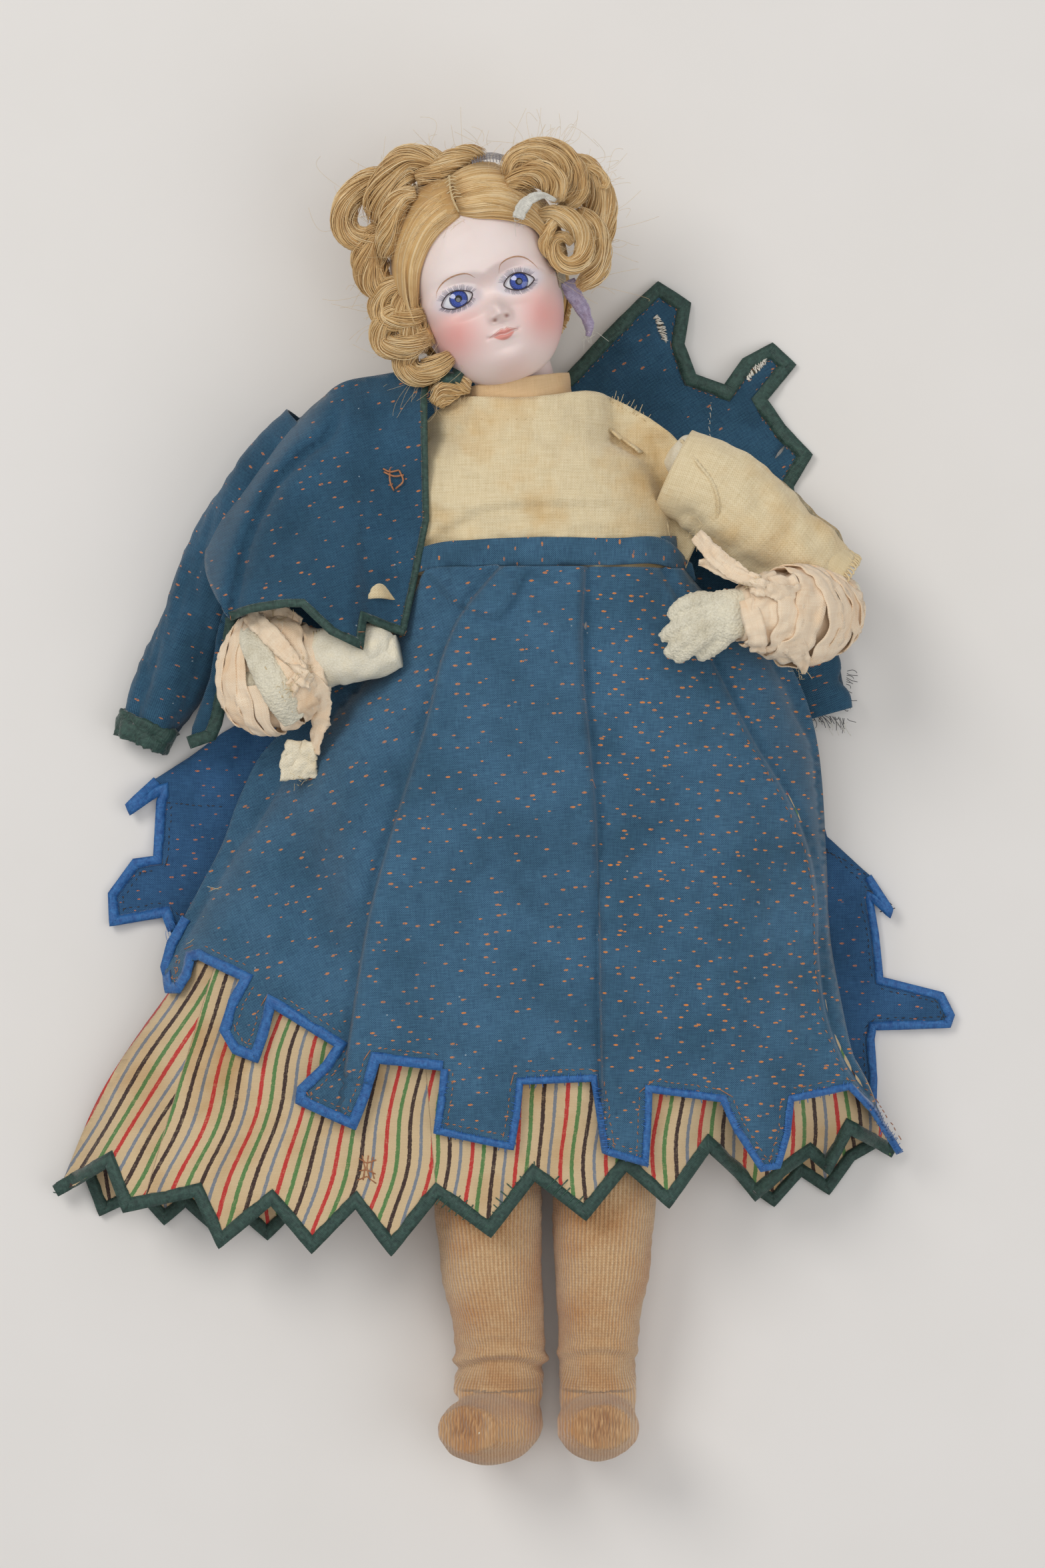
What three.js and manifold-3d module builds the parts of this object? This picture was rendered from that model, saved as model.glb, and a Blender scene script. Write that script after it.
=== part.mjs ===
// A dressed porcelain-headed doll of about 44 cm, lying on its back, in millimetres.
// +X is the doll's left side, +Y points to the crown of the head and +Z away from the surface it lies on.
// The origin is under the middle of the doll, on that surface.
import * as THREE from "three";
import { mergeVertices } from "three/addons/utils/BufferGeometryUtils.js";
import Module from "manifold-3d";

const wasm = await Module();
wasm.setup();

// ---- Driving dimensions ----
const GAP = 0.3; // between pieces that touch
const CLOTH = 1.0; // thickness of a layer of cloth
const SHELL = 2.6; // wall of the fired porcelain

const NECK = new THREE.Vector3(3, 136, 32); // centre of the ball at the foot of the neck
const HEAD_LEAN = THREE.MathUtils.degToRad(17); // the head leans to the doll's right
const NECK_BALL = 12;
const HEAD = { x: 26, y: 34.5, z: 30, up: 38, forward: 6 }; // half sizes and centre of the skull

const LEFT_SHOULDER = new THREE.Vector3(60, 112, 33);
const LEFT_ELBOW = new THREE.Vector3(109, 69, 27);
const LEFT_WRIST = new THREE.Vector3(77, 63, 66);
const LEFT_FINGERTIPS = new THREE.Vector3(50.5, 53, 71);

const RIGHT_SHOULDER = new THREE.Vector3(-53, 112, 33);
const RIGHT_ELBOW = new THREE.Vector3(-43, 52, 50);
const RIGHT_WRIST = new THREE.Vector3(-66, 47, 41);
const RIGHT_FINGERTIPS = new THREE.Vector3(-88, 39, 34);

const HIP_LINE = new THREE.Vector3(14, -8, 28); // the crease where the doll sits down
const SEAT_ROLL = 21; // radius of the seat about that crease
const LEG_GAP = 19; // from the body's middle to the middle of each leg
const KNEE = { y: -98, z: 23 };
const ANKLE_Y = -178;

// ---- Materials ----
const paint = (color, roughness, metalness = 0) => new THREE.MeshStandardMaterial({ color, roughness, metalness });
const BISQUE = paint(0xf3dcd4, 0.45);
const KID = paint(0xe4ddc6, 0.8);
const GLASS = paint(0x3a55b5, 0.05);
const PLASTER = paint(0xe9e4da, 0.9);
const CORK = paint(0xb98a5a, 0.95);
const HAIR = paint(0xcfa766, 0.6);
const GAUZE = paint(0xcfc3a6, 0.9);
const LINEN = paint(0xe6d6ae, 0.9);
const WOOL = paint(0x2f5f86, 0.85);
const BLUE_RIBBON = paint(0x1f63b8, 0.5);
const GREEN_RIBBON = paint(0x22453f, 0.5);
const TICKING = paint(0xdcc093, 0.9);
const KNIT = paint(0xd8aa72, 0.95);
const RAG = paint(0xf2cfa6, 0.95);
const WOOD = paint(0x9a7448, 0.7);
const STEEL = paint(0x8d9096, 0.35, 1);

// ---- Solids ----
function solid(geometry) {
  const bare = geometry.index ? geometry.toNonIndexed() : geometry.clone();
  bare.deleteAttribute("normal");
  bare.deleteAttribute("uv");
  const merged = mergeVertices(bare, 1e-4);
  return new wasm.Manifold(
    new wasm.Mesh({
      numProp: 3,
      vertProperties: merged.attributes.position.array,
      triVerts: new Uint32Array(merged.index.array),
    }),
  );
}

function geometryOf(manifold) {
  const { numProp, numVert, vertProperties, triVerts } = manifold.getMesh();
  const position = new Float32Array(numVert * 3);
  for (let i = 0; i < numVert; i++) position.set(vertProperties.subarray(i * numProp, i * numProp + 3), i * 3);
  return new THREE.BufferGeometry()
    .setAttribute("position", new THREE.BufferAttribute(position, 3))
    .setIndex(new THREE.BufferAttribute(triVerts, 1));
}

// The largest body left by a cut, without its crumbs.
const mainBody = (shape) => shape.decompose().reduce((a, b) => (b.volume() > a.volume() ? b : a));

const doll = new THREE.Group();

function piece(parent, name, material, shape) {
  const geometry = shape.isBufferGeometry ? shape : geometryOf(shape);
  const mesh = new THREE.Mesh(geometry, material);
  mesh.name = name;
  parent.add(mesh);
  return mesh;
}

function moved(geometry, x, y, z) {
  return geometry.translate(x, y, z);
}

const ball = (centre, radius, sides = 16) =>
  solid(moved(new THREE.SphereGeometry(radius, sides, sides / 2), centre.x, centre.y, centre.z));

const block = (lowX, highX, lowY, highY, lowZ, highZ) =>
  solid(
    moved(
      new THREE.BoxGeometry(highX - lowX, highY - lowY, highZ - lowZ),
      (lowX + highX) / 2,
      (lowY + highY) / 2,
      (lowZ + highZ) / 2,
    ),
  );

// A stuffed limb, tube or garment: rings of half width and half height w, h about the points of a spine.
// grow makes each ring larger, and a flat ring closes each end.
const ring = (x, y, z, w, h = w) => ({ at: new THREE.Vector3(x, y, z), w, h });

const NOWHERE = new THREE.Vector3();

function limb(rings, { sides = 14, grow = 0 } = {}) {
  const profile = [new THREE.Vector2(0, 0)];
  rings.forEach((_, i) => profile.push(new THREE.Vector2(1, i)));
  profile.push(new THREE.Vector2(0, rings.length - 1));
  const geometry = new THREE.LatheGeometry(profile, sides);
  const place = geometry.attributes.position;
  const ends = [rings[0].at, rings[1].at, rings.at(-2).at, rings.at(-1).at];
  const before = ends[0].clone().sub(ends[1]).setLength(Math.max(grow, 0));
  const after = ends[3].clone().sub(ends[2]).setLength(Math.max(grow, 0));
  const whole = ends[3].clone().sub(ends[0]).normalize();
  const upright = Math.abs(whole.z) > 0.8 ? new THREE.Vector3(0, 1, 0) : new THREE.Vector3(0, 0, 1);
  const frames = rings.map((_, i) => {
    const along = rings[Math.min(i + 1, rings.length - 1)].at.clone().sub(rings[Math.max(i - 1, 0)].at).normalize();
    const side = new THREE.Vector3().crossVectors(upright, along).normalize();
    return { side, up: new THREE.Vector3().crossVectors(along, side) };
  });
  for (let i = 0; i < place.count; i++) {
    const station = Math.round(place.getY(i));
    const { at, w, h } = rings[station];
    const { side, up } = frames[station];
    const point = at
      .clone()
      .add(station === 0 ? before : NOWHERE)
      .add(station === rings.length - 1 ? after : NOWHERE)
      .addScaledVector(side, place.getX(i) * (w + grow))
      .addScaledVector(up, place.getZ(i) * (h + grow));
    place.setXYZ(i, point.x, point.y, point.z);
  }
  const made = solid(geometry);
  return made.volume() < 0 ? solid(flipped(geometry)) : made;
}

function flipped(geometry) {
  const index = geometry.index.array;
  for (let i = 0; i < index.length; i += 3) [index[i + 1], index[i + 2]] = [index[i + 2], index[i + 1]];
  return geometry;
}

// The same limb as a sleeve: open at both ends, with walls that grow outwards from inner to outer.
function tube(rings, inner, outer, sides = 12) {
  const first = rings[0].at.clone().sub(rings[1].at).setLength(outer + 2);
  const last = rings.at(-1).at.clone().sub(rings.at(-2).at).setLength(outer + 2);
  const longer = rings.map((r) => ({ ...r, at: r.at.clone() }));
  longer[0].at.add(first);
  longer.at(-1).at.add(last);
  return limb(rings, { sides, grow: outer }).subtract(limb(longer, { sides, grow: inner }));
}

// Points from one place to another in equal steps, with the radii given for each.
function taper(from, to, radii) {
  return radii.map(([w, h], i) => {
    const at = from.clone().lerp(to, i / (radii.length - 1));
    return ring(at.x, at.y, at.z, w, h);
  });
}

// A draped sheet: surface(u, v) gives the underside, and the sheet is as thick as CLOTH straight up.
function drape(across, down, surface, thickness = CLOTH) {
  const geometry = new THREE.BoxGeometry(1, 1, 1, across, down, 1);
  const place = geometry.attributes.position;
  for (let i = 0; i < place.count; i++) {
    const point = surface(place.getX(i) + 0.5, 0.5 - place.getY(i));
    place.setXYZ(i, point.x, point.y, point.z + (place.getZ(i) > 0 ? thickness : 0));
  }
  return solid(geometry);
}

// A flat piece cut from an outline and laid at a height.
function laid(outline, low, thickness = CLOTH) {
  const shape = new THREE.Shape(outline.map(([x, y]) => new THREE.Vector2(x, y)));
  return solid(moved(new THREE.ExtrudeGeometry(shape, { depth: thickness, bevelEnabled: false }), 0, 0, low));
}

// A strip of ribbon that follows points, flat side up.
function strip(points, width, thickness) {
  const made = points.slice(1).map((end, i) => {
    const start = points[i];
    const along = end.clone().sub(start);
    const flat = new THREE.BoxGeometry(width, along.length() + width * 0.3, thickness);
    const turn = new THREE.Matrix4().makeBasis(
      new THREE.Vector3().crossVectors(along, new THREE.Vector3(0, 0, 1)).normalize(),
      along.clone().normalize(),
      new THREE.Vector3().crossVectors(new THREE.Vector3().crossVectors(along, new THREE.Vector3(0, 0, 1)), along).normalize(),
    );
    turn.setPosition(start.clone().add(end).multiplyScalar(0.5));
    return solid(flat.applyMatrix4(turn));
  });
  return made.reduce((a, b) => a.add(b));
}

// ---- The body's middle line and outline ----
const spineX = (y) => NECK.x + ((NECK.y - y) / (NECK.y - HIP_LINE.y)) * (HIP_LINE.x - NECK.x);
const BODY_Z = 33;
const BODY = [
  [118, 20, 13],
  [112, 32, 18],
  [100, 40, 21.5],
  [84, 41, 21.5],
  [58, 42, 21.5],
  [28, 43, 21],
  [4, 43, 20],
  [-6, 41, 19],
];
const bodyRings = (rows) => rows.map(([y, w, h]) => ring(spineX(y), y, y > 50 ? BODY_Z : 30, w, h));

// The body between two heights, for what is worn on it.
function bodyPart(high, low) {
  const at = (y) => {
    const i = BODY.findIndex((row) => row[0] <= y);
    const [above, below] = [BODY[Math.max(i - 1, 0)], BODY[i]];
    const t = above === below ? 0 : (above[0] - y) / (above[0] - below[0]);
    return [y, above[1] + (below[1] - above[1]) * t, above[2] + (below[2] - above[2]) * t];
  };
  return bodyRings([at(high), ...BODY.filter(([y]) => y < high && y > low), at(low)]);
}

// ---- Shoulder plate, torso and blouse ----
function shoulderCuts(radius) {
  return [LEFT_SHOULDER, RIGHT_SHOULDER].map((at) => ball(at, radius));
}

const ROOM = 14.5; // radius kept free for each shoulder to turn in
const plateWall = (inner, outer) => tube(bodyPart(118, 97), inner, outer, 20);

// A shaft along the leaning axis of the neck, between two distances from the ball's centre.
function neckShaft(radius, high, low) {
  const shaft = new THREE.CylinderGeometry(radius, radius, high - low, 18).translate(0, (high + low) / 2, 0);
  return solid(shaft.rotateZ(HEAD_LEAN).translate(NECK.x, NECK.y, NECK.z));
}

// Turned round the upright line through the neck's ball.
const aroundNeck = (profile) =>
  solid(
    new THREE.LatheGeometry(
      profile.map(([r, y]) => new THREE.Vector2(r, y)),
      20,
    ).translate(NECK.x, NECK.y, NECK.z),
  );

function shoulderPlate() {
  const cup = aroundNeck([
    [0, -18],
    [17, -18],
    [15.4, -4],
    [15.4, -1],
    [0, -1],
  ]);
  const inside = limb(bodyRings(BODY), { sides: 20, grow: GAP });
  const cuts = [inside, ball(NECK, NECK_BALL + 0.7), neckShaft(2.2, 0, -30), neckShaft(6.5, -15.6, -30)];
  return [...cuts, ...shoulderCuts(ROOM)].reduce((a, b) => a.subtract(b), plateWall(GAP, SHELL).add(cup));
}

function torso() {
  const roll = solid(
    new THREE.CylinderGeometry(SEAT_ROLL + GAP + 0.4, SEAT_ROLL + GAP + 0.4, 120, 32)
      .rotateZ(Math.PI / 2)
      .translate(HIP_LINE.x, HIP_LINE.y, HIP_LINE.z),
  );
  const crease = block(-100, 100, -30, 8, 44.5, 90);
  const cuts = [neckShaft(8, 0, -42), roll, crease, ...shoulderCuts(ROOM)];
  return cuts.reduce((a, b) => a.subtract(b), limb(bodyRings(BODY), { sides: 20 }));
}

function blouse() {
  const made = tube(bodyPart(116, 78), SHELL + 0.8, SHELL + 2.4, 20);
  const neck = aroundNeck([
    [0, -30],
    [18.2, -30],
    [18.2, 20],
    [0, 20],
  ]);
  const plate = limb(bodyPart(118, 97), { sides: 20, grow: SHELL + GAP });
  return [neck, plate, ...shoulderCuts(ROOM)].reduce((a, b) => a.subtract(b), made);
}

function blouseCollar() {
  const made = aroundNeck([
    [16.6, -8],
    [17.8, -8],
    [17.6, 0.5],
    [16.4, 0.5],
    [16.6, -8],
  ]);
  return made.subtract(limb(bodyPart(118, 97), { sides: 20, grow: SHELL + GAP }));
}

const waistband = () => tube(bodyPart(84, 77), SHELL + 0.8, SHELL + 1.6, 20).intersect(block(-100, 100, 76, 84.7, 0, 90));

piece(doll, "torso_body", KID, torso());
piece(doll, "shoulder_plate", BISQUE, shoulderPlate());
piece(doll, "blouse_bodice", LINEN, blouse().subtract(block(-100, 100, 40, 85, 0, 90)));
piece(doll, "blouse_collar", LINEN, blouseCollar());
piece(doll, "skirt_waistband", WOOL, waistband());

// ---- Neck fastening: a peg through the ball and cup, drawn down by a spring and a nut ----
const headFrame = new THREE.Group();
headFrame.position.copy(NECK);
headFrame.rotation.z = HEAD_LEAN;
doll.add(headFrame);

const PEG = 1.5;
const NUT_Y = -32;

function neckPeg() {
  const profile = [
    [0, 4],
    [6, 4],
    [6, 1],
    [PEG, -1],
    [PEG, NUT_Y - 3],
    [0, NUT_Y - 3],
  ].map(([r, y]) => new THREE.Vector2(r, y));
  return new THREE.LatheGeometry(profile.reverse(), 14);
}

function neckSpring() {
  const turns = 4;
  class Helix extends THREE.Curve {
    getPoint(t, target = new THREE.Vector3()) {
      const angle = t * turns * Math.PI * 2;
      return target.set(Math.cos(angle) * 4.4, NUT_Y + 3.6 + t * 11.6, Math.sin(angle) * 4.4);
    }
  }
  const wire = new THREE.Shape().absarc(0, 0, 0.55, 0, Math.PI * 2);
  return new THREE.ExtrudeGeometry(wire, { steps: turns * 9, curveSegments: 2, extrudePath: new Helix() });
}

function neckNut() {
  const profile = [
    [PEG + GAP, NUT_Y],
    [6.2, NUT_Y],
    [6.2, NUT_Y + 2.6],
    [PEG + GAP, NUT_Y + 2.6],
    [PEG + GAP, NUT_Y],
  ].map(([r, y]) => new THREE.Vector2(r, y));
  return new THREE.LatheGeometry(profile, 16);
}

piece(headFrame, "neck_peg", WOOD, neckPeg());
piece(headFrame, "neck_spring", STEEL, neckSpring());
piece(headFrame, "neck_nut", WOOD, neckNut());

// ---- Head: a hollow porcelain shell with an open crown and cut eyes ----
// Half sizes grow by offset, and the jaw narrows below the eyes.
function skull(offset, sides = 14) {
  const geometry = new THREE.SphereGeometry(1, sides, Math.round(sides * 0.7));
  const place = geometry.attributes.position;
  for (let i = 0; i < place.count; i++) {
    const [x, y, z] = [place.getX(i), place.getY(i), place.getZ(i)];
    const jaw = y < 0 ? 1 - 0.22 * y * y : 1;
    place.setXYZ(
      i,
      x * (HEAD.x + offset) * jaw,
      y * (HEAD.y + offset) + HEAD.up,
      z * (HEAD.z + offset) * (y < 0 && z < 0 ? 1 - 0.3 * y * y : 1) + HEAD.forward,
    );
  }
  return solid(geometry);
}

const EYE = { x: 10.2, y: HEAD.up - 8, z: HEAD.forward + 20, r: 8 };
const eyeAt = (side) => new THREE.Vector3(side * EYE.x, EYE.y, EYE.z);

// The crown is cut off by a plane that leans back, so that the pate closes the top and back of the head.
function crownCut(offset) {
  const box = new THREE.BoxGeometry(120, 60, 120).translate(0, 30 + offset, 0).rotateX(-0.7);
  return solid(box.translate(0, HEAD.up + 16, HEAD.forward - 8));
}

function headShell() {
  const neck = solid(new THREE.CylinderGeometry(NECK_BALL - 1, NECK_BALL - 1, 22, 20).translate(0, 11, 0));
  const foot = ball(new THREE.Vector3(0, 0, 0), NECK_BALL);
  const inside = solid(new THREE.CylinderGeometry(NECK_BALL - 1 - SHELL, NECK_BALL - 1 - SHELL, 24, 16).translate(0, 9, 0));
  const hole = solid(new THREE.CylinderGeometry(3, 3, 30, 10).translate(0, -6, 0));
  const sockets = [1, -1].map((side) => ball(eyeAt(side), EYE.r + GAP, 12));
  const outer = skull(0).add(neck).add(foot);
  return [skull(-SHELL), inside, hole, crownCut(0), ...sockets].reduce((a, b) => a.subtract(b), outer);
}

function corkPate() {
  return skull(0).subtract(skull(-4)).intersect(crownCut(GAP));
}

function eye(side) {
  return ball(eyeAt(side), EYE.r, 12);
}

function eyePlaster() {
  const bar = limb([ring(-17, EYE.y, EYE.z - 6, 6, 5), ring(17, EYE.y, EYE.z - 6, 6, 5)], { sides: 10 });
  const eyes = [1, -1].map((side) => ball(eyeAt(side), EYE.r + GAP, 12));
  return eyes.reduce((a, b) => a.subtract(b), bar).intersect(skull(-SHELL - GAP));
}

piece(headFrame, "head_shell", BISQUE, headShell());
piece(headFrame, "cork_pate", CORK, corkPate());
piece(headFrame, "left_eye", GLASS, eye(1));
piece(headFrame, "right_eye", GLASS, eye(-1));
piece(headFrame, "eye_plaster", PLASTER, eyePlaster());

// ---- Wig: a cap with two brushed bands over the brow, a back and curls at the sides ----
const SCALP = GAP;
const CAP = SCALP + 0.9;

// What the wig leaves bare: the face, the jaw and the neck.
function faceWindow(offset) {
  const face = solid(new THREE.SphereGeometry(1, 24, 16).scale(24 - offset, 32 - offset, 40).translate(0, HEAD.up - 10, HEAD.forward + 32));
  const under = block(-60, 60, -30, HEAD.up - 26 - offset, -60, 60);
  return face.add(under);
}

const shellBetween = (inner, outer) => skull(outer).subtract(skull(inner));

function wigCap() {
  return shellBetween(SCALP, CAP).subtract(faceWindow(-2));
}

function wigBand(side) {
  const half = side > 0 ? block(GAP, 60, HEAD.up - 6, 120, HEAD.forward - 12, 60) : block(-60, -GAP, HEAD.up - 6, 120, HEAD.forward - 12, 60);
  return shellBetween(CAP + GAP, 6).subtract(faceWindow(0)).intersect(half);
}

function wigBack() {
  return shellBetween(CAP + GAP, 4.5).intersect(block(-60, 60, HEAD.up - 26, 120, -60, HEAD.forward - 12 - GAP));
}

// A cluster of curls outside the bands, from a few fat locks.
function curls(locks) {
  const made = locks.map((rings) => limb(rings.map((r) => ring(...r)), { sides: 10 })).reduce((a, b) => a.add(b));
  return made.subtract(skull(6 + GAP));
}

const LEFT_LOCKS = [
  [
    [12, 70, 14, 5],
    [20, 71, 18, 8],
    [31, 69, 20, 9],
    [41, 64, 18, 8],
    [46, 56, 14, 5],
  ],
  [
    [30, 66, 20, 6],
    [36, 54, 22, 10],
    [38, 40, 20, 10],
    [35, 28, 16, 7],
    [33, 22, 14, 4],
  ],
];
const RIGHT_LOCKS = [
  [
    [-6, 79, 10, 4],
    [-18, 78, 14, 8],
    [-32, 70, 16, 10],
    [-42, 56, 16, 9],
    [-38, 46, 16, 7],
  ],
  [
    [-32, 52, 16, 6],
    [-36, 40, 16, 9],
    [-35, 26, 14, 9],
    [-34, 14, 14, 10],
    [-30, 3, 15, 7],
  ],
];

const hairRibbon = (points, width) => strip(points.map(([x, y, z]) => new THREE.Vector3(x, y, z)), width, 0.6);

piece(headFrame, "wig_cap", GAUZE, wigCap());
piece(headFrame, "wig_band_left", HAIR, wigBand(1));
piece(headFrame, "wig_band_right", HAIR, wigBand(-1));
piece(headFrame, "wig_back", HAIR, wigBack());
piece(headFrame, "wig_curls_left", HAIR, curls(LEFT_LOCKS));
piece(headFrame, "wig_curls_right", HAIR, curls(RIGHT_LOCKS));
piece(
  headFrame,
  "hair_ribbon_pale",
  GAUZE,
  hairRibbon(
    [
      [16.4, 50, 36.5],
      [20.5, 52, 36],
      [25.5, 52, 35],
      [28.5, 49.5, 34],
    ],
    4,
  ),
);
piece(
  headFrame,
  "hair_ribbon_mauve",
  GAUZE,
  hairRibbon(
    [
      [28, 17, 11],
      [28.5, 12, 10],
      [27, 6, 9],
    ],
    6,
  ),
);

// ---- Arms ----
const LEFT_ARM = taper(LEFT_SHOULDER, LEFT_ELBOW, [
  [11.5, 11.5],
  [12, 12],
  [12.5, 12],
  [13, 12],
  [12, 10.5],
]);
const RIGHT_ARM = taper(RIGHT_SHOULDER, RIGHT_ELBOW, [
  [9.5, 9.5],
  [9.5, 9.5],
  [9.5, 9.5],
  [9, 9],
]);

// The bare leather arm inside a sleeve, which ends short of the elbow's pivot.
function upperArm(rings, thickness) {
  const inner = rings.map((r) => ({ ...r, w: thickness, h: thickness }));
  const at = rings[0].at;
  return limb(inner).add(ball(at, thickness, 16));
}

const elbowRoom = (at, radius) => ball(at, radius);

const sleeve = (rings, elbow) => tube(rings, -1.2, 0).subtract(elbowRoom(elbow, 11.9));

function laceCuff() {
  const away = LEFT_ELBOW.clone().sub(LEFT_SHOULDER).normalize();
  const start = LEFT_ELBOW.clone().addScaledVector(away, GAP);
  const end = LEFT_ELBOW.clone().addScaledVector(away, 5);
  return tube(taper(start, end, [[12, 10.5], [13.5, 12]]), -1, 0);
}

const FOREARM = 7.2;

function forearm(elbow, wrist, bulk) {
  return ball(elbow, FOREARM, 16).add(limb(taper(elbow, wrist, [[FOREARM, FOREARM], [bulk, FOREARM], [6, 5.5]])));
}

// A stitched leather hand: a palm and five stuffed fingers, of which the thumb lies along the palm.
function leftHand() {
  const along = LEFT_FINGERTIPS.clone().sub(LEFT_WRIST).normalize();
  const start = LEFT_WRIST.clone().addScaledVector(along, GAP);
  const knuckles = LEFT_WRIST.clone().addScaledVector(along, 13);
  const side = new THREE.Vector3().crossVectors(new THREE.Vector3(0, 0, 1), along).normalize();
  const palm = limb(taper(start, knuckles, [[6, 4], [9, 4.6], [9.5, 4]]));
  const fingers = [-1.5, -0.5, 0.5, 1.5].map((place, i) => {
    const from = knuckles.clone().addScaledVector(side, place * 4.6).addScaledVector(along, -2);
    const length = [13.5, 15.5, 16.5, 14][i];
    const to = from.clone().addScaledVector(along, length).addScaledVector(side, place * 1.2);
    return limb(taper(from, to, [[2.6, 2.8], [2.6, 2.6], [2, 1.8]]), { sides: 6 });
  });
  const thumbRoot = start.clone().addScaledVector(side, -7).addScaledVector(along, 3);
  const thumb = limb(
    taper(thumbRoot, thumbRoot.clone().addScaledVector(along, 13).addScaledVector(side, -4), [[3, 3], [3, 3], [2, 2]]),
    { sides: 6 },
  );
  return [...fingers, thumb].reduce((a, b) => a.add(b), palm);
}

// Rag wound round a forearm, thickest in the middle.
function bandage(from, to, radii, core) {
  return limb(taper(from, to, radii), { sides: 12 }).subtract(core);
}

const leftForearm = forearm(LEFT_ELBOW, LEFT_WRIST, 7);
const leftHandSolid = leftHand();
const leftGrown = limb(taper(LEFT_ELBOW, LEFT_WRIST, [[FOREARM, FOREARM], [7, FOREARM], [6, 5.5]]), { grow: GAP + 0.2 }).add(
  ball(LEFT_ELBOW, FOREARM + GAP + 0.2, 16),
);

function leftBandage() {
  const from = LEFT_ELBOW.clone().lerp(LEFT_WRIST, -0.04);
  const to = LEFT_ELBOW.clone().lerp(LEFT_WRIST, 0.98);
  const made = bandage(from, to, [[13, 12], [18, 13], [17.5, 12.5], [11, 9]], leftGrown);
  return made.subtract(leftHandRoom()).subtract(solidCuffRoom());
}

function leftHandRoom() {
  const along = LEFT_FINGERTIPS.clone().sub(LEFT_WRIST).normalize();
  return limb(taper(LEFT_WRIST.clone().addScaledVector(along, -0.5), LEFT_FINGERTIPS, [[12.5, 6], [12.5, 6]]));
}

// The space of the sleeve's end and its cuff, which the wrapping stays clear of.
function solidCuffRoom() {
  const away = LEFT_ELBOW.clone().sub(LEFT_SHOULDER).normalize();
  const from = LEFT_ELBOW.clone().addScaledVector(away, -40);
  const to = LEFT_ELBOW.clone().addScaledVector(away, 5 + GAP);
  return limb(taper(from, to, [[13.6, 13], [14.2, 13]]), { sides: 14 });
}

function leftTie() {
  const points = [
    [86, 79, 74],
    [79, 84, 73],
    [71, 90, 72],
    [64, 96, 72.5],
  ].map(([x, y, z]) => new THREE.Vector3(x, y, z));
  return strip(points, 6, 2);
}

piece(doll, "left_upper_arm", KID, upperArm(LEFT_ARM.slice(0, 4), 9).subtract(elbowRoom(LEFT_ELBOW, 11.8)));
piece(doll, "left_sleeve", LINEN, mainBody(sleeve(LEFT_ARM, LEFT_ELBOW).subtract(leftGrown)));
piece(doll, "left_lace_cuff", LINEN, laceCuff().subtract(leftGrown));
piece(doll, "left_forearm", KID, leftForearm);
piece(doll, "left_hand", KID, leftHandSolid.subtract(leftGrown));
piece(doll, "left_bandage", RAG, leftBandage());
piece(doll, "left_bandage_tie", RAG, leftTie().subtract(leftBandage()));

const RIGHT_REST = [[9, 6], [11, 6], [10, 4.5]];
const rightHandSolid = limb(taper(RIGHT_WRIST.clone().lerp(RIGHT_FINGERTIPS, 0.02), RIGHT_FINGERTIPS, RIGHT_REST));
const rightHandGrown = limb(taper(RIGHT_WRIST, RIGHT_FINGERTIPS, RIGHT_REST), { grow: GAP + 0.2 });
const rightForearm = forearm(RIGHT_ELBOW, RIGHT_WRIST, 7);

function rightBandage() {
  const from = RIGHT_WRIST.clone().lerp(RIGHT_FINGERTIPS, -0.18);
  const to = RIGHT_WRIST.clone().lerp(RIGHT_FINGERTIPS, 1.04);
  const arm = limb(taper(RIGHT_ELBOW, RIGHT_WRIST, [[FOREARM, FOREARM], [7, FOREARM], [6, 5.5]]), { grow: GAP + 0.2 });
  const window = block(-90, -74, 24, 56, RIGHT_FINGERTIPS.z + 3, 60);
  return bandage(from, to, [[13, 11], [19, 14.5], [18, 12.5]], rightHandGrown.add(arm)).subtract(window);
}

function rightTie() {
  const points = [
    [-68, 34, 40],
    [-62, 26, 42],
    [-63, 16, 40],
    [-72, 12, 36],
  ].map(([x, y, z]) => new THREE.Vector3(x, y, z));
  return strip(points, 7, 1.2);
}

piece(doll, "right_upper_arm", KID, upperArm(RIGHT_ARM, 7).subtract(elbowRoom(RIGHT_ELBOW, 12)));
piece(doll, "right_sleeve", LINEN, sleeve(RIGHT_ARM, RIGHT_ELBOW));
piece(doll, "right_forearm", KID, rightForearm);
piece(doll, "right_hand", KID, rightHandSolid.subtract(limb(taper(RIGHT_ELBOW, RIGHT_WRIST, [[8, 8], [7.4, 7], [6.4, 6]]))));
piece(doll, "right_bandage", RAG, rightBandage());
piece(doll, "right_bandage_tie", RAG, mainBody(rightTie().subtract(rightBandage())));

// ---- Seat and legs ----
function seat() {
  const roll = solid(
    new THREE.CylinderGeometry(SEAT_ROLL, SEAT_ROLL, 78, 28).rotateZ(Math.PI / 2).translate(HIP_LINE.x, HIP_LINE.y, HIP_LINE.z),
  );
  const lap = limb([ring(HIP_LINE.x, HIP_LINE.y, HIP_LINE.z - 1, 39, 19.5), ring(HIP_LINE.x, -33, 26, 38, 18.5)], { sides: 20 });
  return roll.add(lap);
}

const THIGH_TOP = -34;
const legX = (side) => HIP_LINE.x + side * LEG_GAP;

// A roll across the leg at the knee.
const kneeRoll = (x, radius, width) =>
  solid(new THREE.CylinderGeometry(radius, radius, width, 20).rotateZ(Math.PI / 2).translate(x, KNEE.y, KNEE.z));

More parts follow.
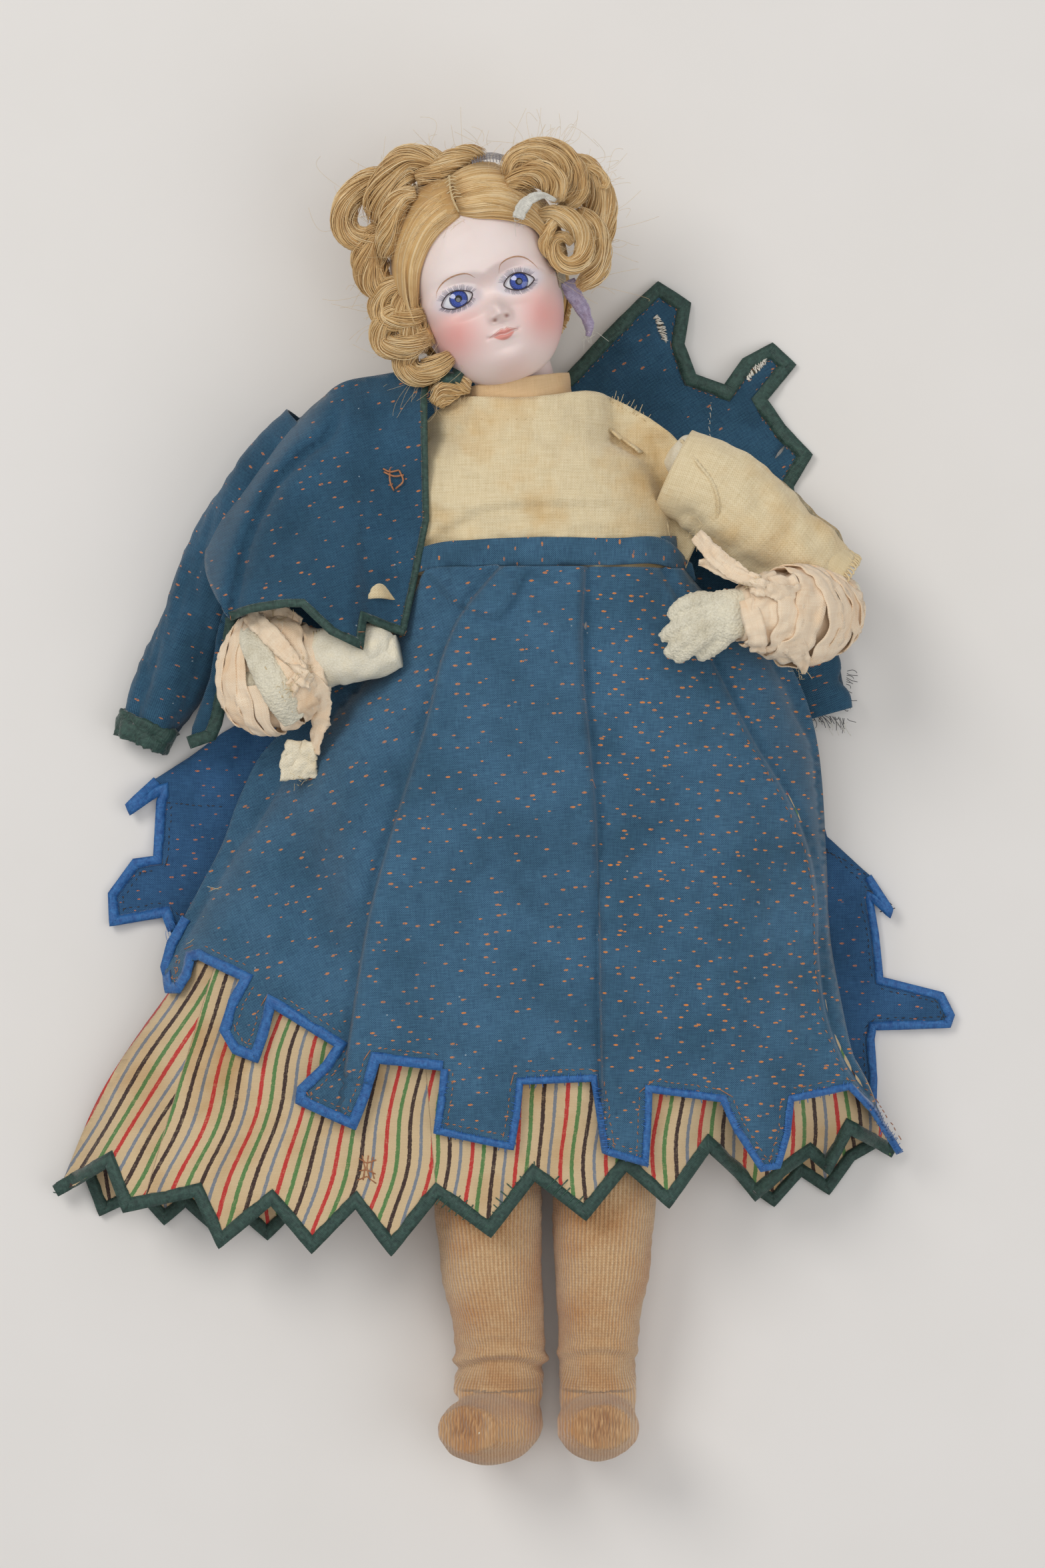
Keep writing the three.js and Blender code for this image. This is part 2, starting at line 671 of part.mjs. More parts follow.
// The thigh is hollowed at the back of the knee, where the calf folds up.
function thigh(side) {
  const x = legX(side);
  const rings = [ring(x, THIGH_TOP, 25, 18, 17), ring(x, -60, 24, 17.5, 18), ring(x, KNEE.y + 4, KNEE.z, 16, 16.5)];
  const hollow = block(x - 30, x + 30, KNEE.y - 20, KNEE.y + 22, -10, KNEE.z - 8);
  return limb(rings, { sides: 16 }).subtract(kneeRoll(x, 16.8, 60)).subtract(hollow);
}

// The calf, and a foot that stands up from the heel and turns a little outwards.
function leg(side, turn, grow) {
  const x = legX(side);
  const shank = [
    ring(x, KNEE.y - 2, KNEE.z, 15.5, 15.5),
    ring(x, -125, 21, 17, 17.5),
    ring(x, -150, 20, 16, 16.5),
    ring(x - side, ANKLE_Y, 18, 13, 14),
    ring(x - side, -198, 16, 13, 12),
  ];
  const foot = [
    ring(x - side, -205, 3, 9, 8.5),
    ring(x - side, -204, 12, 13.5, 12.5),
    ring(x + side * (turn * 0.4 - 1), -205, 26, 15, 11.5),
    ring(x + side * (turn - 1), -205.5, 38, 15, 10),
    ring(x + side * (turn * 1.2 - 1), -206, 46, 9, 6),
  ];
  return limb(shank, { sides: 12, grow }).add(limb(foot, { sides: 12, grow }));
}

const STOCKING_TOP = KNEE.y - 18;

function stocking(side, turn) {
  const foot = block(-200, 200, -300, STOCKING_TOP, -50, 100);
  return leg(side, turn, 1.4).subtract(leg(side, turn, GAP)).intersect(foot);
}

piece(doll, "seat_gusset", KID, seat());
for (const [name, side, turn] of [
  ["left", 1, 3],
  ["right", -1, 12],
]) {
  piece(doll, name + "_thigh", KID, thigh(side));
  piece(doll, name + "_lower_leg", KID, leg(side, turn, 0).add(kneeRoll(legX(side), 15.8, 26)));
  piece(doll, name + "_stocking", KNIT, stocking(side, turn));
}

// ---- Skirts ----
const lerp = THREE.MathUtils.lerp;

// Reads a smooth line through [y, value] pairs.
function along(pairs) {
  return (y) => {
    const last = pairs.length - 1;
    let i = 0;
    while (i < last - 1 && y < pairs[i + 1][0]) i++;
    const t = THREE.MathUtils.clamp((y - pairs[i][0]) / (pairs[i + 1][0] - pairs[i][0]), 0, 1);
    return lerp(pairs[i][1], pairs[i + 1][1], THREE.MathUtils.smoothstep(t, 0, 1) * 0.5 + t * 0.5);
  };
}

// The lap: the height of its ridge and of its lower edge, and how far it spreads to either side.
const ridge = along([
  [76, 57],
  [20, 58],
  [-10, 55],
  [-90, 49],
  [-150, 45],
]);
const edge = along([
  [76, 30],
  [50, 26],
  [15, 7.5],
  [-150, 7.5],
]);
const lapLeft = along([
  [76, -38],
  [50, -37],
  [20, -66],
  [-30, -98],
  [-60, -114],
  [-135, -148],
]);
const lapRight = along([
  [76, 58],
  [50, 84],
  [20, 100],
  [-50, 107],
  [-76, 118],
  [-118, 127],
  [-150, 127],
]);
const LAP_TOP = 75.5;
const LAP_END = -148;

function lapHeight(x, y) {
  const centre = spineX(y);
  const t = x < centre ? (centre - x) / (centre - lapLeft(y)) : (x - centre) / (lapRight(y) - centre);
  return lerp(edge(y), ridge(y), Math.sqrt(Math.max(0, 1 - t * t)));
}

const lap = (lift) =>
  drape(14, 9, (u, v) => {
    const y = lerp(LAP_TOP, LAP_END, v);
    const x = lerp(lapLeft(y), lapRight(y), u);
    return { x, y, z: lapHeight(x, y) + lift };
  });

// Hems run from the doll's right to its left, at u from 0 to 1.
const skirtHem = (u) => [lerp(-122, 129, u), lerp(-60, -117, Math.pow(u, 0.6))];
const underHem = (u) => [lerp(-150, 129, u), -134 - 10 * Math.sin(Math.PI * u) + 20 * Math.pow(u, 5)];

// All that lies below a hem: steps gives the hem's ups and downs as [share of a tab, rise] pairs.
function belowHem(hem, tabs, steps, from = -300) {
  const outline = [[-300, from]];
  outline.push([-300, hem(0)[1]]);
  for (let i = 0; i < tabs; i++)
    for (const [share, rise] of steps) {
      const [x, y] = hem((i + share) / tabs);
      outline.push([x, y + rise]);
    }
  outline.push([300, hem(1)[1]], [300, from]);
  return laid(outline, -20, 140);
}

const SQUARE_TABS = [
  [0.05, 0],
  [0.55, 0],
  [0.56, 16],
  [0.98, 16],
];
const DAGGERS = [
  [0, 9],
  [0.5, 0],
];

const skirtFront = () => lap(CLOTH + 2.4).subtract(belowHem(skirtHem, 7, SQUARE_TABS));
const underskirtFront = () => lap(0).subtract(belowHem(underHem, 9, DAGGERS));

// Bound edge of the underskirt: the same daggers, a binding's width lower.
function underskirtBinding() {
  const lower = (u) => [underHem(u)[0], underHem(u)[1] - 3];
  const cut = (u) => [underHem(u)[0], underHem(u)[1] - GAP];
  const low = belowHem(lower, 9, DAGGERS);
  return lap(0).intersect(belowHem(cut, 9, DAGGERS)).subtract(low);
}

piece(doll, "skirt_front", WOOL, skirtFront());
piece(doll, "underskirt_front", TICKING, underskirtFront());
piece(doll, "underskirt_binding", GREEN_RIBBON, underskirtBinding());

// Backs of the skirts lie flat under the doll. Where they run over the jacket they rise by a layer.
const JACKET_HEM = 31;

function backPanel(outline, low) {
  const profile = [
    [-300, 0],
    [JACKET_HEM - 10, 0],
    [JACKET_HEM - 1, 1.7],
    [300, 1.7],
  ];
  const edges = [...profile, ...profile.map(([y, z]) => [y, z + CLOTH]).reverse()];
  const side = new THREE.Shape(edges.map(([y, z]) => new THREE.Vector2(y, z)));
  const sheet = new THREE.ExtrudeGeometry(side, { depth: 600, bevelEnabled: false });
  const turn = new THREE.Matrix4().set(0, 0, 1, -300, 1, 0, 0, 0, 0, 1, 0, low, 0, 0, 0, 1);
  return solid(sheet.applyMatrix4(turn)).intersect(laid(outline, -5, 20));
}

const SKIRT_BACK = [
  [-30, 74],
  [-60, 40],
  [-96, 24],
  [-126, 2],
  [-118, 0],
  [-118, -24],
  [-131, -28],
  [-130, -42],
  [-112, -43],
  [-104, -62],
  [-70, -70],
  [-36, -60],
  [-20, -40],
  [40, -40],
  [60, -70],
  [126, -112],
  [122, -78],
  [146, -74],
  [144, -66],
  [122, -58],
  [122, -30],
  [108, -14],
  [96, 30],
  [58, 74],
];
const UNDER_BACK = [
  [-26, 70],
  [-60, 34],
  [-92, -20],
  [-146, -122],
  [-130, -131],
  [-100, -142],
  [-64, -138],
  [-40, -84],
  [-30, -62],
  [58, -62],
  [68, -86],
  [80, -128],
  [112, -118],
  [104, -60],
  [96, 0],
  [54, 70],
];
piece(doll, "skirt_back", WOOL, backPanel(SKIRT_BACK, 0));
piece(doll, "underskirt_back", TICKING, backPanel(UNDER_BACK, CLOTH + GAP));

// Ribbon sewn round the tabs that spread out at either side of the skirt's back.
function tabRibbon(corners) {
  return strip(
    corners.map(([x, y]) => new THREE.Vector3(x, y, CLOTH + GAP + 0.4)),
    3.4,
    0.7,
  );
}

piece(
  doll,
  "skirt_binding_right",
  BLUE_RIBBON,
  tabRibbon([
    [-116, -2],
    [-116, -26],
    [-128, -30],
    [-127, -40],
    [-112, -41],
  ]),
);
piece(
  doll,
  "skirt_binding_left",
  BLUE_RIBBON,
  tabRibbon([
    [119, -32],
    [119, -60],
    [143, -68],
    [143, -72],
    [119, -79],
    [122, -108],
  ]),
);

// ---- Jacket, worn on the right shoulder only ----
const JACKET_BACK = [
  [-60, 128],
  [-20, 146],
  [18, 143],
  [50, 112],
  [84, 96],
  [90, JACKET_HEM],
  [-58, JACKET_HEM],
];
const JACKET_LEFT_FRONT = [
  [19.5, 145],
  [30, 158],
  [46, 171],
  [60, 167],
  [55, 153],
  [70, 148],
  [85, 154],
  [94, 146],
  [87, 134],
  [100, 121],
  [93, 108],
  [95, 98],
  [84.6, 97],
  [51, 113],
];
const thinLayer = (outline) => laid(outline, 0, 1.2);

const JACKET_TOP = 124;
const JACKET_FRONT_HEM = 63;
const frontEdge = along([
  [JACKET_TOP, -23],
  [90, -26],
  [JACKET_FRONT_HEM, -31],
]);
const sideEdge = along([
  [JACKET_TOP, -72],
  [104, -84],
  [JACKET_FRONT_HEM, -90],
]);
const overArm = along([
  [JACKET_TOP, 47],
  [100, 50],
  [JACKET_FRONT_HEM, 60],
]);

function jacketRightFront() {
  const arm = -47;
  return drape(10, 6, (u, v) => {
    const y = lerp(JACKET_TOP, JACKET_FRONT_HEM, v);
    const x = lerp(sideEdge(y), frontEdge(y), u);
    const down = THREE.MathUtils.clamp((arm - x) / 40, 0, 1);
    const chest = THREE.MathUtils.clamp((x - arm) / 18, 0, 1);
    return { x, y, z: lerp(lerp(overArm(y), 24, down * down), 59, chest) };
  });
}

const EMPTY_SLEEVE = [
  ring(-96, 116, 12, 13, 9),
  ring(-103, 92, 11, 14, 9),
  ring(-110, 64, 9, 13.5, 7.5),
  ring(-119, 38, 8, 11.5, 6.8),
  ring(-124, 17, 7.8, 9.5, 6.6),
];
const OTHER_SLEEVE = [ring(93, 90, 5.5, 10, 2.6), ring(96, 60, 5, 9, 2.6), ring(100, 34, 4.5, 8, 2.6)];

piece(doll, "jacket_back", WOOL, thinLayer(JACKET_BACK));
piece(doll, "jacket_left_front", WOOL, thinLayer(JACKET_LEFT_FRONT));
piece(doll, "jacket_left_sleeve", WOOL, limb(OTHER_SLEEVE, { sides: 14 }));
piece(doll, "jacket_right_front", WOOL, jacketRightFront());
piece(doll, "jacket_right_sleeve", WOOL, limb(EMPTY_SLEEVE, { sides: 12 }));

export default doll;
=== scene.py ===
# Looks of the dressed porcelain-headed doll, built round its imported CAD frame. Helpers work in millimetres.
import math

import bpy
import numpy as np
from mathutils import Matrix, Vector, kdtree
from mathutils.geometry import delaunay_2d_cdt


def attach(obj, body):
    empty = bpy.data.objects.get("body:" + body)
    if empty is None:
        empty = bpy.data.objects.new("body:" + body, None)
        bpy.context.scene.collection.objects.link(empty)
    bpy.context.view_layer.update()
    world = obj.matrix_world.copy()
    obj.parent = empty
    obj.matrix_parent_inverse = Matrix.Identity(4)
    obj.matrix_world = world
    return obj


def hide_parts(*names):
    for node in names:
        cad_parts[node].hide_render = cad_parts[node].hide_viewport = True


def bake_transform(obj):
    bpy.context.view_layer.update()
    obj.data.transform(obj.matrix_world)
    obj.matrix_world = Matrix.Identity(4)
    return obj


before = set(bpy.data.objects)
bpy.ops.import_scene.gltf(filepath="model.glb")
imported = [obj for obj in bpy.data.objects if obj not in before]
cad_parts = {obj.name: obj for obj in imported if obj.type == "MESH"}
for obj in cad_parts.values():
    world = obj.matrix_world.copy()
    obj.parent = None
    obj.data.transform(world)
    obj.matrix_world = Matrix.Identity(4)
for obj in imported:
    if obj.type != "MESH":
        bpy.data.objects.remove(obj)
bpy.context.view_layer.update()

MM = 0.001
TAU = 2 * math.pi
FLOOR_GAP = 0.05  # least height of cloth over the surface
PLAIN = 0.6  # share of flecks on cloth that does not say otherwise
BODY_Z = 33  # height of the body's middle line


# ---- Lines and noise ----
def arr(points):
    return np.array(points, float)


def smoother(pairs, soften=14.0):
    """A soft-cornered function through (place, value) pairs."""
    p = arr(sorted(pairs))
    grid = np.linspace(p[0, 0] - soften, p[-1, 0] + soften, 800)
    k = max(3, int(soften / (grid[1] - grid[0])))
    values = np.pad(np.interp(grid, p[:, 0], p[:, 1]), k, mode="edge")
    values = np.convolve(values, np.ones(k) / k, "same")[k:-k]
    return lambda y: np.interp(y, grid, values)


def resample(line, step, closed=False):
    line = arr(line)
    if closed:
        line = np.vstack([line, line[:1]])
    s = np.concatenate([[0], np.cumsum(np.linalg.norm(np.diff(line, axis=0), axis=1))])
    t = np.linspace(0, s[-1], max(2, int(round(s[-1] / step))) + 1)
    out = np.column_stack([np.interp(t, s, line[:, i]) for i in range(line.shape[1])])
    return out[:-1] if closed else out


def even(line, count):
    """The same line in a given number of points."""
    line = arr(line)
    near, far = np.linspace(0, 1, count), np.linspace(0, 1, len(line))
    return np.column_stack([np.interp(near, far, c) for c in line.T])


def spline(points, step=1.5, closed=False):
    """A smooth line through points, in equal steps."""
    p = arr(points)
    ext = np.vstack([p[-1:], p, p[:2]]) if closed else np.vstack([2 * p[:1] - p[1:2], p, 2 * p[-1:] - p[-2:-1]])
    t = np.linspace(0, 1, 9)[:-1, None]
    out = [
        0.5 * (2 * b + (c - a) * t + (2 * a - 5 * b + 4 * c - d) * t**2 + (3 * b - a - 3 * c + d) * t**3)
        for a, b, c, d in zip(ext, ext[1:], ext[2:], ext[3:])
    ]
    return resample(np.vstack(out + ([] if closed else [p[-1:]])), step, closed)


def edged(points, step=1.2, waver=0.0, seed=0, closed=True):
    """A cut line in short steps that keeps its corners, with a slight waver."""
    p = arr(points)
    q = np.roll(p, -1, 0) if closed else p[1:]
    out = []
    for a, b in zip(p, q):
        n = max(1, int(np.linalg.norm(b - a) / step))
        out.append(a + (b - a) * (np.arange(n) / n)[:, None])
    if not closed:
        out.append(p[-1:])
    line = np.vstack(out)
    if waver:
        line = line + np.random.default_rng(seed).normal(0, waver, line.shape)
    return line


def ripple(x, y, wave, seed, angle=None, count=6):
    """Soft random waves about one unit high."""
    r = np.random.default_rng(seed)
    out = np.zeros_like(np.asarray(x, float))
    for _ in range(count):
        a = r.uniform(0, TAU) if angle is None else r.normal(angle, 0.3)
        k = TAU / wave * r.uniform(0.65, 1.5)
        out += np.sin(k * (x * math.cos(a) + y * math.sin(a)) + r.uniform(0, TAU))
    return out / math.sqrt(count)


def ring(*lines):
    """A closed outline from lines that meet end to end."""
    return np.vstack([line[:-1] for line in lines])


def side_of(x, y, line):
    """Distance from a line, positive to its left, and how far along it the nearest place is."""
    line = arr(line)
    best = np.full(np.shape(x), 1e9)
    signed, share = np.zeros_like(best), np.zeros_like(best)
    total = len(line) - 1
    for i, (a, b) in enumerate(zip(line[:-1], line[1:])):
        d = b - a
        t = np.clip(((x - a[0]) * d[0] + (y - a[1]) * d[1]) / (d @ d), 0, 1)
        ox, oy = x - a[0] - t * d[0], y - a[1] - t * d[1]
        dist = np.hypot(ox, oy)
        near = dist < best
        best = np.where(near, dist, best)
        signed = np.where(near, np.sign(d[0] * oy - d[1] * ox) * dist, signed)
        share = np.where(near, (i + t) / total, share)
    return signed, share


def inside(points, outline):
    """Which points lie inside a closed line."""
    a, b = outline, np.roll(outline, -1, 0)
    run = (b[:, 0] - a[:, 0]) / (b[:, 1] - a[:, 1] + 1e-12)
    found = []
    for part in np.array_split(points, max(1, len(points) // 4000)):
        x, y = part[:, :1], part[:, 1:2]
        crossed = ((a[:, 1] > y) != (b[:, 1] > y)) & (x < run * (y - a[:, 1]) + a[:, 0])
        found.append(crossed.sum(1) % 2 == 1)
    return np.concatenate(found)


def smoothstep(x, low=0.0, high=1.0):
    t = np.clip((x - low) / (high - low), 0, 1)
    return t * t * (3 - 2 * t)


# ---- Meshes ----
def build(name, verts, faces, finish, smooth=True, **attributes):
    """A mesh object from millimetre points. Attributes hold one number or three for each point."""
    mesh = bpy.data.meshes.new(name)
    mesh.from_pydata((np.asarray(verts) * MM).tolist(), [], [list(map(int, f)) for f in faces])
    for key, values in attributes.items():
        values = np.asarray(values, np.float32)
        wide = values.ndim == 2
        made = mesh.attributes.new(key, "FLOAT_VECTOR" if wide else "FLOAT", "POINT")
        made.data.foreach_set("vector" if wide else "value", values.ravel())
    mesh.polygons.foreach_set("use_smooth", [smooth] * len(mesh.polygons))
    mesh.materials.append(finish)
    mesh.update()
    obj = bpy.data.objects.new(name, mesh)
    bpy.context.scene.collection.objects.link(obj)
    return obj


def thicken(verts, faces, thick):
    """Gives a sheet of triangles or quads a second side and an edge."""
    faces = np.asarray(faces)
    corner = verts[faces]
    normal = np.cross(corner[:, 1] - corner[:, 0], corner[:, 2] - corner[:, 0])
    total = np.zeros_like(verts)
    for i in range(faces.shape[1]):
        np.add.at(total, faces[:, i], normal)
    total /= np.linalg.norm(total, axis=1, keepdims=True) + 1e-12
    n = len(verts)
    edges = {}
    for face in faces:
        for a, b in zip(face, np.roll(face, -1)):
            edges[(int(a), int(b))] = True
    rim = [(a, b) for a, b in edges if (b, a) not in edges]
    walls = [(b, a, a + n, b + n) for a, b in rim]
    both = np.vstack([verts, verts - total * thick])
    return both, [tuple(f) for f in faces] + [tuple(f[::-1] + n) for f in faces] + walls


def dots(low, high, spacing):
    """Places of an even triangular grid in a box."""
    rows = np.arange(low[1], high[1], spacing * 0.866)
    return arr(
        [(x + (i % 2) * spacing / 2, y) for i, y in enumerate(rows) for x in np.arange(low[0], high[0], spacing)]
    )


def facing_up(flat, faces):
    """Turns triangles over that are listed clockwise."""
    a, b, c = flat[faces[:, 0]], flat[faces[:, 1]], flat[faces[:, 2]]
    turned = (b[:, 0] - a[:, 0]) * (c[:, 1] - a[:, 1]) - (b[:, 1] - a[:, 1]) * (c[:, 0] - a[:, 0]) < 0
    faces[turned] = faces[turned][:, ::-1]
    return faces


def cut_sheet(name, outline, height, finish, spacing=1.7, creases=(), holes=(), thick=0.8, grain=None, glint=None):
    """A sheet of cloth cut to an outline, with its height from a function of x and y."""
    lines = [(outline, True), *((h, True) for h in holes), *((c, False) for c in creases)]
    fixed, edges = [], []
    for line, closed in lines:
        base, n = len(fixed), len(line)
        fixed += [tuple(p[:2]) for p in line]
        edges += [(base + i, base + (i + 1) % n) for i in range(n if closed else n - 1)]
    tree = kdtree.KDTree(len(fixed))
    for i, p in enumerate(fixed):
        tree.insert((p[0], p[1], 0), i)
    tree.balance()
    grid = dots(outline.min(0), outline.max(0), spacing)
    grid = grid[inside(grid, outline)]
    grid = [tuple(p) for p in grid if tree.find((p[0], p[1], 0))[2] > spacing * 0.45]
    points, _, faces, *_ = delaunay_2d_cdt([Vector(p) for p in fixed + grid], edges, [], 0, 1e-4)
    flat, faces = arr([(p.x, p.y) for p in points]), np.array([f for f in faces if len(f) == 3])
    middle = flat[faces].mean(1)
    keep = inside(middle, outline)
    for hole in holes:
        keep &= ~inside(middle, hole)
    faces = faces[keep]
    used, faces = np.unique(faces, return_inverse=True)
    flat = flat[used]
    faces = facing_up(flat, faces.reshape(-1, 3))
    x, y = flat[:, 0], flat[:, 1]
    verts = np.column_stack([x, y, height(x, y)])
    cloth = np.column_stack([*(grain(x, y) if grain else (x, y)), glint(x, y) if glint else np.full_like(x, PLAIN)])
    verts, faces = thicken(verts, faces, thick)
    verts[:, 2] = np.maximum(verts[:, 2], FLOOR_GAP)
    return build(name, verts, faces, finish, cloth=np.vstack([cloth, cloth]))


def grid_faces(rows, columns, wrap=False):
    """Quads of a grid of points, row by row."""
    i, j = np.meshgrid(np.arange(rows - 1), np.arange(columns if wrap else columns - 1), indexing="ij")
    k = (j + 1) % columns
    return np.stack(
        [i * columns + j, i * columns + k, (i + 1) * columns + k, (i + 1) * columns + j], -1
    ).reshape(-1, 4)


def frames_along(path, up=(0, 0, 1)):
    """Side and up vectors along a path, or along each of several."""
    ahead = np.gradient(path, axis=-2)
    ahead /= np.linalg.norm(ahead, axis=-1, keepdims=True) + 1e-12
    side = np.cross(np.broadcast_to(arr(up), ahead.shape), ahead)
    side /= np.linalg.norm(side, axis=-1, keepdims=True) + 1e-9
    return side, np.cross(ahead, side)


def loft(path, wide, high=None, sides=48, step=1.2, shape=None, up=(0, 0, 1), caps=True):
    """A limb along a smooth path. shape(angle, distance) adds to its radius. Returns points, faces and cloth places."""
    path = arr(path)
    line = spline(path, step)
    at = np.linspace(0, len(path) - 1, len(line))
    span = np.concatenate([[0], np.cumsum(np.linalg.norm(np.diff(path, axis=0), axis=1))])
    along = np.concatenate([[0], np.cumsum(np.linalg.norm(np.diff(line, axis=0), axis=1))])
    at = np.interp(along / along[-1], span / span[-1], np.arange(len(path)))
    wide = np.interp(at, np.arange(len(path)), wide)
    high = wide if high is None else np.interp(at, np.arange(len(path)), high)
    kernel = np.ones(7) / 7
    wide, high = (np.convolve(np.pad(v, 3, mode="edge"), kernel, "valid") for v in (wide, high))
    side, rise = frames_along(line, up)
    angle = np.linspace(0, TAU, sides, endpoint=False)
    a, s = np.meshgrid(angle, along)
    extra = shape(a, s) if shape else 0
    out = (wide[:, None] + extra)[..., None] * np.cos(a)[..., None] * side[:, None]
    out = out + (high[:, None] + extra)[..., None] * np.sin(a)[..., None] * rise[:, None]
    verts = (line[:, None] + out).reshape(-1, 3)
    faces = [tuple(f) for f in grid_faces(len(line), sides, wrap=True)[:, ::-1]]
    if caps:
        faces += [tuple(range(sides)), tuple(range((len(line) - 1) * sides, len(line) * sides))[::-1]]
    around = a * (wide[:, None] + high[:, None]) / 2
    return verts, faces, np.column_stack([around.ravel(), s.ravel(), np.full(a.size, PLAIN)])


def limb(name, finish, *args, thick=None, **settings):
    verts, faces, cloth = loft(*args, **settings)
    if thick:
        verts, faces = thicken(verts, faces, thick)
        cloth = np.vstack([cloth, cloth])
    return build(name, verts, faces, finish, cloth=cloth)


def threads(name, lines, radius, finish, sides=4, seed=1, flat=1.0, up=(0.13, 0.21, 0.97)):
    """Fine threads as one mesh. radius may vary along a line."""
    longest = max(len(line) for line in lines)
    lines = arr([line if len(line) == longest else even(line, longest) for line in lines])
    many, count = lines.shape[:2]
    side, rise = frames_along(lines, up)
    radius = np.broadcast_to(radius, (many, count))[..., None, None]
    angle = np.arange(sides) * TAU / sides
    rings = lines[:, :, None] + radius * (
        np.cos(angle)[:, None] * side[:, :, None] + flat * np.sin(angle)[:, None] * rise[:, :, None]
    )
    quads = grid_faces(count, sides, wrap=True)[:, ::-1]
    caps = [np.arange(sides), np.arange(sides)[::-1] + (count - 1) * sides]
    base = np.arange(many)[:, None, None] * count * sides
    faces = [tuple(f) for f in (quads[None] + base).reshape(-1, 4)]
    for cap in caps:
        faces += [tuple(f) for f in cap[None] + base[:, :, 0]]
    tone = np.repeat(np.random.default_rng(seed).uniform(0, 1, many), count * sides)
    share = np.tile(np.repeat(np.linspace(0, 1, count), sides), many)
    return build(name, rings.reshape(-1, 3), faces, finish, tone=tone, share=share)


def joined(name, *objects):
    """One object from several, with the first one's material."""
    for o in bpy.context.selected_objects:
        o.select_set(False)
    for o in objects:
        o.select_set(True)
    bpy.context.view_layer.objects.active = objects[0]
    bpy.ops.object.join()
    objects[0].name = name
    return objects[0]


def binding(name, line, height, finish, width=3.4, seed=3, lift=0.5, closed=False, thick=1.0):
    """A folded ribbon round the edge of a sheet, which lies to the left of the line."""
    line = edged(line, 0.9, closed=closed)
    if closed:
        line = np.vstack([line, line[:1]])
    r = np.random.default_rng(seed)
    ahead = np.diff(line, axis=0)
    ahead /= np.linalg.norm(ahead, axis=1, keepdims=True) + 1e-9
    before, after = np.vstack([ahead[:1], ahead]), np.vstack([ahead, ahead[-1:]])
    inward = np.column_stack([-(before + after)[:, 1], (before + after)[:, 0]])
    inward /= np.linalg.norm(inward, axis=1, keepdims=True) + 1e-9
    square = np.column_stack([-before[:, 1], before[:, 0]])
    mitre = np.clip(1 / np.maximum((inward * square).sum(1), 0.3), 1, 1.5)
    soft = np.convolve(r.normal(0, 1, len(line) + 8), np.ones(5) / 5, "same")[4:-4]
    across = [
        (1.0, 0.15, True), (0.62, 1.0, True), (0.2, 1.1, True), (-0.2, 0.35, False), (-0.18, -1.2, False),
        (0.3, -1.7, False), (0.75, -1.5, False)
    ]
    rows = []
    for share, rise, top in across:
        w = width * share * mitre * (1 + 0.1 * soft)
        xy = line + inward * w[:, None]
        z = height(*(line + inward * (max(share, 0.15) * width * mitre)[:, None]).T)
        z = z + rise * lift + (-thick if rise < 0 else 0) + (0.16 * soft if top else 0)
        rows.append(np.column_stack([xy, np.maximum(z, 0.03 if rise < 0 else 0.2)]))
    verts = np.stack(rows, 1).reshape(-1, 3)
    faces = grid_faces(len(line), len(across))
    s = np.repeat(np.arange(len(line)) * 0.9, len(across))
    t = np.tile([a[0] * width for a in across], len(line))
    cloth = np.column_stack([s, t, np.full(len(s), PLAIN)])
    verts, faces = thicken(verts, faces[:, ::-1], 0.25)
    verts[:, 2] = np.maximum(verts[:, 2], FLOOR_GAP)
    return build(name, verts, faces, finish, cloth=np.vstack([cloth, cloth]))


def stitches(line, height, inset, long=1.6, gap=1.5, lift=0.25, seed=5, slant=0.0):
    """Short thread loops beside a line, each a bowed stroke of three points."""
    line = edged(line, 0.5, closed=False)
    r = np.random.default_rng(seed)
    ahead = np.gradient(line, axis=0)
    ahead /= np.linalg.norm(ahead, axis=1, keepdims=True) + 1e-9
    inward = np.column_stack([-ahead[:, 1], ahead[:, 0]])
    out, i = [], 2
    while i < len(line) - 4:
        j = min(len(line) - 1, i + max(2, int(long * 2 * r.uniform(0.7, 1.2))))
        a = line[i] + inward[i] * (inset + r.normal(0, 0.15))
        b = line[j] + inward[j] * (inset + slant + r.normal(0, 0.15))
        mid = (a + b) / 2
        ends = [height(*p[:, None])[0] for p in (a, mid, b)]
        out.append([(*a, ends[0] - 0.1), (*mid, ends[1] + lift), (*b, ends[2] - 0.1)])
        i = j + max(1, int(gap * 2 * r.uniform(0.7, 1.4)))
    return out


def fray(line, height, outward, long=3.0, every=1.0, seed=9, points=5, sag=1.0):
    """Loose thread ends that leave a cut edge."""
    line = edged(line, every, closed=False)
    r = np.random.default_rng(seed)
    out = []
    t = np.linspace(0, 1, points)[:, None]
    for p in line:
        if r.uniform() < 0.25:
            continue
        a = np.array([*p, height(*p[:, None])[0]])
        d = np.array([*outward, 0.0]) * long * r.uniform(0.3, 1.3) + r.normal(0, long * 0.25, 3)
        bow = r.normal(0, long * 0.12, 3)
        q = a + d * t + bow * np.sin(t * math.pi) - np.array([0, 0, sag]) * t**2
        q[:, 2] = np.maximum(q[:, 2], 0.15)
        out.append(q)
    return out


def area_of(obj):
    return sum(p.area for p in obj.data.polygons)


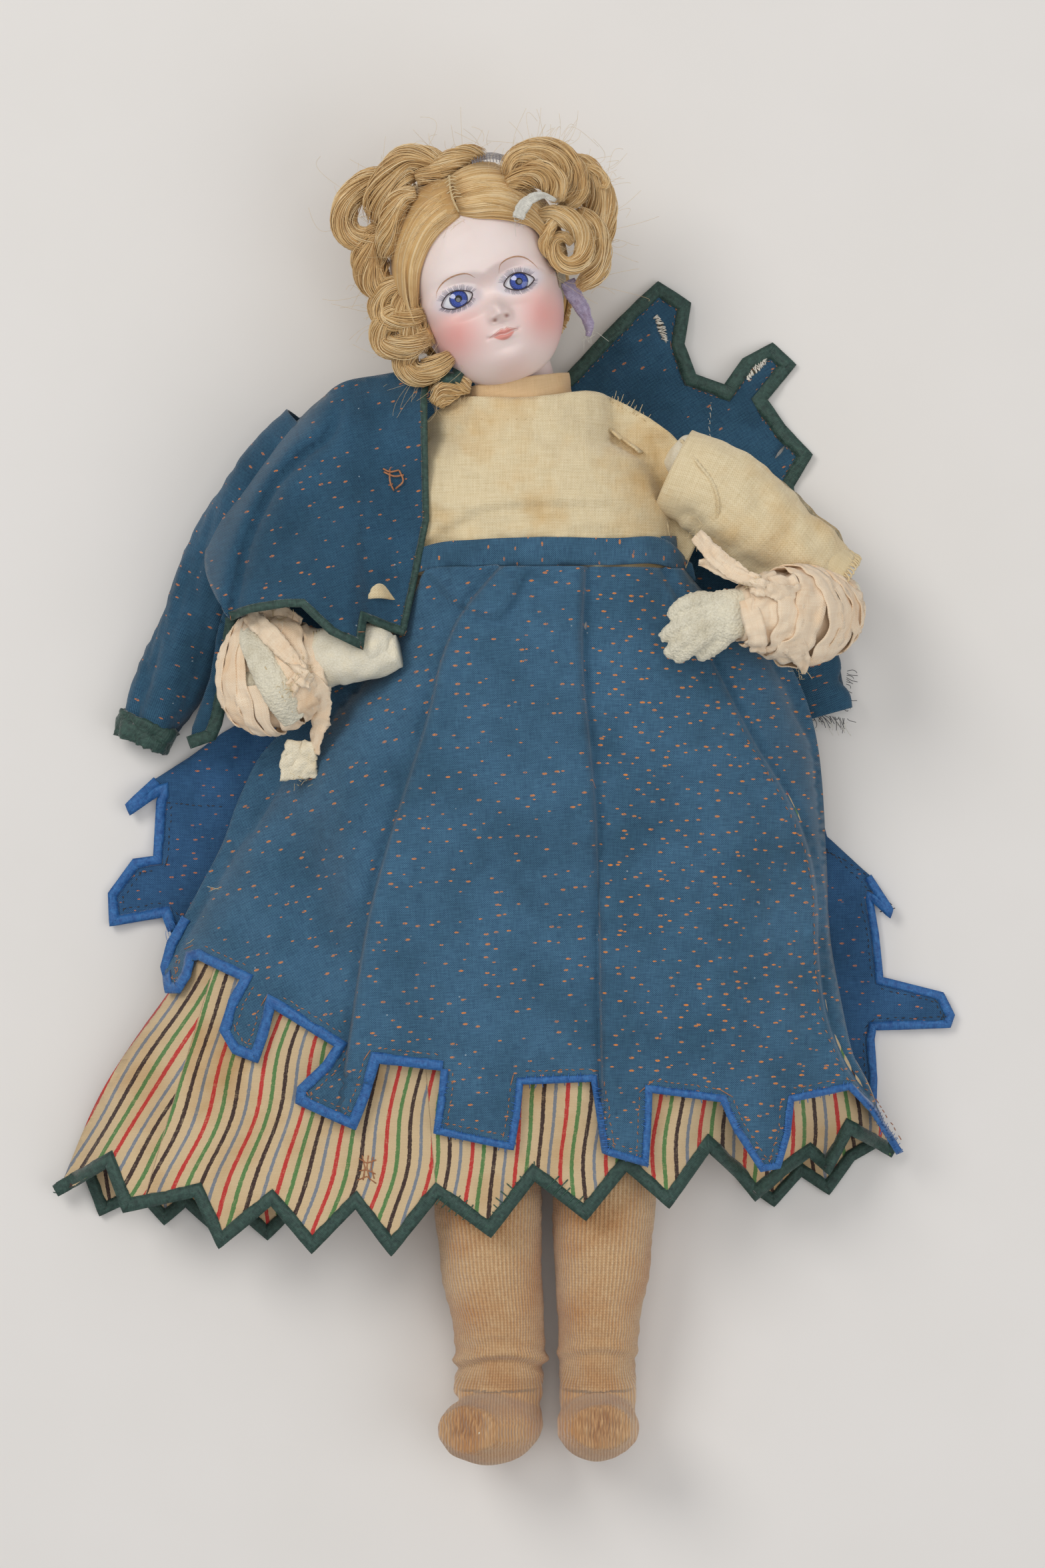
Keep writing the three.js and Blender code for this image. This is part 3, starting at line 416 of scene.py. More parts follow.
def cloth_sheet(obj, doubled=True):
    """Works out the size of a sheet from its own cloth places and area; the size is not kept."""
    obj.data.update()
    area = area_of(obj) / (2 if doubled else 1)
    co = np.zeros(len(obj.data.vertices) * 3, np.float32)
    obj.data.attributes["cloth"].data.foreach_get("vector", co)
    co = co.reshape(-1, 3)
    wide, long = max(np.ptp(co[:, 0]) * MM, 0.0101), max(np.ptp(co[:, 1]) * MM, 0.0101)
    if wide * long < area:
        grow = math.sqrt(area / (wide * long)) * 1.002
        wide, long = wide * grow, long * grow
    if area < 0.31 * wide * long:
        long = area / (0.5 * wide)
    return obj


# ---- Materials ----
def srgb(r, g, b):
    return tuple(((v / 255 + 0.055) / 1.055) ** 2.4 if v > 10 else v / 255 / 12.92 for v in (r, g, b)) + (1.0,)


class Paint:
    """A material's node tree, with short names for the nodes it uses."""

    def __init__(self, name, **sockets):
        self.material = bpy.data.materials.new(name)
        self.material.use_nodes = True
        self.tree = self.material.node_tree
        self.shader = self.tree.nodes["Principled BSDF"]
        for key, value in sockets.items():
            self.shader.inputs[key.replace("_", " ")].default_value = value

    def node(self, kind, *inputs, out=0, **settings):
        n = self.tree.nodes.new("ShaderNode" + kind)
        for key, value in settings.items():
            setattr(n, key, value)
        for socket, value in zip(n.inputs, inputs):
            self.feed(socket, value)
        return n.outputs[out]

    def feed(self, socket, value):
        if isinstance(value, bpy.types.NodeSocket):
            self.tree.links.new(value, socket)
        elif value is not None:
            socket.default_value = value

    def math(self, operation, a, b=0.0, c=0.0):
        return self.node("Math", a, b, c, operation=operation)

    def mul(self, a, b):
        return self.math("MULTIPLY", a, b)

    def add(self, a, b):
        return self.math("ADD", a, b)

    def mul_add(self, a, b, c):
        return self.math("MULTIPLY_ADD", a, b, c)

    def attribute(self, name, out=1):
        return self.node("Attribute", attribute_name=name, out=out)

    def place(self):
        return self.node("NewGeometry")

    def number(self, name):
        return self.attribute(name, out=2)

    def scaled(self, vector, by):
        return self.node("VectorMath", vector, by, operation="MULTIPLY")

    def noise(self, vector, scale, detail=3.0, rough=0.55):
        return self.node("TexNoise", vector, None, scale, detail, rough)

    def split(self, vector):
        n = self.tree.nodes.new("ShaderNodeSeparateXYZ")
        self.feed(n.inputs[0], vector)
        return n.outputs

    def ramp(self, value, stops, step=False):
        n = self.tree.nodes.new("ShaderNodeValToRGB")
        self.feed(n.inputs[0], value)
        n.color_ramp.interpolation = "CONSTANT" if step else "LINEAR"
        while len(n.color_ramp.elements) < len(stops):
            n.color_ramp.elements.new(0.5)
        for element, (at, colour) in zip(n.color_ramp.elements, stops):
            element.position = at
            element.color = colour if len(colour) == 4 else (*colour, 1)
        return n.outputs[0]

    def grey(self, value, low, high):
        return self.node("MapRange", value, low, high, 0.0, 1.0)

    def mix(self, share, a, b, way="MIX"):
        n = self.tree.nodes.new("ShaderNodeMix")
        n.data_type = "RGBA"
        n.blend_type = way
        for i, value in ((0, share), (6, a), (7, b)):
            self.feed(n.inputs[i], value)
        return n.outputs[2]

    def bump(self, height, deep_mm, normal=None, strength=1.0):
        n = self.tree.nodes.new("ShaderNodeBump")
        n.inputs["Strength"].default_value = strength
        n.inputs["Distance"].default_value = deep_mm * MM
        self.feed(n.inputs["Height"], height)
        self.feed(n.inputs["Normal"], normal)
        return n.outputs[0]

    def done(self, colour, rough=None, normal=None, **links):
        self.feed(self.shader.inputs["Base Color"], colour)
        self.feed(self.shader.inputs["Roughness"], rough)
        self.feed(self.shader.inputs["Normal"], normal)
        return self.material

    def weave(self, cloth, pitch, twill=0.0):
        """0 to 1 over the crossings of a plain weave, and its two thread directions."""
        u, v, _ = self.split(cloth)
        k = TAU / pitch
        wave_u = self.math("SINE", self.mul(u, k))
        wave_v = self.math("SINE", self.mul(self.add(v, self.mul(u, twill)), k))
        return self.mul_add(self.mul(wave_u, wave_v), 0.5, 0.5)


def wool(name, dark, light, fleck, fleck_size=1.0):
    p = Paint(name, Sheen_Weight=0.25, Sheen_Roughness=0.4, Specular_IOR_Level=0.25)
    cloth = p.attribute("cloth")
    glint = p.split(cloth)[2]
    flat = p.scaled(cloth, (1, 1, 0))
    warp = p.weave(flat, 0.62)
    slub = p.noise(p.scaled(flat, (0.25, 2.4, 1)), 1.0, 3.0)
    slub_v = p.noise(p.scaled(flat, (2.4, 0.2, 1)), 1.0, 3.0)
    cloudy = p.noise(flat, 0.035, 4.0)
    tone = p.mul_add(warp, 0.55, p.mul_add(slub, 0.5, p.mul(slub_v, 0.35)))
    colour = p.ramp(tone, [(0.42, dark), (0.98, light)])
    colour = p.mix(p.grey(cloudy, 0.38, 0.68), colour, p.mix(1.0, colour, srgb(206, 214, 214), "MULTIPLY"))
    worn = p.noise(flat, 0.12, 5.0, 0.7)
    colour = p.mix(p.mul(p.grey(worn, 0.58, 0.82), 0.35), colour, light)
    spots = p.tree.nodes.new("ShaderNodeTexVoronoi")
    spots.voronoi_dimensions = "2D"
    p.feed(spots.inputs["Vector"], flat)
    spots.inputs["Scale"].default_value = 0.235
    away = p.node(
        "VectorMath", p.scaled(flat, (0.235, 0.235, 1)), p.scaled(spots.outputs["Position"], (0.235, 0.235, 1)),
        operation="SUBTRACT"
    )
    reach = p.node("VectorMath", p.scaled(away, (1.0, 2.3, 0)), operation="LENGTH", out=1)
    chance = p.split(spots.outputs["Color"])
    size = p.mul_add(chance[0], 0.1, 0.1 * fleck_size)
    shown = p.mul(
        p.math("LESS_THAN", reach, size), p.math("GREATER_THAN", chance[1], p.math("SUBTRACT", 0.95, glint))
    )
    ragged = p.grey(p.noise(flat, 2.2, 2.0), 0.35, 0.5)
    colour = p.mix(p.mul(p.mul(shown, ragged), p.mul_add(glint, 0.3, 0.68)), colour, fleck)
    lint = p.tree.nodes.new("ShaderNodeTexVoronoi")
    p.feed(lint.inputs["Vector"], flat)
    lint.inputs["Scale"].default_value = 0.11
    colour = p.mix(p.mul(p.math("LESS_THAN", lint.outputs["Distance"], 0.03), 0.5), colour, srgb(190, 200, 205))
    height = p.add(warp, p.mul(slub, 0.8))
    rough = p.mul_add(slub, 0.2, 0.72)
    return p.done(colour, rough, p.bump(height, 0.16, strength=0.8))


def silk(name, dark, light, rough=0.42):
    p = Paint(name, Sheen_Weight=0.3, Sheen_Roughness=0.3, Specular_IOR_Level=0.5)
    cloth = p.attribute("cloth")
    ribs = p.math("SINE", p.mul(p.split(cloth)[0], TAU / 0.45))
    fibre = p.noise(p.scaled(cloth, (3.0, 0.5, 0)), 1.0, 4.0, 0.7)
    pucker = p.noise(p.scaled(cloth, (0.55, 0.9, 0)), 1.0, 3.0)
    tone = p.add(p.mul(fibre, 0.5), p.mul(pucker, 0.55))
    colour = p.ramp(tone, [(0.36, dark), (0.68, light)])
    height = p.add(p.mul(pucker, 4.0), p.add(fibre, p.mul(ribs, 0.25)))
    return p.done(colour, p.mul_add(fibre, 0.25, rough), p.bump(height, 0.12, strength=0.9))


def striped():
    p = Paint("striped_ticking", Sheen_Weight=0.15, Specular_IOR_Level=0.2)
    cloth = p.attribute("cloth")
    u = p.split(cloth)[0]
    waver = p.noise(p.scaled(cloth, (0.3, 0.9, 0)), 1.0, 2.0)
    place = p.math("FRACT", p.mul(p.add(u, p.mul(waver, 0.5)), 1 / 14.6))
    base, black, blue, red, green = (
        srgb(*c) for c in ((220, 194, 154), (74, 58, 54), (132, 140, 152), (204, 66, 62), (98, 140, 84))
    )
    stops, wide = [(0.0, base)], 0.088
    for i, tint in enumerate((black, blue, red, green)):
        stops += [(0.06 + i * 0.25, tint), (0.06 + i * 0.25 + wide * (1 if i != 1 else 0.8), base)]
    colour = p.ramp(place, stops, step=True)
    warp = p.weave(cloth, 0.5, 1.0)
    fibre = p.noise(p.scaled(cloth, (2.2, 0.35, 0)), 1.0, 3.0)
    weft = p.noise(p.scaled(cloth, (0.25, 2.6, 0)), 1.0, 2.0)
    pale = p.grey(p.add(fibre, p.mul(weft, 0.6)), 0.85, 1.1)
    colour = p.mix(p.mul(pale, 0.4), colour, srgb(228, 206, 166))
    colour = p.mix(p.mul(warp, 0.16), colour, srgb(150, 118, 84), "MULTIPLY")
    stain = p.noise(p.scaled(cloth, (1, 1, 0)), 0.03, 4.0)
    colour = p.mix(p.grey(stain, 0.5, 0.75), colour, p.mix(1.0, colour, srgb(226, 205, 178), "MULTIPLY"))
    height = p.add(warp, p.mul(fibre, 1.2))
    return p.done(colour, 0.85, p.bump(height, 0.12, strength=0.7))


def plain_cloth(name, low, high, stain, pitch=0.75, wrinkle=0.5, stain_at=0.03, rough=0.88, thread=0.5):
    p = Paint(name, Sheen_Weight=0.2, Specular_IOR_Level=0.2)
    cloth = p.scaled(p.attribute("cloth"), (1, 1, 0))
    warp = p.weave(cloth, pitch)
    slub_u = p.noise(p.scaled(cloth, (0.12, 2.2, 0)), 1.0, 3.0, 0.7)
    slub_v = p.noise(p.scaled(cloth, (2.2, 0.12, 0)), 1.0, 3.0, 0.7)
    tone = p.add(p.mul(warp, 0.25), p.mul(p.add(slub_u, slub_v), thread))
    colour = p.ramp(tone, [(0.3, low), (0.8, high)])
    spot = p.noise(cloth, stain_at, 4.0, 0.6)
    colour = p.mix(p.mul(p.grey(spot, 0.48, 0.72), 0.8), colour, p.mix(1.0, colour, stain, "MULTIPLY"))
    crush = p.noise(cloth, 0.16, 4.0, 0.6)
    height = p.add(p.mul(warp, 0.6), p.add(slub_u, slub_v))
    normal = p.bump(crush, 1.6 * wrinkle, strength=0.7)
    return p.done(colour, rough, p.bump(height, 0.14, normal, 0.8))


def kid(name, low, high, grain=1.4, depth=0.16, yellow=(232, 210, 160), cells=True):
    p = Paint(name, Sheen_Weight=0.15, Specular_IOR_Level=0.3)
    place = p.node("VectorMath", p.place(), (1000, 1000, 1000), operation="MULTIPLY")
    pebble = p.tree.nodes.new("ShaderNodeTexVoronoi")
    p.feed(pebble.inputs["Vector"], place)
    pebble.inputs["Scale"].default_value = grain
    fine = p.noise(place, 2.4, 4.0)
    broad = p.noise(place, 0.09, 4.0, 0.6)
    colour = p.ramp(p.add(p.mul(fine, 0.5), p.mul(broad, 0.6)), [(0.4, low), (0.68, high)])
    colour = p.mix(p.mul(p.grey(broad, 0.5, 0.7), 0.45), colour, srgb(*yellow))
    height = p.add(p.mul(pebble.outputs["Distance"], -1.4 if cells else 0.3), fine)
    return p.done(colour, p.mul_add(fine, 0.2, 0.6), p.bump(height, depth, strength=0.8))


def knitted():
    p = Paint("knitted_stocking", Sheen_Weight=0.45, Sheen_Roughness=0.5, Specular_IOR_Level=0.15)
    cloth = p.attribute("cloth")
    u, v, worn = p.split(cloth)
    rib = p.math("SINE", p.mul(u, TAU / 1.15))
    loops = p.math("SINE", p.mul(p.add(v, p.mul(p.math("ABSOLUTE", rib), 0.45)), TAU / 0.9))
    fuzz = p.noise(p.scaled(cloth, (1.5, 0.6, 0)), 1.0, 4.0, 0.7)
    cloudy = p.noise(p.scaled(cloth, (1, 1, 0)), 0.05, 4.0)
    tone = p.add(p.mul(rib, 0.13), p.add(p.mul(fuzz, 0.7), p.mul(loops, 0.05)))
    colour = p.ramp(tone, [(0.18, srgb(194, 150, 106)), (0.5, srgb(226, 188, 142)), (0.72, srgb(240, 212, 174))])
    colour = p.mix(p.grey(cloudy, 0.42, 0.7), colour, p.mix(1.0, colour, srgb(238, 214, 190), "MULTIPLY"))
    darn = p.noise(p.scaled(cloth, (1.2, 1.2, 0)), 1.0, 3.0)
    colour = p.mix(p.mul(p.mul(worn, p.grey(darn, 0.35, 0.6)), 0.75), colour, srgb(150, 104, 72))
    height = p.add(rib, p.add(p.mul(loops, 0.35), p.mul(fuzz, 1.2)))
    return p.done(colour, 0.92, p.bump(height, 0.22, strength=0.9))


def mohair():
    p = Paint("mohair_strands", Specular_IOR_Level=0.5, Sheen_Weight=0.1)
    tone, share = p.number("tone"), p.number("share")
    patch = p.noise(p.place(), 90.0, 3.0)
    mixed = p.add(p.mul(tone, 0.55), p.mul(patch, 0.6))
    colour = p.ramp(
        mixed,
        [
            (0.14, srgb(172, 128, 78)), (0.42, srgb(208, 168, 108)), (0.64, srgb(226, 192, 136)),
            (0.9, srgb(242, 218, 174))
        ]
    )
    grain = p.noise(p.place(), 1400.0, 2.0)
    return p.done(colour, p.mul_add(grain, 0.2, 0.38), p.bump(share, 0.02))


def bisque():
    p = Paint(
        "painted_bisque", Specular_IOR_Level=0.4, Subsurface_Weight=0.12, Subsurface_Scale=0.003, Coat_Weight=0.05
    )
    place = p.place()
    mottled = p.noise(place, 55.0, 4.0)
    body = p.ramp(mottled, [(0.35, srgb(238, 219, 213)), (0.7, srgb(243, 226, 221))])
    pink = p.mul(p.number("blush"), p.mul_add(mottled, 0.5, 0.75))
    colour = p.mix(p.math("MINIMUM", pink, 1.0), body, srgb(238, 164, 156))
    # Painted shade: a pale blue-grey ring round each eye opening.
    colour = p.mix(p.mul(p.number("halo"), 0.55), colour, srgb(206, 206, 218))
    colour = p.mix(p.number("lips"), colour, srgb(222, 148, 138))
    colour = p.mix(p.number("shade"), colour, srgb(160, 108, 92))
    fine = p.noise(place, 900.0, 3.0)
    specks = p.noise(place, 2600.0, 2.0)
    colour = p.mix(p.mul(p.grey(specks, 0.72, 0.8), 0.25), colour, srgb(170, 140, 128))
    return p.done(colour, p.mul_add(fine, 0.14, 0.4), p.bump(fine, 0.02, strength=0.6))


def eye_glass():
    p = Paint("blown_glass_eye", Coat_Weight=1.0, Coat_Roughness=0.03, Coat_IOR=1.5, Specular_IOR_Level=0.6)
    out = p.number("iris")
    spin = p.number("spin")
    rays = p.noise(p.node("CombineXYZ", spin, p.mul(out, 0.6), 0.0), 4.0, 3.0, 0.7)
    iris = p.ramp(rays, [(0.34, srgb(20, 34, 104)), (0.5, srgb(42, 68, 158)), (0.68, srgb(88, 116, 200))])
    base = p.ramp(p.mul(out, 0.2), [
        (0.0, (0.0, 0.0, 0.0)), (0.22, (0.0, 0.0, 0.0)), (0.25, (1, 1, 1)), (1.0, (1, 1, 1)),
    ])
    iris = p.mix(1.0, iris, base, "MULTIPLY")
    rim = p.grey(out, 2.35, 2.9)
    iris = p.mix(rim, iris, srgb(14, 20, 62))
    white = p.mix(p.grey(p.noise(p.place(), 300.0), 0.4, 0.7), srgb(232, 231, 234), srgb(216, 218, 228))
    return p.done(p.mix(p.grey(out, 2.9, 3.15), iris, white), 0.12)


def simple(name, low, high, scale, rough=0.8, depth=0.1, stretch=(1, 1, 1), **sockets):
    """A mottled finish for small hard or painted pieces."""
    p = Paint(name, **sockets)
    place = p.scaled(p.place(), stretch)
    mottled = p.noise(place, scale, 5.0, 0.65)
    fine = p.noise(place, scale * 6, 3.0)
    colour = p.ramp(p.add(p.mul(mottled, 0.7), p.mul(fine, 0.3)), [(0.36, low), (0.64, high)])
    return p.done(colour, p.mul_add(fine, 0.2, rough - 0.1), p.bump(fine, depth))


WOOL = wool("blue_wool_front", srgb(34, 64, 96), srgb(88, 134, 162), srgb(226, 140, 66))
WOOL_DARK = wool("blue_wool_jacket", srgb(22, 54, 82), srgb(66, 110, 136), srgb(214, 130, 70), 0.9)
WOOL_BACK = wool("blue_wool_unfaded", srgb(28, 62, 104), srgb(74, 122, 166), srgb(210, 128, 76), 0.8)
BLUE_SILK = silk("blue_silk_binding", srgb(20, 70, 134), srgb(58, 122, 184))
GREEN_SILK = silk("green_silk_binding", srgb(24, 46, 42), srgb(62, 92, 82), 0.5)
TICKING = striped()
MUSLIN = plain_cloth("yellowed_muslin", srgb(198, 174, 128), srgb(238, 222, 186), srgb(236, 206, 156), 0.8, 0.55)
COLLAR = plain_cloth("collar_band_cloth", srgb(206, 170, 124), srgb(230, 198, 154), srgb(236, 212, 180), 0.6, 0.3)
LACE = plain_cloth("cotton_lace", srgb(204, 180, 132), srgb(232, 214, 176), srgb(232, 210, 170), 0.5, 0.2)
RAG = plain_cloth("peach_rag", srgb(230, 198, 162), srgb(248, 230, 204), srgb(240, 214, 184), 0.55, 0.5, 0.05)
LINT = plain_cloth("lint_wadding", srgb(226, 210, 176), srgb(244, 234, 210), srgb(232, 214, 178), 0.9, 0.9, 0.06)
KID = kid("kid_leather_body", srgb(218, 208, 182), srgb(242, 236, 218), 1.6, 0.12)
KID_HAND = kid("kid_leather_pebbled", srgb(208, 198, 172), srgb(242, 236, 216), 1.25, 0.3, (228, 214, 178))
KNIT = knitted()
HAIR = mohair()
HAIR_FINE = simple("mohair_strays", srgb(206, 176, 128), srgb(232, 208, 166), 700.0, 0.6, 0.01)
BISQUE = bisque()
EYE = eye_glass()
GAUZE = simple("wig_net", srgb(150, 138, 120), srgb(196, 184, 160), 900.0, 0.9)
CORK = simple("cork", srgb(150, 104, 66), srgb(202, 156, 108), 420.0, 0.92, 0.3)
WOOD = simple("turned_wood", srgb(120, 84, 48), srgb(172, 130, 84), 160.0, 0.62, 0.1, (1, 0.15, 1))
PLASTER = simple("eye_plaster", srgb(214, 208, 194), srgb(238, 234, 224), 380.0, 0.9, 0.1)
STEEL = simple("spring_wire", srgb(96, 92, 88), srgb(150, 148, 146), 600.0, 0.4, 0.02, Metallic=1.0)
PAINT_BROWN = simple("brow_paint", srgb(178, 134, 104), srgb(204, 164, 134), 800.0, 0.6, 0.01)
PAINT_DARK = simple("lash_paint", srgb(44, 34, 36), srgb(74, 58, 58), 800.0, 0.6, 0.01)
PAINT_LASH = simple("lash_stroke_paint", srgb(74, 72, 92), srgb(104, 104, 124), 800.0, 0.6, 0.01)
THREAD_NET = simple("net_thread", srgb(120, 116, 122), srgb(164, 160, 164), 900.0, 0.85, 0.02)
PAINT_RED = simple("lip_line_paint", srgb(176, 78, 66), srgb(196, 104, 88), 800.0, 0.55, 0.01)
THREAD_RUST = simple("rust_thread", srgb(150, 92, 60), srgb(196, 138, 98), 900.0, 0.8, 0.02)
THREAD_WHITE = simple("white_thread", srgb(206, 200, 186), srgb(238, 234, 224), 900.0, 0.8, 0.02)
THREAD_DARK = simple("dark_thread", srgb(40, 44, 50), srgb(84, 80, 84), 900.0, 0.8, 0.02)
THREAD_BLUE = simple("blue_silk_thread", srgb(30, 84, 160), srgb(80, 140, 205), 900.0, 0.6, 0.02)
GREEN_SILK_THREAD = simple("green_silk_thread", srgb(34, 66, 56), srgb(74, 110, 94), 900.0, 0.7, 0.02)
THREAD_CREAM = simple("cream_thread", srgb(206, 180, 132), srgb(236, 216, 176), 900.0, 0.85, 0.02)
RIBBON_PALE = silk("pale_ribbon_scrap", srgb(190, 186, 176), srgb(232, 228, 216), 0.5)
RIBBON_MAUVE = silk("mauve_ribbon_scrap", srgb(140, 128, 156), srgb(186, 176, 200), 0.5)


# ---- The lap: how the skirts rise over the legs ----
ridge = smoother([(76, 57), (20, 58), (-10, 55), (-90, 49), (-150, 45)])
lap_edge = smoother([(76, 30), (50, 26), (15, 7.5), (-150, 7.5)])
lap_left = smoother([(76, -38), (50, -37), (20, -66), (-30, -98), (-60, -114), (-135, -148)])
lap_right = smoother([(76, 58), (50, 84), (20, 100), (-50, 107), (-76, 118), (-118, 127), (-150, 127)])


def spine_x(y):
    return 3 + (136 - y) / 144 * 11


def lap(x, y):
    centre = spine_x(y)
    t = np.where(x < centre, (centre - x) / (centre - lap_left(y)), (x - centre) / (lap_right(y) - centre))
    low, high = lap_edge(y), ridge(y)
    over = np.maximum(0, np.abs(t) - 1)
    return low + (high - low) * np.sqrt(np.clip(1 - t * t, 0, 1)) - np.minimum(low - 1.5, over * 40)


# Folded edges of the front panels, from the waist down: each line has the raised cloth on its left.
PLEAT_LEFT = spline([(-1.3, 77.3), (-14.1, 61.9), (-20.7, 46.7), (-25.6, 26.6), (-42.8, -30.5), (-52.1, -86.9)], 4)
PLEAT_MIDDLE = spline([(25.2, 78), (24.4, 46.5), (28.7, -2.7), (30, -61.6), (30.9, -113)], 4)
PLEAT_RIGHT = spline([
    (47.8, 78.2), (53.6, 68.8), (65.9, 46.8), (79.4, 21.2), (88.6, 6.6), (96, -8.5), (100.4, -25.4), (101.2, -47.9),
    (103.3, -66.8), (109.7, -83.7), (119, -96.9), (129.1, -109.8),
], 4)
TUCK = spline([(5.9, 76.5), (2.1, 68.2), (-1.1, 63.5), (-5.3, 60.8), (-16.9, 66.2), (-25, 75)], 3)
VALLEY = spline([(-84, 22), (-75, 8), (-71.3, -3.7), (-64, -28), (-57.4, -51.1), (-57, -70)], 5)
RIDGE = spline([(-60, 34), (-54.5, 15.2), (-47, -15), (-46.4, -46.8), (-50, -70)], 5)


def pleat(x, y, line, high, reach, groove=1.6, fade=(0.0, 0.0)):
    """A folded edge: raised on the left of the line, with a sharp drop to its right."""
    d, s = side_of(x, y, line)
    up = np.exp(-np.maximum(d, 0) / reach) * smoothstep(d, -0.5, 0.9)
    down = -groove * np.exp(np.minimum(d, 0) / 3.2) * smoothstep(-d, -0.4, 0.6)
    ends = smoothstep(s, 0.0, 0.02 + fade[0]) * (1 - smoothstep(s, 0.999 - fade[1], 1.0))
    return (high * up + down) * ends


def fold(x, y, line, high, width):
    d, s = side_of(x, y, line)
    return high * np.exp(-((d / width) ** 2)) * np.sin(np.clip(s, 0.02, 0.98) * math.pi) ** 0.7


def soft_folds(x, y):
    return fold(x, y, VALLEY, -8.0, 12) + fold(x, y, RIDGE, 3.0, 9)


def skirt_top(x, y):
    z = lap(x, y) + 5.0
    z = z + pleat(x, y, PLEAT_LEFT, 3.4, 24, 2.5)
    d, s = side_of(x, y, PLEAT_MIDDLE)
    turn = np.interp(s, [0, 0.45, 0.62, 1], [-2.7, -2.5, 2.2, 2.7])
    lift = turn * np.tanh(d / 0.7) * np.exp(-np.abs(d) / 24)
    z = z + lift - 2.3 * np.exp(-((d / 1.2) ** 2))
    d, s = side_of(x, y, PLEAT_RIGHT)
    roll = np.interp(s, [0, 0.3, 0.6, 1], [0.2, 0.7, 1.6, 1.9])
    z = z - roll * 1.7 * np.tanh(d / 0.8) * np.exp(-np.abs(d) / 20) + roll * 1.2 * np.exp(-(((d + 1.4) / 1.4) ** 2))
    z = z - 2.4 * np.exp(-(((d - 0.8) / 0.9) ** 2))
    z = z + pleat(x, y, TUCK, -2.4, 12, -1.6)
    z = z + soft_folds(x, y)
    waist = smoothstep(y, 48, 77)
    z = z + waist * (0.7 * ripple(x, y * 0.25, 13, 11, 0.0) - 0.8)
    low = smoothstep(-y, 20, 110)
    z = (
        z + (0.5 + 0.9 * low) * ripple(x, y * 0.3, 46, 21, 0.1) + 0.22 * ripple(x, y, 9, 5)
        + 0.5 * ripple(x, y, 24, 15)
    )
    return z


def under_top(x, y):
    z = lap(x, y) + 0.8
    left = smoothstep(-x, 50, 120)
    z = z + (0.5 + 0.8 * left) * ripple(x, y * 0.3, 26, 31, 0.2) + 0.15 * ripple(x, y, 8, 32)
    right = smoothstep(x, 52, 80) * smoothstep(-y, 88, 112)
    z = z * (1 - 0.35 * right) + right * 3.5 * np.sin(x / 3.4 + 0.8 * np.sin(y / 7))
    cover = lap(x, y) + 1.6 + 1.6 * smoothstep(-y, 84, 104)
    return np.minimum(z, cover) + soft_folds(x, y)


# ---- Skirt front ----
WAIST_Y = 77.0
HEM_LEFT = arr([
    (-106, -36), (-110.9, -44.5), (-112.9, -52.4), (-110.9, -60), (-106.6, -59.8), (-103.4, -54.9), (-102.3, -49.4),
    (-100.2, -48.9), (-85.3, -55.4), (-89.2, -62.3), (-92.2, -72.1), (-88.1, -78.9), (-80.6, -81.7), (-77.8, -73.8),
    (-75.3, -64.1), (-54.6, -76.5), (-58.5, -82.4), (-66.8, -90.3), (-67.4, -94.8), (-48.8, -102.8), (-44.8, -93),
    (-41.3, -81.3), (-20.5, -83.7),
])
HEM_RIGHT = arr(
    [
        (-20.5, -83.7), (-21.4, -92.9), (-23, -104.2), (1.9, -109.4), (3.8, -98.6), (4.8, -88.3), (27.5, -87.3),
        (29.1, -96.7), (31, -110.3), (45, -114.7), (45.8, -102.6), (46.2, -90.9), (69, -94), (73, -102.9),
        (81.9, -116.7), (87.8, -115.8), (91, -105.2), (92.2, -94.4), (111, -91.1), (118.3, -98.4), (128, -113.5)
    ]
)
LEFT_SIDE = spline(
    [
        (-25.7, WAIST_Y), (-36.8, 56), (-56.5, 41.3), (-74.7, 24), (-82.6, 14.7), (-88.5, 2), (-92.7, -10),
        (-97.9, -20.9), (-106, -36)
    ], 1.4
)
RIGHT_SIDE = spline(
    [
        (128, -113.5), (117.2, -89), (111.7, -76.6), (106.1, -43.8), (105, -18.3), (102.3, 17.7), (95.3, 40.7),
        (84, 56), (66, 68), (57, WAIST_Y)
    ], 1.4
)
waist_line = edged([(57, WAIST_Y), (-25.7, WAIST_Y)], 1.4, closed=False)
skirt_outline = ring(
    LEFT_SIDE, edged(HEM_LEFT, 1.1, 0.07, 2, False), edged(HEM_RIGHT, 1.1, 0.07, 3, False), RIGHT_SIDE, waist_line
)


def beside(line, *steps):
    """Copies of a line a little to each side, so that the mesh follows its fold."""
    side = np.column_stack([-np.gradient(line[:, 1]), np.gradient(line[:, 0])])
    side /= np.linalg.norm(side, axis=1, keepdims=True) + 1e-9
    return [(line + side * s)[2:-2] for s in steps]


def within(lines, outline, room=1.0):
    """The parts of lines that lie well inside an outline."""
    out = []
    for line in lines:
        ok = inside(line, outline)
        near = np.array([np.min(np.hypot(*(outline - p).T)) > room for p in line])
        good = line[ok & near]
        if len(good) > 3:
            out.append(good)
    return out


def skirt_grain(x, y):
    """Cloth places that turn with each panel."""
    d_left, _ = side_of(x, y, PLEAT_LEFT)
    d_mid, _ = side_of(x, y, PLEAT_MIDDLE)
    turn = np.where(d_left < 0, -0.34, np.where(d_mid < 0, -0.06, 0.03))
    return x * np.cos(turn) - y * np.sin(turn), x * np.sin(turn) + y * np.cos(turn)


def skirt_glint(x, y):
    d_mid, _ = side_of(x, y, PLEAT_MIDDLE)
    d_left, _ = side_of(x, y, PLEAT_LEFT)
    return np.where(d_mid > 0, 0.88, np.where(d_left > 0, 0.5, 0.42)) + 0.08 * ripple(x, y, 40, 77)


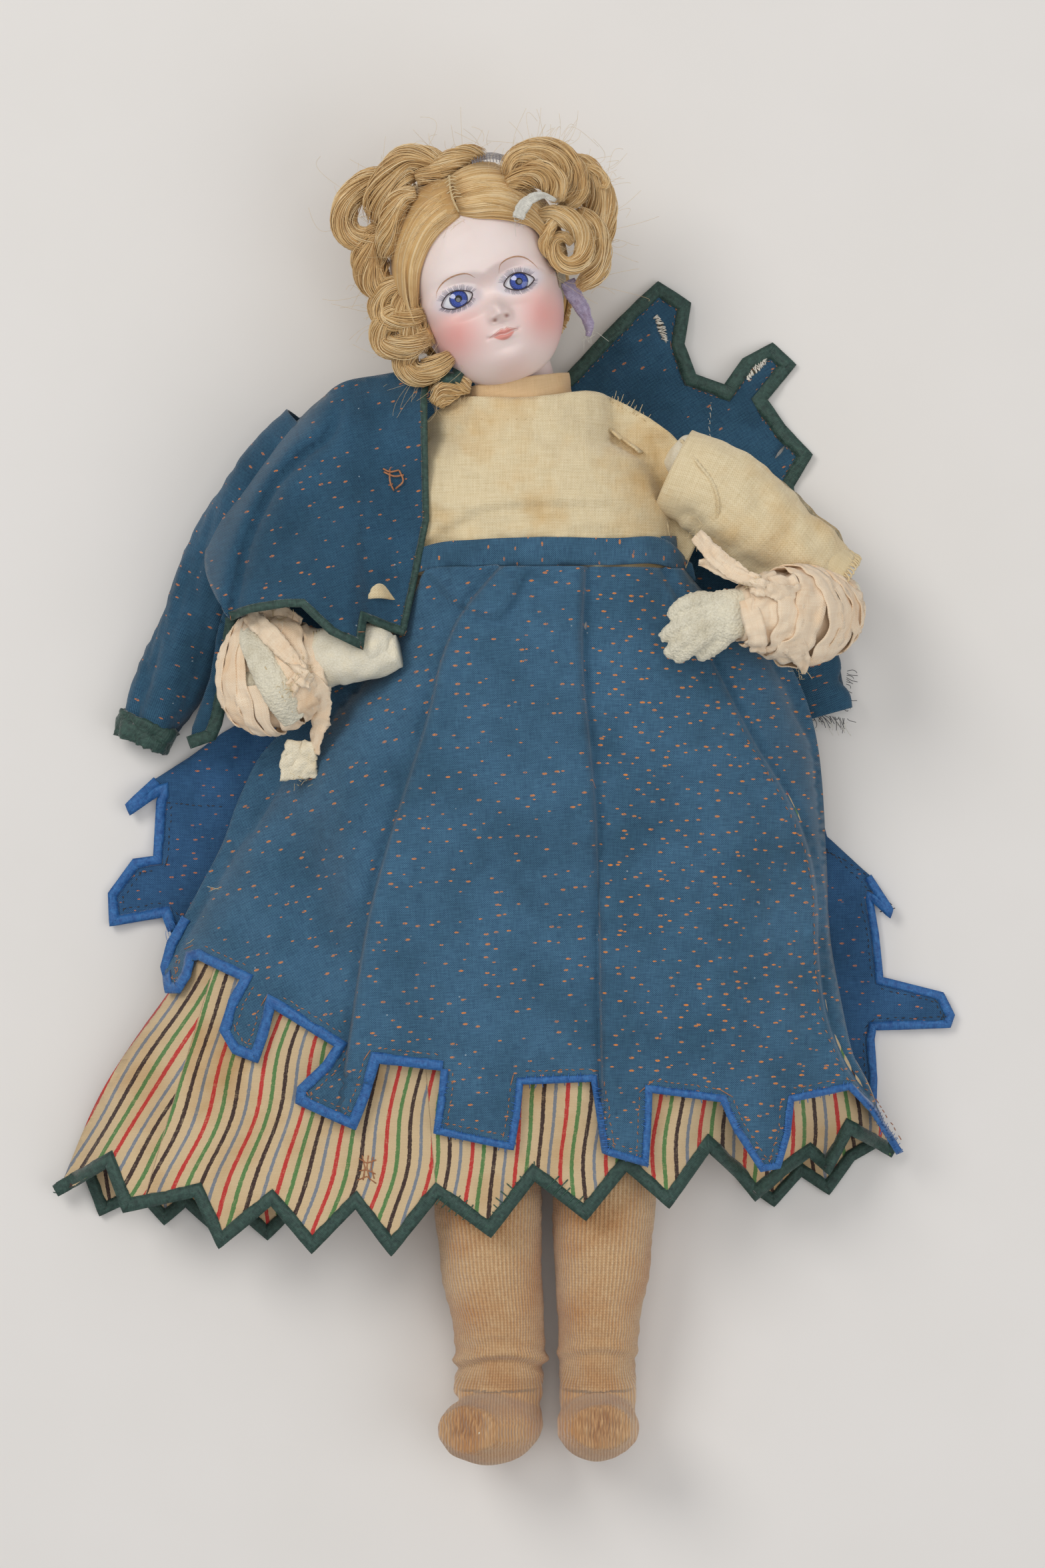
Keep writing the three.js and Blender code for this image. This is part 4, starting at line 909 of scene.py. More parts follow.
creases = []
for line, steps in (
    (PLEAT_LEFT, (-0.7, 0.1, 0.9)), (PLEAT_MIDDLE, (-1.1, -0.35, 0.35, 1.1)), (PLEAT_RIGHT, (-2.4, -1.0, 0.1, 1.1)),
    (TUCK, (-0.6, 0.6))
):
    creases += beside(spline(line, 1.2), *steps)
skirt = cut_sheet(
    "skirt_front_cloth", skirt_outline, skirt_top, WOOL, 1.7, within(creases, skirt_outline), grain=skirt_grain,
    glint=skirt_glint
)
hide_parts("skirt_front")
hem_left = binding("skirt_hem_binding_left", HEM_LEFT, skirt_top, BLUE_SILK, 2.6, 4)
hem_right = binding("skirt_hem_binding_right", HEM_RIGHT, skirt_top, BLUE_SILK, 1.7, 6, thick=1.3)
running = (
    stitches(HEM_RIGHT, skirt_top, 3.6, 1.3, 1.5, 0.3, 8) + stitches(HEM_LEFT, skirt_top, 4.3, 1.0, 1.4, 0.25, 18)
)
running += stitches(PLEAT_RIGHT[14:], skirt_top, -1.5, 0.9, 2.2, 0.25, 28)
hem_stitching = threads("skirt_hem_stitches", running, 0.17, THREAD_RUST, 5)


def crossing(line, height, width, every=1.3, seed=4, lift=0.5):
    """Overcast strokes that run across a narrow bound edge."""
    line = edged(line, every, closed=False)
    ahead = np.gradient(line, axis=0)
    ahead /= np.linalg.norm(ahead, axis=1, keepdims=True) + 1e-9
    inward = np.column_stack([-ahead[:, 1], ahead[:, 0]])
    r = np.random.default_rng(seed)
    out = []
    for p, n, t in zip(line, inward, ahead):
        a, b = p - n * 0.4 + t * r.normal(0, 0.25), p + n * width * r.uniform(0.6, 1.2) + t * (0.5 + r.normal(0, 0.3))
        z = [height(*q[:, None])[0] for q in (a, b)]
        out.append([(*a, z[1] - 0.2), (*((a + b) / 2), max(z) + lift), (*b, z[1] + 0.05)])
    return out


hem_silk = threads(
    "skirt_hem_overcast",
    crossing(HEM_RIGHT, skirt_top, 2.3, 1.0) + fray(HEM_RIGHT, skirt_top, (0.1, -1), 1.4, 2.2, 31, 3), 0.14,
    THREAD_BLUE, 4
)
tab_frays = threads(
    "skirt_tab_frays", fray(arr([(-110.9, -44.5), (-106.6, -37)]), skirt_top, (-0.4, 0.9), 3.0, 1.1, 12)
    + fray(arr([(-67, -93), (-50, -102)]), skirt_top, (0.2, -1), 1.3, 2.0, 13), 0.1, THREAD_BLUE, 3
)

# ---- Underskirt front ----
UNDER_HEM = arr(
    [
        (-148, -127.4), (-142, -124), (-130.1, -116.6), (-124.3, -131), (-100.9, -125.4), (-93, -141.9),
        (-76, -127.6), (-62.9, -143), (-48.6, -128.2), (-37.2, -143.6), (-22.2, -124.8), (-5.2, -137.4),
        (8.9, -119.1), (25.4, -131.8), (38.5, -115.9), (52.2, -128), (65.3, -110.4), (75, -120), (81, -127.4),
        (90, -119), (98.7, -113.5), (105, -119), (112, -106), (127, -114.7)
    ]
)
UNDER_LEFT = spline(
    [(-30, 66), (-62, 22), (-88, -20), (-101, -45), (-110.3, -60), (-123, -77.3), (-135.5, -97.8), (-148, -127.4)],
    1.5
)
UNDER_RIGHT = spline([(127, -114.7), (119, -92), (104, -60), (99, 0), (88, 40), (54, 66)], 1.5)
under_outline = ring(
    UNDER_LEFT, edged(UNDER_HEM, 1.2, closed=False), UNDER_RIGHT, edged([(54, 66), (-30, 66)], 1.5, closed=False)
)
SEAM_LEFT = spline([(-92, -42), (-106, -88), (-119.5, -133)], 2)
SEAM_MIDDLE = spline([(-28, -60), (-24, -108), (-22, -134)], 2)


def stripe_grain(x, y):
    """Stripes run down each gore and meet at an angle at the seams."""
    d_left, _ = side_of(x, y, SEAM_LEFT)
    d_mid, _ = side_of(x, y, SEAM_MIDDLE)
    wave = 0.7 * np.sin(y / 9.0 + x / 30) + 0.5 * np.sin(y / 5.2 - x / 17)
    left = (x + 100) * math.cos(0.56) - (y + 90) * math.sin(0.56)
    lean = 0.27 + (x + 70) * -0.0022
    middle = (x + 70) * np.cos(lean) - (y + 100) * np.sin(lean)
    lean = 0.05 - (x - 40) * 0.0012
    right = (x - 40) * np.cos(lean) - (y + 100) * np.sin(lean) + 9
    u = np.where(d_left < 0, -left + 6, np.where(d_mid < 0, middle, right))
    return u + wave + 400, y


under_creases = []
for line in (SEAM_LEFT, SEAM_MIDDLE):
    under_creases += beside(line, -0.12, 0.12)
underskirt = cut_sheet(
    "underskirt_front_cloth", under_outline, under_top, TICKING, 1.9, within(under_creases, under_outline),
    grain=stripe_grain
)
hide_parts("underskirt_front", "underskirt_binding")
under_bound = binding("underskirt_hem_binding", UNDER_HEM, under_top, GREEN_SILK, 3.3, 14, 0.6)
whip = crossing(arr([(-25, -126), (-5.2, -137.4), (8.9, -119.1), (25.4, -131.8)]), under_top, 5.2, 2.4, 44, 0.5)
under_whip = threads(
    "underskirt_whip_stitches", whip + fray(arr([(-148, -127), (-144, -125)]), under_top, (-1, -0.2), 3, 0.8, 3), 0.2,
    GREEN_SILK_THREAD, 4
)
under_frays = threads(
    "underskirt_worn_edge", fray(UNDER_LEFT[74:92], under_top, (-1, -0.15), 4.0, 0.8, 15, 6), 0.1, THREAD_CREAM, 3
)
darn = [
    [(a[0], a[1], under_top(*arr(a)[:2, None])[0] + 0.1) for a in line]
    for line in (
        [(-46.5, -112), (-45.6, -116), (-46.2, -120)], [(-44.5, -112), (-45, -116), (-44, -120)],
        [(-43, -112.5), (-43.6, -116), (-42.6, -119.5)], [(-47.5, -113), (-45, -114.5), (-42, -113.4)],
        [(-47.4, -117), (-45, -116.6), (-42.2, -118)], [(-48, -120), (-45, -118.8), (-42, -121)]
    )
]
under_darn = threads("underskirt_darn", darn, 0.22, THREAD_RUST, 4)

# ---- Backs of the skirts, spread on the surface ----
SKIRT_BACK_RIGHT = arr(
    [
        (-62, 42), (-78, 33), (-94.1, 24.2), (-105, 16.2), (-116, 9.2), (-125, 0.6), (-124, -2.0), (-114, 5.0),
        (-115, 1.5), (-116, -16.8), (-123, -17.8), (-131, -28.7), (-130.4, -38.7), (-113, -35.7), (-111, -41)
    ]
)
SKIRT_BACK_LEFT = arr(
    [
        (121, -108), (121.6, -89.6), (120.6, -76.7), (121.2, -73.1), (145.8, -72.3), (147, -68.7), (143.5, -61.7),
        (127.6, -57.7), (123.6, -56.7), (122, -41.7), (120, -30.2), (126, -36), (126.6, -33.7), (119.6, -22.7),
        (105.6, -9.8), (100, 12), (96, 30)
    ]
)
back_outline = ring(
    edged(SKIRT_BACK_RIGHT, 1.3, closed=False),
    edged(
        [(-111, -41), (-104, -58), (-70, -68), (-36, -60), (-20, -42), (40, -42), (60, -70), (121, -108)], 1.6,
        closed=False
    ), edged(SKIRT_BACK_LEFT, 1.3, closed=False),
    edged([(96, 30), (70, 60), (40, 74), (-22, 74), (-62, 42)], 2, closed=False)
)


def floor_curl(x, y):
    far = smoothstep(np.abs(x - 5), 70, 145)
    return far * (1.2 + 1.0 * ripple(x, y, 30, 71) + 0.4 * ripple(x, y, 11, 72))


def back_top(x, y):
    step = 1.7 * smoothstep(y, 22, 31)
    curl = 3.5 * np.exp(-((x + 122) ** 2 + (y - 1) ** 2) / 40) + 2.5 * np.exp(-((x + 112) ** 2 + (y + 38) ** 2) / 30)
    curl = (
        curl + 3.0 * np.exp(-((x - 125) ** 2 + (y + 33) ** 2) / 30)
        + 1.4 * np.exp(-((x - 144) ** 2 + (y + 70) ** 2) / 60)
    )
    return np.maximum(0.95, 1.0 + step + floor_curl(x, y) + curl)


skirt_back = cut_sheet(
    "skirt_back_cloth", back_outline, back_top, WOOL_BACK, 2.4, glint=lambda x, y: np.full_like(x, 0.55)
)
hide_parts("skirt_back", "skirt_binding_left", "skirt_binding_right")
back_bound_right = binding("skirt_back_binding_right", SKIRT_BACK_RIGHT[4:], back_top, BLUE_SILK, 2.6, 24)
back_bound_left = binding("skirt_back_binding_left", SKIRT_BACK_LEFT[:14], back_top, BLUE_SILK, 2.1, 25)
back_lines = [arr([(-116, 1.5), (-104, 0.5), (-92, 0)]), arr([(100, -12), (112, -18), (121, -24)])]
back_stitches = threads(
    "skirt_back_stitches",
    [
        s for i, l in enumerate(back_lines) for s in stitches(l, back_top, 0, 1.4, 1.3, 0.25, 60 + i)
    ] + stitches(SKIRT_BACK_LEFT, back_top, 3.2, 1.2, 1.5, 0.25, 62) + stitches(
        SKIRT_BACK_RIGHT[8:], back_top, 4.2, 1.0, 1.5, 0.25, 63
    ), 0.16, THREAD_DARK, 4
)

UNDER_BACK = arr(
    [
        (-132, -104), (-140, -118), (-134, -134), (-121, -128), (-113, -137), (-106, -131), (-96, -140), (-88, -134),
        (-79, -142), (-70, -133), (-62, -138)
    ]
)
under_back_outline = ring(
    edged(UNDER_BACK, 1.4, closed=False),
    edged([(-62, -138), (-46, -100), (-32, -64), (58, -64), (68, -90), (78, -124)], 2, closed=False),
    edged([(78, -124), (88, -131), (97, -121), (106, -127), (114, -116), (121, -112)], 1.4, closed=False),
    edged(
        [(121, -112), (104, -60), (96, 0), (54, 70), (-26, 70), (-60, 34), (-92, -20), (-132, -104)], 2, closed=False
    )
)


def under_back_top(x, y):
    return 2.45 + 1.7 * smoothstep(y, 22, 31) + 0.35 * ripple(x, y, 26, 81)


under_back = cut_sheet(
    "underskirt_back_cloth", under_back_outline, under_back_top, TICKING, 2.6, grain=lambda x,
    y: (x + 400 + y * 0.15, y)
)
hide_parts("underskirt_back")
under_back_bound = binding("underskirt_back_binding", UNDER_BACK, under_back_top, GREEN_SILK, 3.0, 26, 0.5)
under_back_bound2 = binding(
    "underskirt_back_binding_left", arr([(78, -124), (88, -131), (97, -121), (106, -127), (114, -116), (121, -112)]),
    under_back_top, GREEN_SILK, 3.0, 27, 0.5
)


# ---- Blouse ----
def body_width(y):
    return np.interp(y, [20, 58, 84, 100, 112, 118], [43, 42, 41.5, 40.5, 34, 24])


def chest_top(x, y):
    """The top of the blouse over the chest."""
    t = np.clip((x - spine_x(y)) / (body_width(y) + 5.5), -1, 1)
    crown = np.interp(y, [76, 96, 112, 122, 130, 140], [22.5, 25, 24, 20.5, 16.5, 12])
    z = BODY_Z + (crown + 1.6) * np.sqrt(1 - t * t)
    fold = arr([(-25, 86), (-8, 95.5), (20, 97.5), (52, 96)])
    d, s = side_of(x, y, fold)
    z = z + 1.3 * np.tanh(d / 0.9) * np.exp(-np.abs(d) / 7) * (1 - smoothstep(s, 0.6, 1.0))
    for line, high in (
        ([(26, 133), (25.5, 112)], 0.8), ([(45.8, 126), (47, 96)], 0.9), ([(24, 98), (25, 88)], 0.7),
        ([(-12, 131), (-6, 118)], 0.8)
    ):
        d, s = side_of(x, y, arr(line))
        z = z + high * np.exp(-((d / 0.8) ** 2)) * np.sin(np.clip(s, 0.01, 0.99) * math.pi) ** 0.5
    arm = smoothstep(x, 38, 62)
    z = (
        z + (0.5 + 0.9 * arm) * ripple(x, y, 17, 41, 0.6) + 0.25 * ripple(x, y, 6.5, 42)
        + 0.8 * (1 - smoothstep(y, 78, 92)) * ripple(x, y * 0.3, 12, 43, 0.0)
    )
    return z


NECK_HOLE = [(-17, 131.6), (-12, 131.9), (-5.5, 131.6), (4, 131.4), (13, 132.2), (20, 133.4)]
blouse_outline = ring(
    spline([(-40, 74.5), (-43, 84), (-42, 98), (-38, 111), (-31, 120), (-23, 127.5), (-17, 131.6)], 1.4),
    spline(NECK_HOLE, 1.3),
    spline([(20, 133.4), (26.5, 134.2), (33.2, 133), (44.7, 127), (52, 121.6), (57, 116.5)], 1.4),
    spline([(57, 116.5), (64, 108), (66.5, 101), (65, 92), (60, 82), (57, 74.5)], 1.4),
    edged([(57, 74.5), (-40, 74.5)], 1.5, closed=False)
)


def blouse_height(x, y):
    z = chest_top(x, y)
    neck = np.hypot(x - 3, y - 136)
    z = np.where(neck < 24, z + (24 - neck) * 0.16, z)
    return np.maximum(z, 25)


blouse = cut_sheet("blouse_front_cloth", blouse_outline, blouse_height, MUSLIN, 1.6, thick=0.7)


blouse_wrap_path = [(spine_x(y), y, BODY_Z) for y in (74.5, 84, 98, 108, 115, 119.5)]
back_shape = lambda a, s: 0.5 * ripple(a * 40, s, 15, 45, 1.2) + 0.2 * ripple(a * 40, s, 6, 46)
verts, faces, cloth = loft(
    blouse_wrap_path, [46.3, 45.9, 44.8, 42.5, 36, 28], [22.8, 24, 24.6, 23.6, 19, 15], sides=110, step=1.6,
    shape=back_shape, caps=False
)
hidden = (verts[:, 2] > 38) | ((verts[:, 0] > 44) & (verts[:, 1] > 98) & (verts[:, 2] > 22))
faces = np.array([f for f in faces if not any(hidden[i] for i in f)])
verts, faces = thicken(verts, faces, 0.7)
blouse_back = build("blouse_back_cloth", verts, faces, MUSLIN, cloth=np.vstack([cloth, cloth]))
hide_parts("blouse_bodice")

collar_path = [(3 + dx, y, 33.5) for dx, y in ((0.4, 124.5), (0.1, 129), (-0.6, 133.2), (-1.3, 137.5))]
collar_shape = lambda a, s: 0.35 * ripple(a * 18, s, 14, 51) + 0.25 * np.sin(a * 3)
collar = limb(
    "blouse_collar_band", COLLAR, collar_path, [18.6, 18.2, 17.5, 17.4], [17.5, 17.4, 17.2, 17.2], sides=90, step=0.9,
    shape=collar_shape, thick=0.9, caps=False
)
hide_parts("blouse_collar")
neck_frays = (
    fray(arr([(33, 131.5), (45, 125)]), blouse_height, (0.4, 1.0), 3.2, 0.7, 47, 6)
    + fray(arr([(-8, 124), (14, 124)]), blouse_height, (0.1, 0.5), 1.2, 2.5, 48, 4)
)
blouse_frays = threads("blouse_neck_frays", neck_frays, 0.1, THREAD_CREAM, 3)


def band_top(x, y):
    t = np.clip((x - spine_x(y)) / 50.5, -1, 1)
    return BODY_Z + 26.2 * np.sqrt(1 - t * t) + 0.25 * ripple(x, y, 12, 52)


band_outline = ring(
    spline([(-43, 76), (-25, 84), (-10, 85.6), (12, 86.4), (34, 86.2), (50, 86.6), (60, 79)], 1.4),
    spline([(60, 79), (61.5, 73)], 1.2),
    spline([(61.5, 73), (50, 78.0), (34, 77.6), (12, 77.2), (-10, 77), (-25, 76.2), (-44, 70)], 1.4),
    edged([(-44, 70), (-43, 76)], 1.2, closed=False)
)[::-1]
waistband = cut_sheet(
    "skirt_waistband_front", band_outline, band_top, WOOL, 1.5, thick=1.0, grain=lambda x, y: (y, x), glint=lambda x,
    y: np.full_like(x, 0.45)
)
verts, faces, cloth = loft(
    [(spine_x(y), y, BODY_Z) for y in (76.5, 80, 84)], [47.5, 47.4, 47.2], [24.8, 25.0, 25.2], sides=100, step=1.4,
    caps=False
)
faces = np.array([f for f in faces if not any(verts[i, 2] > 44 for i in f)])
verts, faces = thicken(verts, faces, 0.9)
waist_back = build("skirt_waistband_back", verts, faces, WOOL, cloth=np.vstack([cloth, cloth]))
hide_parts("skirt_waistband")

# ---- Jacket: back and spread left front on the surface ----
JR = arr(
    [
        (18.9, 140.7), (31.9, 154.7), (43.5, 166.4), (49.9, 172.3), (59.8, 165.7), (57.6, 152.3), (61.5, 141.8),
        (71.9, 138), (78.2, 147), (87.5, 152.1), (94.3, 145.7), (84.8, 134.1), (91.2, 125), (99.8, 116),
        (93.8, 105.7), (94.3, 97.8)
    ]
)


def spread_top(x, y):
    """The left front lies on the surface, in long low folds."""
    z = 1.6 + 1.3 * fold_wave(x, y) + 0.35 * ripple(x, y, 13, 62)
    d, _ = side_of(x, y, arr([(84, 149), (76, 130), (72, 112), (70, 98)]))
    z = z + 2.4 * np.exp(-((d / 5) ** 2)) + 1.5 * smoothstep(-d, 0, 6)
    d, _ = side_of(x, y, arr([(52, 160), (36, 138), (30, 128)]))
    z = z + 2.6 * np.exp(-((d / 7) ** 2))
    z = z + 4.0 * smoothstep(-(x - 24), -30, 6) * smoothstep(-(y - 128), -26, 4)
    return np.maximum(z, 1.2)


def fold_wave(x, y):
    return ripple(x * 0.8 + y * 0.3, y, 42, 61, 0.3)


spread_outline = ring(
    edged(JR, 1.2, closed=False),
    edged([(94.3, 97.8), (84, 92), (52, 100), (24, 122), (18.9, 140.7)], 1.6, closed=False)
)[::-1]


def slit(a, b, wide=1.0):
    a, b = arr(a), arr(b)
    n = arr([-(b - a)[1], (b - a)[0]]) / np.linalg.norm(b - a) * wide
    t = np.linspace(0, 1, 8)[:, None]
    line = a + (b - a) * t
    bow = np.sin(t * math.pi)
    return np.vstack([line + n * bow, (line - n * bow)[::-1][1:-1]])


SLITS = [((49.4, 161.5), (52.2, 153.0)), ((79.0, 141.0), (85.4, 147.4)), ((88.2, 114.6), (92.0, 119.4))]
holes = [slit(a, b, w) for (a, b), w in zip(SLITS, (1.1, 1.0, 0.5))]
jacket_spread = cut_sheet(
    "jacket_left_front_cloth", spread_outline, spread_top, WOOL_DARK, 1.8, holes=holes, grain=lambda x,
    y: (x * 0.86 + y * 0.5, y * 0.86 - x * 0.5), glint=lambda x, y: np.full_like(x, 0.12)
)
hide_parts("jacket_left_front")
spread_bound = binding("jacket_left_front_binding", JR[::-1], spread_top, GREEN_SILK, 3.5, 64, 0.6)
worked = []
for hole in holes[:2]:
    worked += crossing(np.vstack([hole, hole[:1]])[::-1], spread_top, 1.3, 0.45, 65, 0.35)
buttonholes = threads("jacket_buttonhole_stitches", worked, 0.2, THREAD_WHITE, 4)
under_slits = cut_sheet(
    "jacket_left_front_facing", edged([(45, 150), (58, 150), (58, 163), (48, 167)], 1.5), lambda x,
    y: np.full_like(x, 0.9), LINT, 2.0, thick=0.4
)
under_slits2 = cut_sheet(
    "jacket_left_front_facing_low", edged([(76, 140), (82, 136), (90, 147), (84, 149.5)], 1.5), lambda x,
    y: np.full_like(x, 0.9), LINT, 2.0, thick=0.4
)
spread_stitches = threads(
    "jacket_left_front_stitches", stitches(JR[::-1], spread_top, 3.9, 0.8, 1.5, 0.2, 66), 0.13, THREAD_RUST, 3
)
white_line = arr([(67, 133), (66.4, 128), (66.6, 119), (67.2, 116)])
spread_seam = threads(
    "jacket_left_front_seam_thread", stitches(white_line, spread_top, 0.2, 2.2, 0.5, 0.6, 67, 0.5)
    + fray(white_line, spread_top, (0.8, 0.3), 1.3, 1.6, 68, 4), 0.14, THREAD_WHITE, 3
)

jacket_back_outline = edged(
    [
        (-70, 128), (-40, 136), (-18, 143), (18.9, 140.7), (30, 122), (60, 104), (88, 96), (92, 60), (90, 31),
        (-58, 31), (-72, 50)
    ], 1.8
)[::-1]
jacket_back = cut_sheet(
    "jacket_back_cloth", jacket_back_outline, lambda x, y: 1.25 + 0.2 * ripple(x, y, 30, 63), WOOL_DARK, 3.0,
    glint=lambda x, y: np.full_like(x, 0.3)
)
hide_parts("jacket_back")
jacket_back_bound = binding(
    "jacket_back_hem_binding", arr([(-58, 31), (0, 30.5), (60, 31), (96, 30)]), lambda x, y: 1.25 + 0 * x, GREEN_SILK,
    3.2, 69, 0.4
)

tail_path = [(93, 92, 6), (96, 66, 5.6), (100, 44, 5.4), (104, 30, 5.2)]
tail_shape = lambda a, s: 0.7 * ripple(a * 9, s, 12, 73, 1.3)
jacket_left_sleeve = limb(
    "jacket_left_sleeve_cloth", WOOL_DARK, tail_path, [10, 9.5, 9, 9], [3.2, 3.2, 3.0, 2.8], sides=50,
    shape=tail_shape, thick=0.8, caps=False
)
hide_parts("jacket_left_sleeve")
tail_frays = threads(
    "jacket_left_sleeve_frays",
    fray(arr([(97, 31), (112, 29)]), lambda x, y: 6 + 0 * x, (0.3, -1), 4.5, 0.5, 74, 6) + fray(
        arr([(112, 46), (111, 32)]), lambda x, y: 6 + 0 * x, (1, -0.2), 3.0, 0.7, 75, 6
    ), 0.12, THREAD_DARK, 3
)
tail_frays2 = threads(
    "jacket_left_sleeve_pale_frays",
    fray(arr([(99, 30), (112, 28)]), lambda x, y: 6.4 + 0 * x, (0.35, -1), 4.5, 1.1, 76, 6), 0.1, THREAD_WHITE, 3
)

# ---- Jacket: right front over the chest and arm ----
over_arm = smoother([(145, 41), (125, 50), (100, 56), (63, 64), (50, 64)])


GROOVE = spline(
    [
        (-52.8, 136.5), (-55, 124), (-58.5, 118), (-66, 112.5), (-74.0, 104), (-77.5, 98), (-82.5, 87), (-85.5, 75),
        (-88, 61)
    ], 3
)


def jacket_top(x, y):
    """Over the chest at the front edge, over the arm, then down to the surface."""
    arm, high = -51.0, over_arm(y)
    chest = BODY_Z + 26.0 * np.sqrt(np.clip(1 - ((x - spine_x(y)) / 52) ** 2, 0, 1))
    chest = chest + (y > 118) * -0.35 * (y - 118)
    near = smoothstep(x, -52, -28)
    z = chest * near + high * (1 - near)
    outer = np.interp(y, [20, 52, 76, 94, 118, 130, 141], [-126, -117, -104, -96, -77, -66, -50])
    t = np.clip((arm - x) / np.maximum(arm - outer, 10), 0, 1)
    z = z * np.sqrt(1 - np.clip(t, 0, 0.995) ** 2.4) + 6 * t**3
    z = np.maximum(z, 3)
    z = z - 6.0 * smoothstep(y, 128, 144) * smoothstep(x, -70, -30)
    d, s = side_of(x, y, GROOVE)
    z = (
        z - 4.0 * np.exp(-((d / 1.9) ** 2)) * smoothstep(s, 0, 0.25)
        + 2.4 * np.exp(-(((d + 4.5) / 4) ** 2)) * smoothstep(s, 0.1, 0.4)
    )
    z = z + 1.1 * ripple(x, y * 0.4, 34, 91, 0.2) + 0.3 * ripple(x, y, 11, 92)
    fan = (
        fold(x, y, arr([(-56, 110), (-66, 92), (-74, 70)]), -2.2, 6)
        + fold(x, y, arr([(-44, 118), (-44, 90), (-50, 64)]), 1.4, 8)
    )
    return z + fan + 6.5 * smoothstep(x, -26, -19) * smoothstep(y, 131, 138)


JF_EDGE = arr([(-33, 55.5), (-29.6, 71.4), (-25.3, 92), (-25.7, 113.1), (-26, 132), (-25.4, 137.5)])
JF_TAB = arr([(-25.4, 137.5), (-15.5, 136.5), (-13.6, 141.0), (-13.2, 145.3), (-24.0, 142.2)])
JF_HEM = arr(
    [
        (-88.5, 60.5), (-82.1, 62.8), (-70, 64.5), (-65.2, 64.4), (-56, 55.6), (-46.2, 51.0), (-45.2, 60.3),
        (-40, 58), (-33, 55.5)
    ]
)
JF_OUT = spline(
    [
        (-24.0, 142.2), (-39.5, 140.1), (-53.1, 136.8), (-63.9, 129.3), (-75.4, 117.8), (-85.4, 106.3), (-94.7, 93.6),
        (-98.0, 85.5), (-97.6, 76.5), (-93.4, 67.5), (-88.5, 60.5)
    ], 1.4
)
front_outline = ring(
    edged(JF_EDGE, 1.2, closed=False), edged(JF_TAB, 1.1, closed=False), JF_OUT, edged(JF_HEM, 1.1, closed=False)
)
front_creases = within(beside(spline(GROOVE, 1.2), -1.6, 0, 1.6), front_outline)
jacket_front = cut_sheet(
    "jacket_right_front_cloth", front_outline, jacket_top, WOOL_DARK, 1.6, front_creases, grain=lambda x,
    y: (x * 0.96 + y * 0.26, y * 0.96 - x * 0.26), glint=lambda x, y: np.full_like(x, 0.42)
)
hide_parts("jacket_right_front")
front_bound = binding("jacket_front_edge_binding", JF_EDGE, jacket_top, GREEN_SILK, 1.5, 93, 0.5)
tab_bound = binding("jacket_collar_binding", JF_TAB, jacket_top, GREEN_SILK, 3.0, 94, 0.6)
hem_bound = binding("jacket_front_hem_binding", JF_HEM, jacket_top, GREEN_SILK, 2.0, 95, 0.5)
front_thread = threads(
    "jacket_front_stitches",
    crossing(JF_EDGE, jacket_top, 1.8, 2.6, 96, 0.45) + crossing(JF_HEM, jacket_top, 1.8, 3.2, 97, 0.45) + fray(
        arr([(-26, 131), (-26, 137)]), jacket_top, (1, 0.3), 2.0, 0.8, 98, 4
    ), 0.14, THREAD_RUST, 3
)
loop_lines = []
for i, (a, b, c) in enumerate(
    (
        ((-39.6, 108.6), (-37.4, 107.6), (-34.6, 108.2)), ((-37.5, 108.5), (-37.4, 104.5), (-36.2, 101.6)),
        ((-34.4, 108.0), (-33.2, 104.6), (-35.6, 102.2)), ((-39.4, 107.6), (-36.2, 106.2), (-33.0, 106.6))
    )
):
    line = spline([a, b, c], 0.6)
    loop_lines.append(
        np.column_stack([line, jacket_top(*line.T) + 0.5 + 0.8 * np.sin(np.linspace(0, math.pi, len(line)))])
    )
thread_loop = threads("jacket_thread_loop", loop_lines, 0.32, THREAD_RUST, 5)

SLEEVE_PATH = [
    (-63, 122, 20), (-76, 107, 18), (-87, 91, 17), (-94.5, 76, 15), (-101.5, 60, 12.5), (-109, 44, 10),
    (-115.5, 31.5, 9), (-118.6, 24.5, 8)
]
SLEEVE_WIDE = [9.5, 12, 12.5, 12, 11.4, 11, 9, 6.8]
SLEEVE_HIGH = [15, 14.5, 13.5, 12, 10, 8.4, 7.2, 6.2]


def sleeve_shape(a, s):
    sag = 0.8 * ripple(a * 12, s * 0.5, 22, 99, 0.4)
    pinch = -1.4 * np.exp(-(((np.abs(a - 2.2)) / 0.35) ** 2)) * smoothstep(s, 20, 50)
    return sag + pinch + 0.2 * ripple(a * 12, s, 8, 100)


verts, faces, cloth = loft(SLEEVE_PATH, SLEEVE_WIDE, SLEEVE_HIGH, sides=80, step=1.5, shape=sleeve_shape, caps=False)
verts[:, 2] = np.maximum(verts[:, 2], 1.5)
cloth[:, 2] = 0.4
verts, faces = thicken(verts, np.array(faces), 0.9)
jacket_sleeve = build("jacket_right_sleeve_cloth", verts, faces, WOOL_DARK, cloth=np.vstack([cloth, cloth]))
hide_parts("jacket_right_sleeve")


def tube_binding(name, path, wide, high, sides, finish, grow=0.7, thick=1.8, shape=None, seed=1):
    """A ribbon that wraps the open end of a sleeve."""
    r = np.random.default_rng(seed)
    verts, faces, cloth = loft(
        path, np.asarray(wide) + grow, np.asarray(high) + grow, sides=sides, step=0.8, shape=shape, caps=False
    )
    verts = verts + 0.12 * r.normal(0, 1, verts.shape)
    verts[:, 2] = np.maximum(verts[:, 2], 0.4)
    verts, faces = thicken(verts, np.array(faces), thick)
    verts[:, 2] = np.maximum(verts[:, 2], FLOOR_GAP)
    return build(name, verts, faces, finish, cloth=np.vstack([cloth, cloth]))


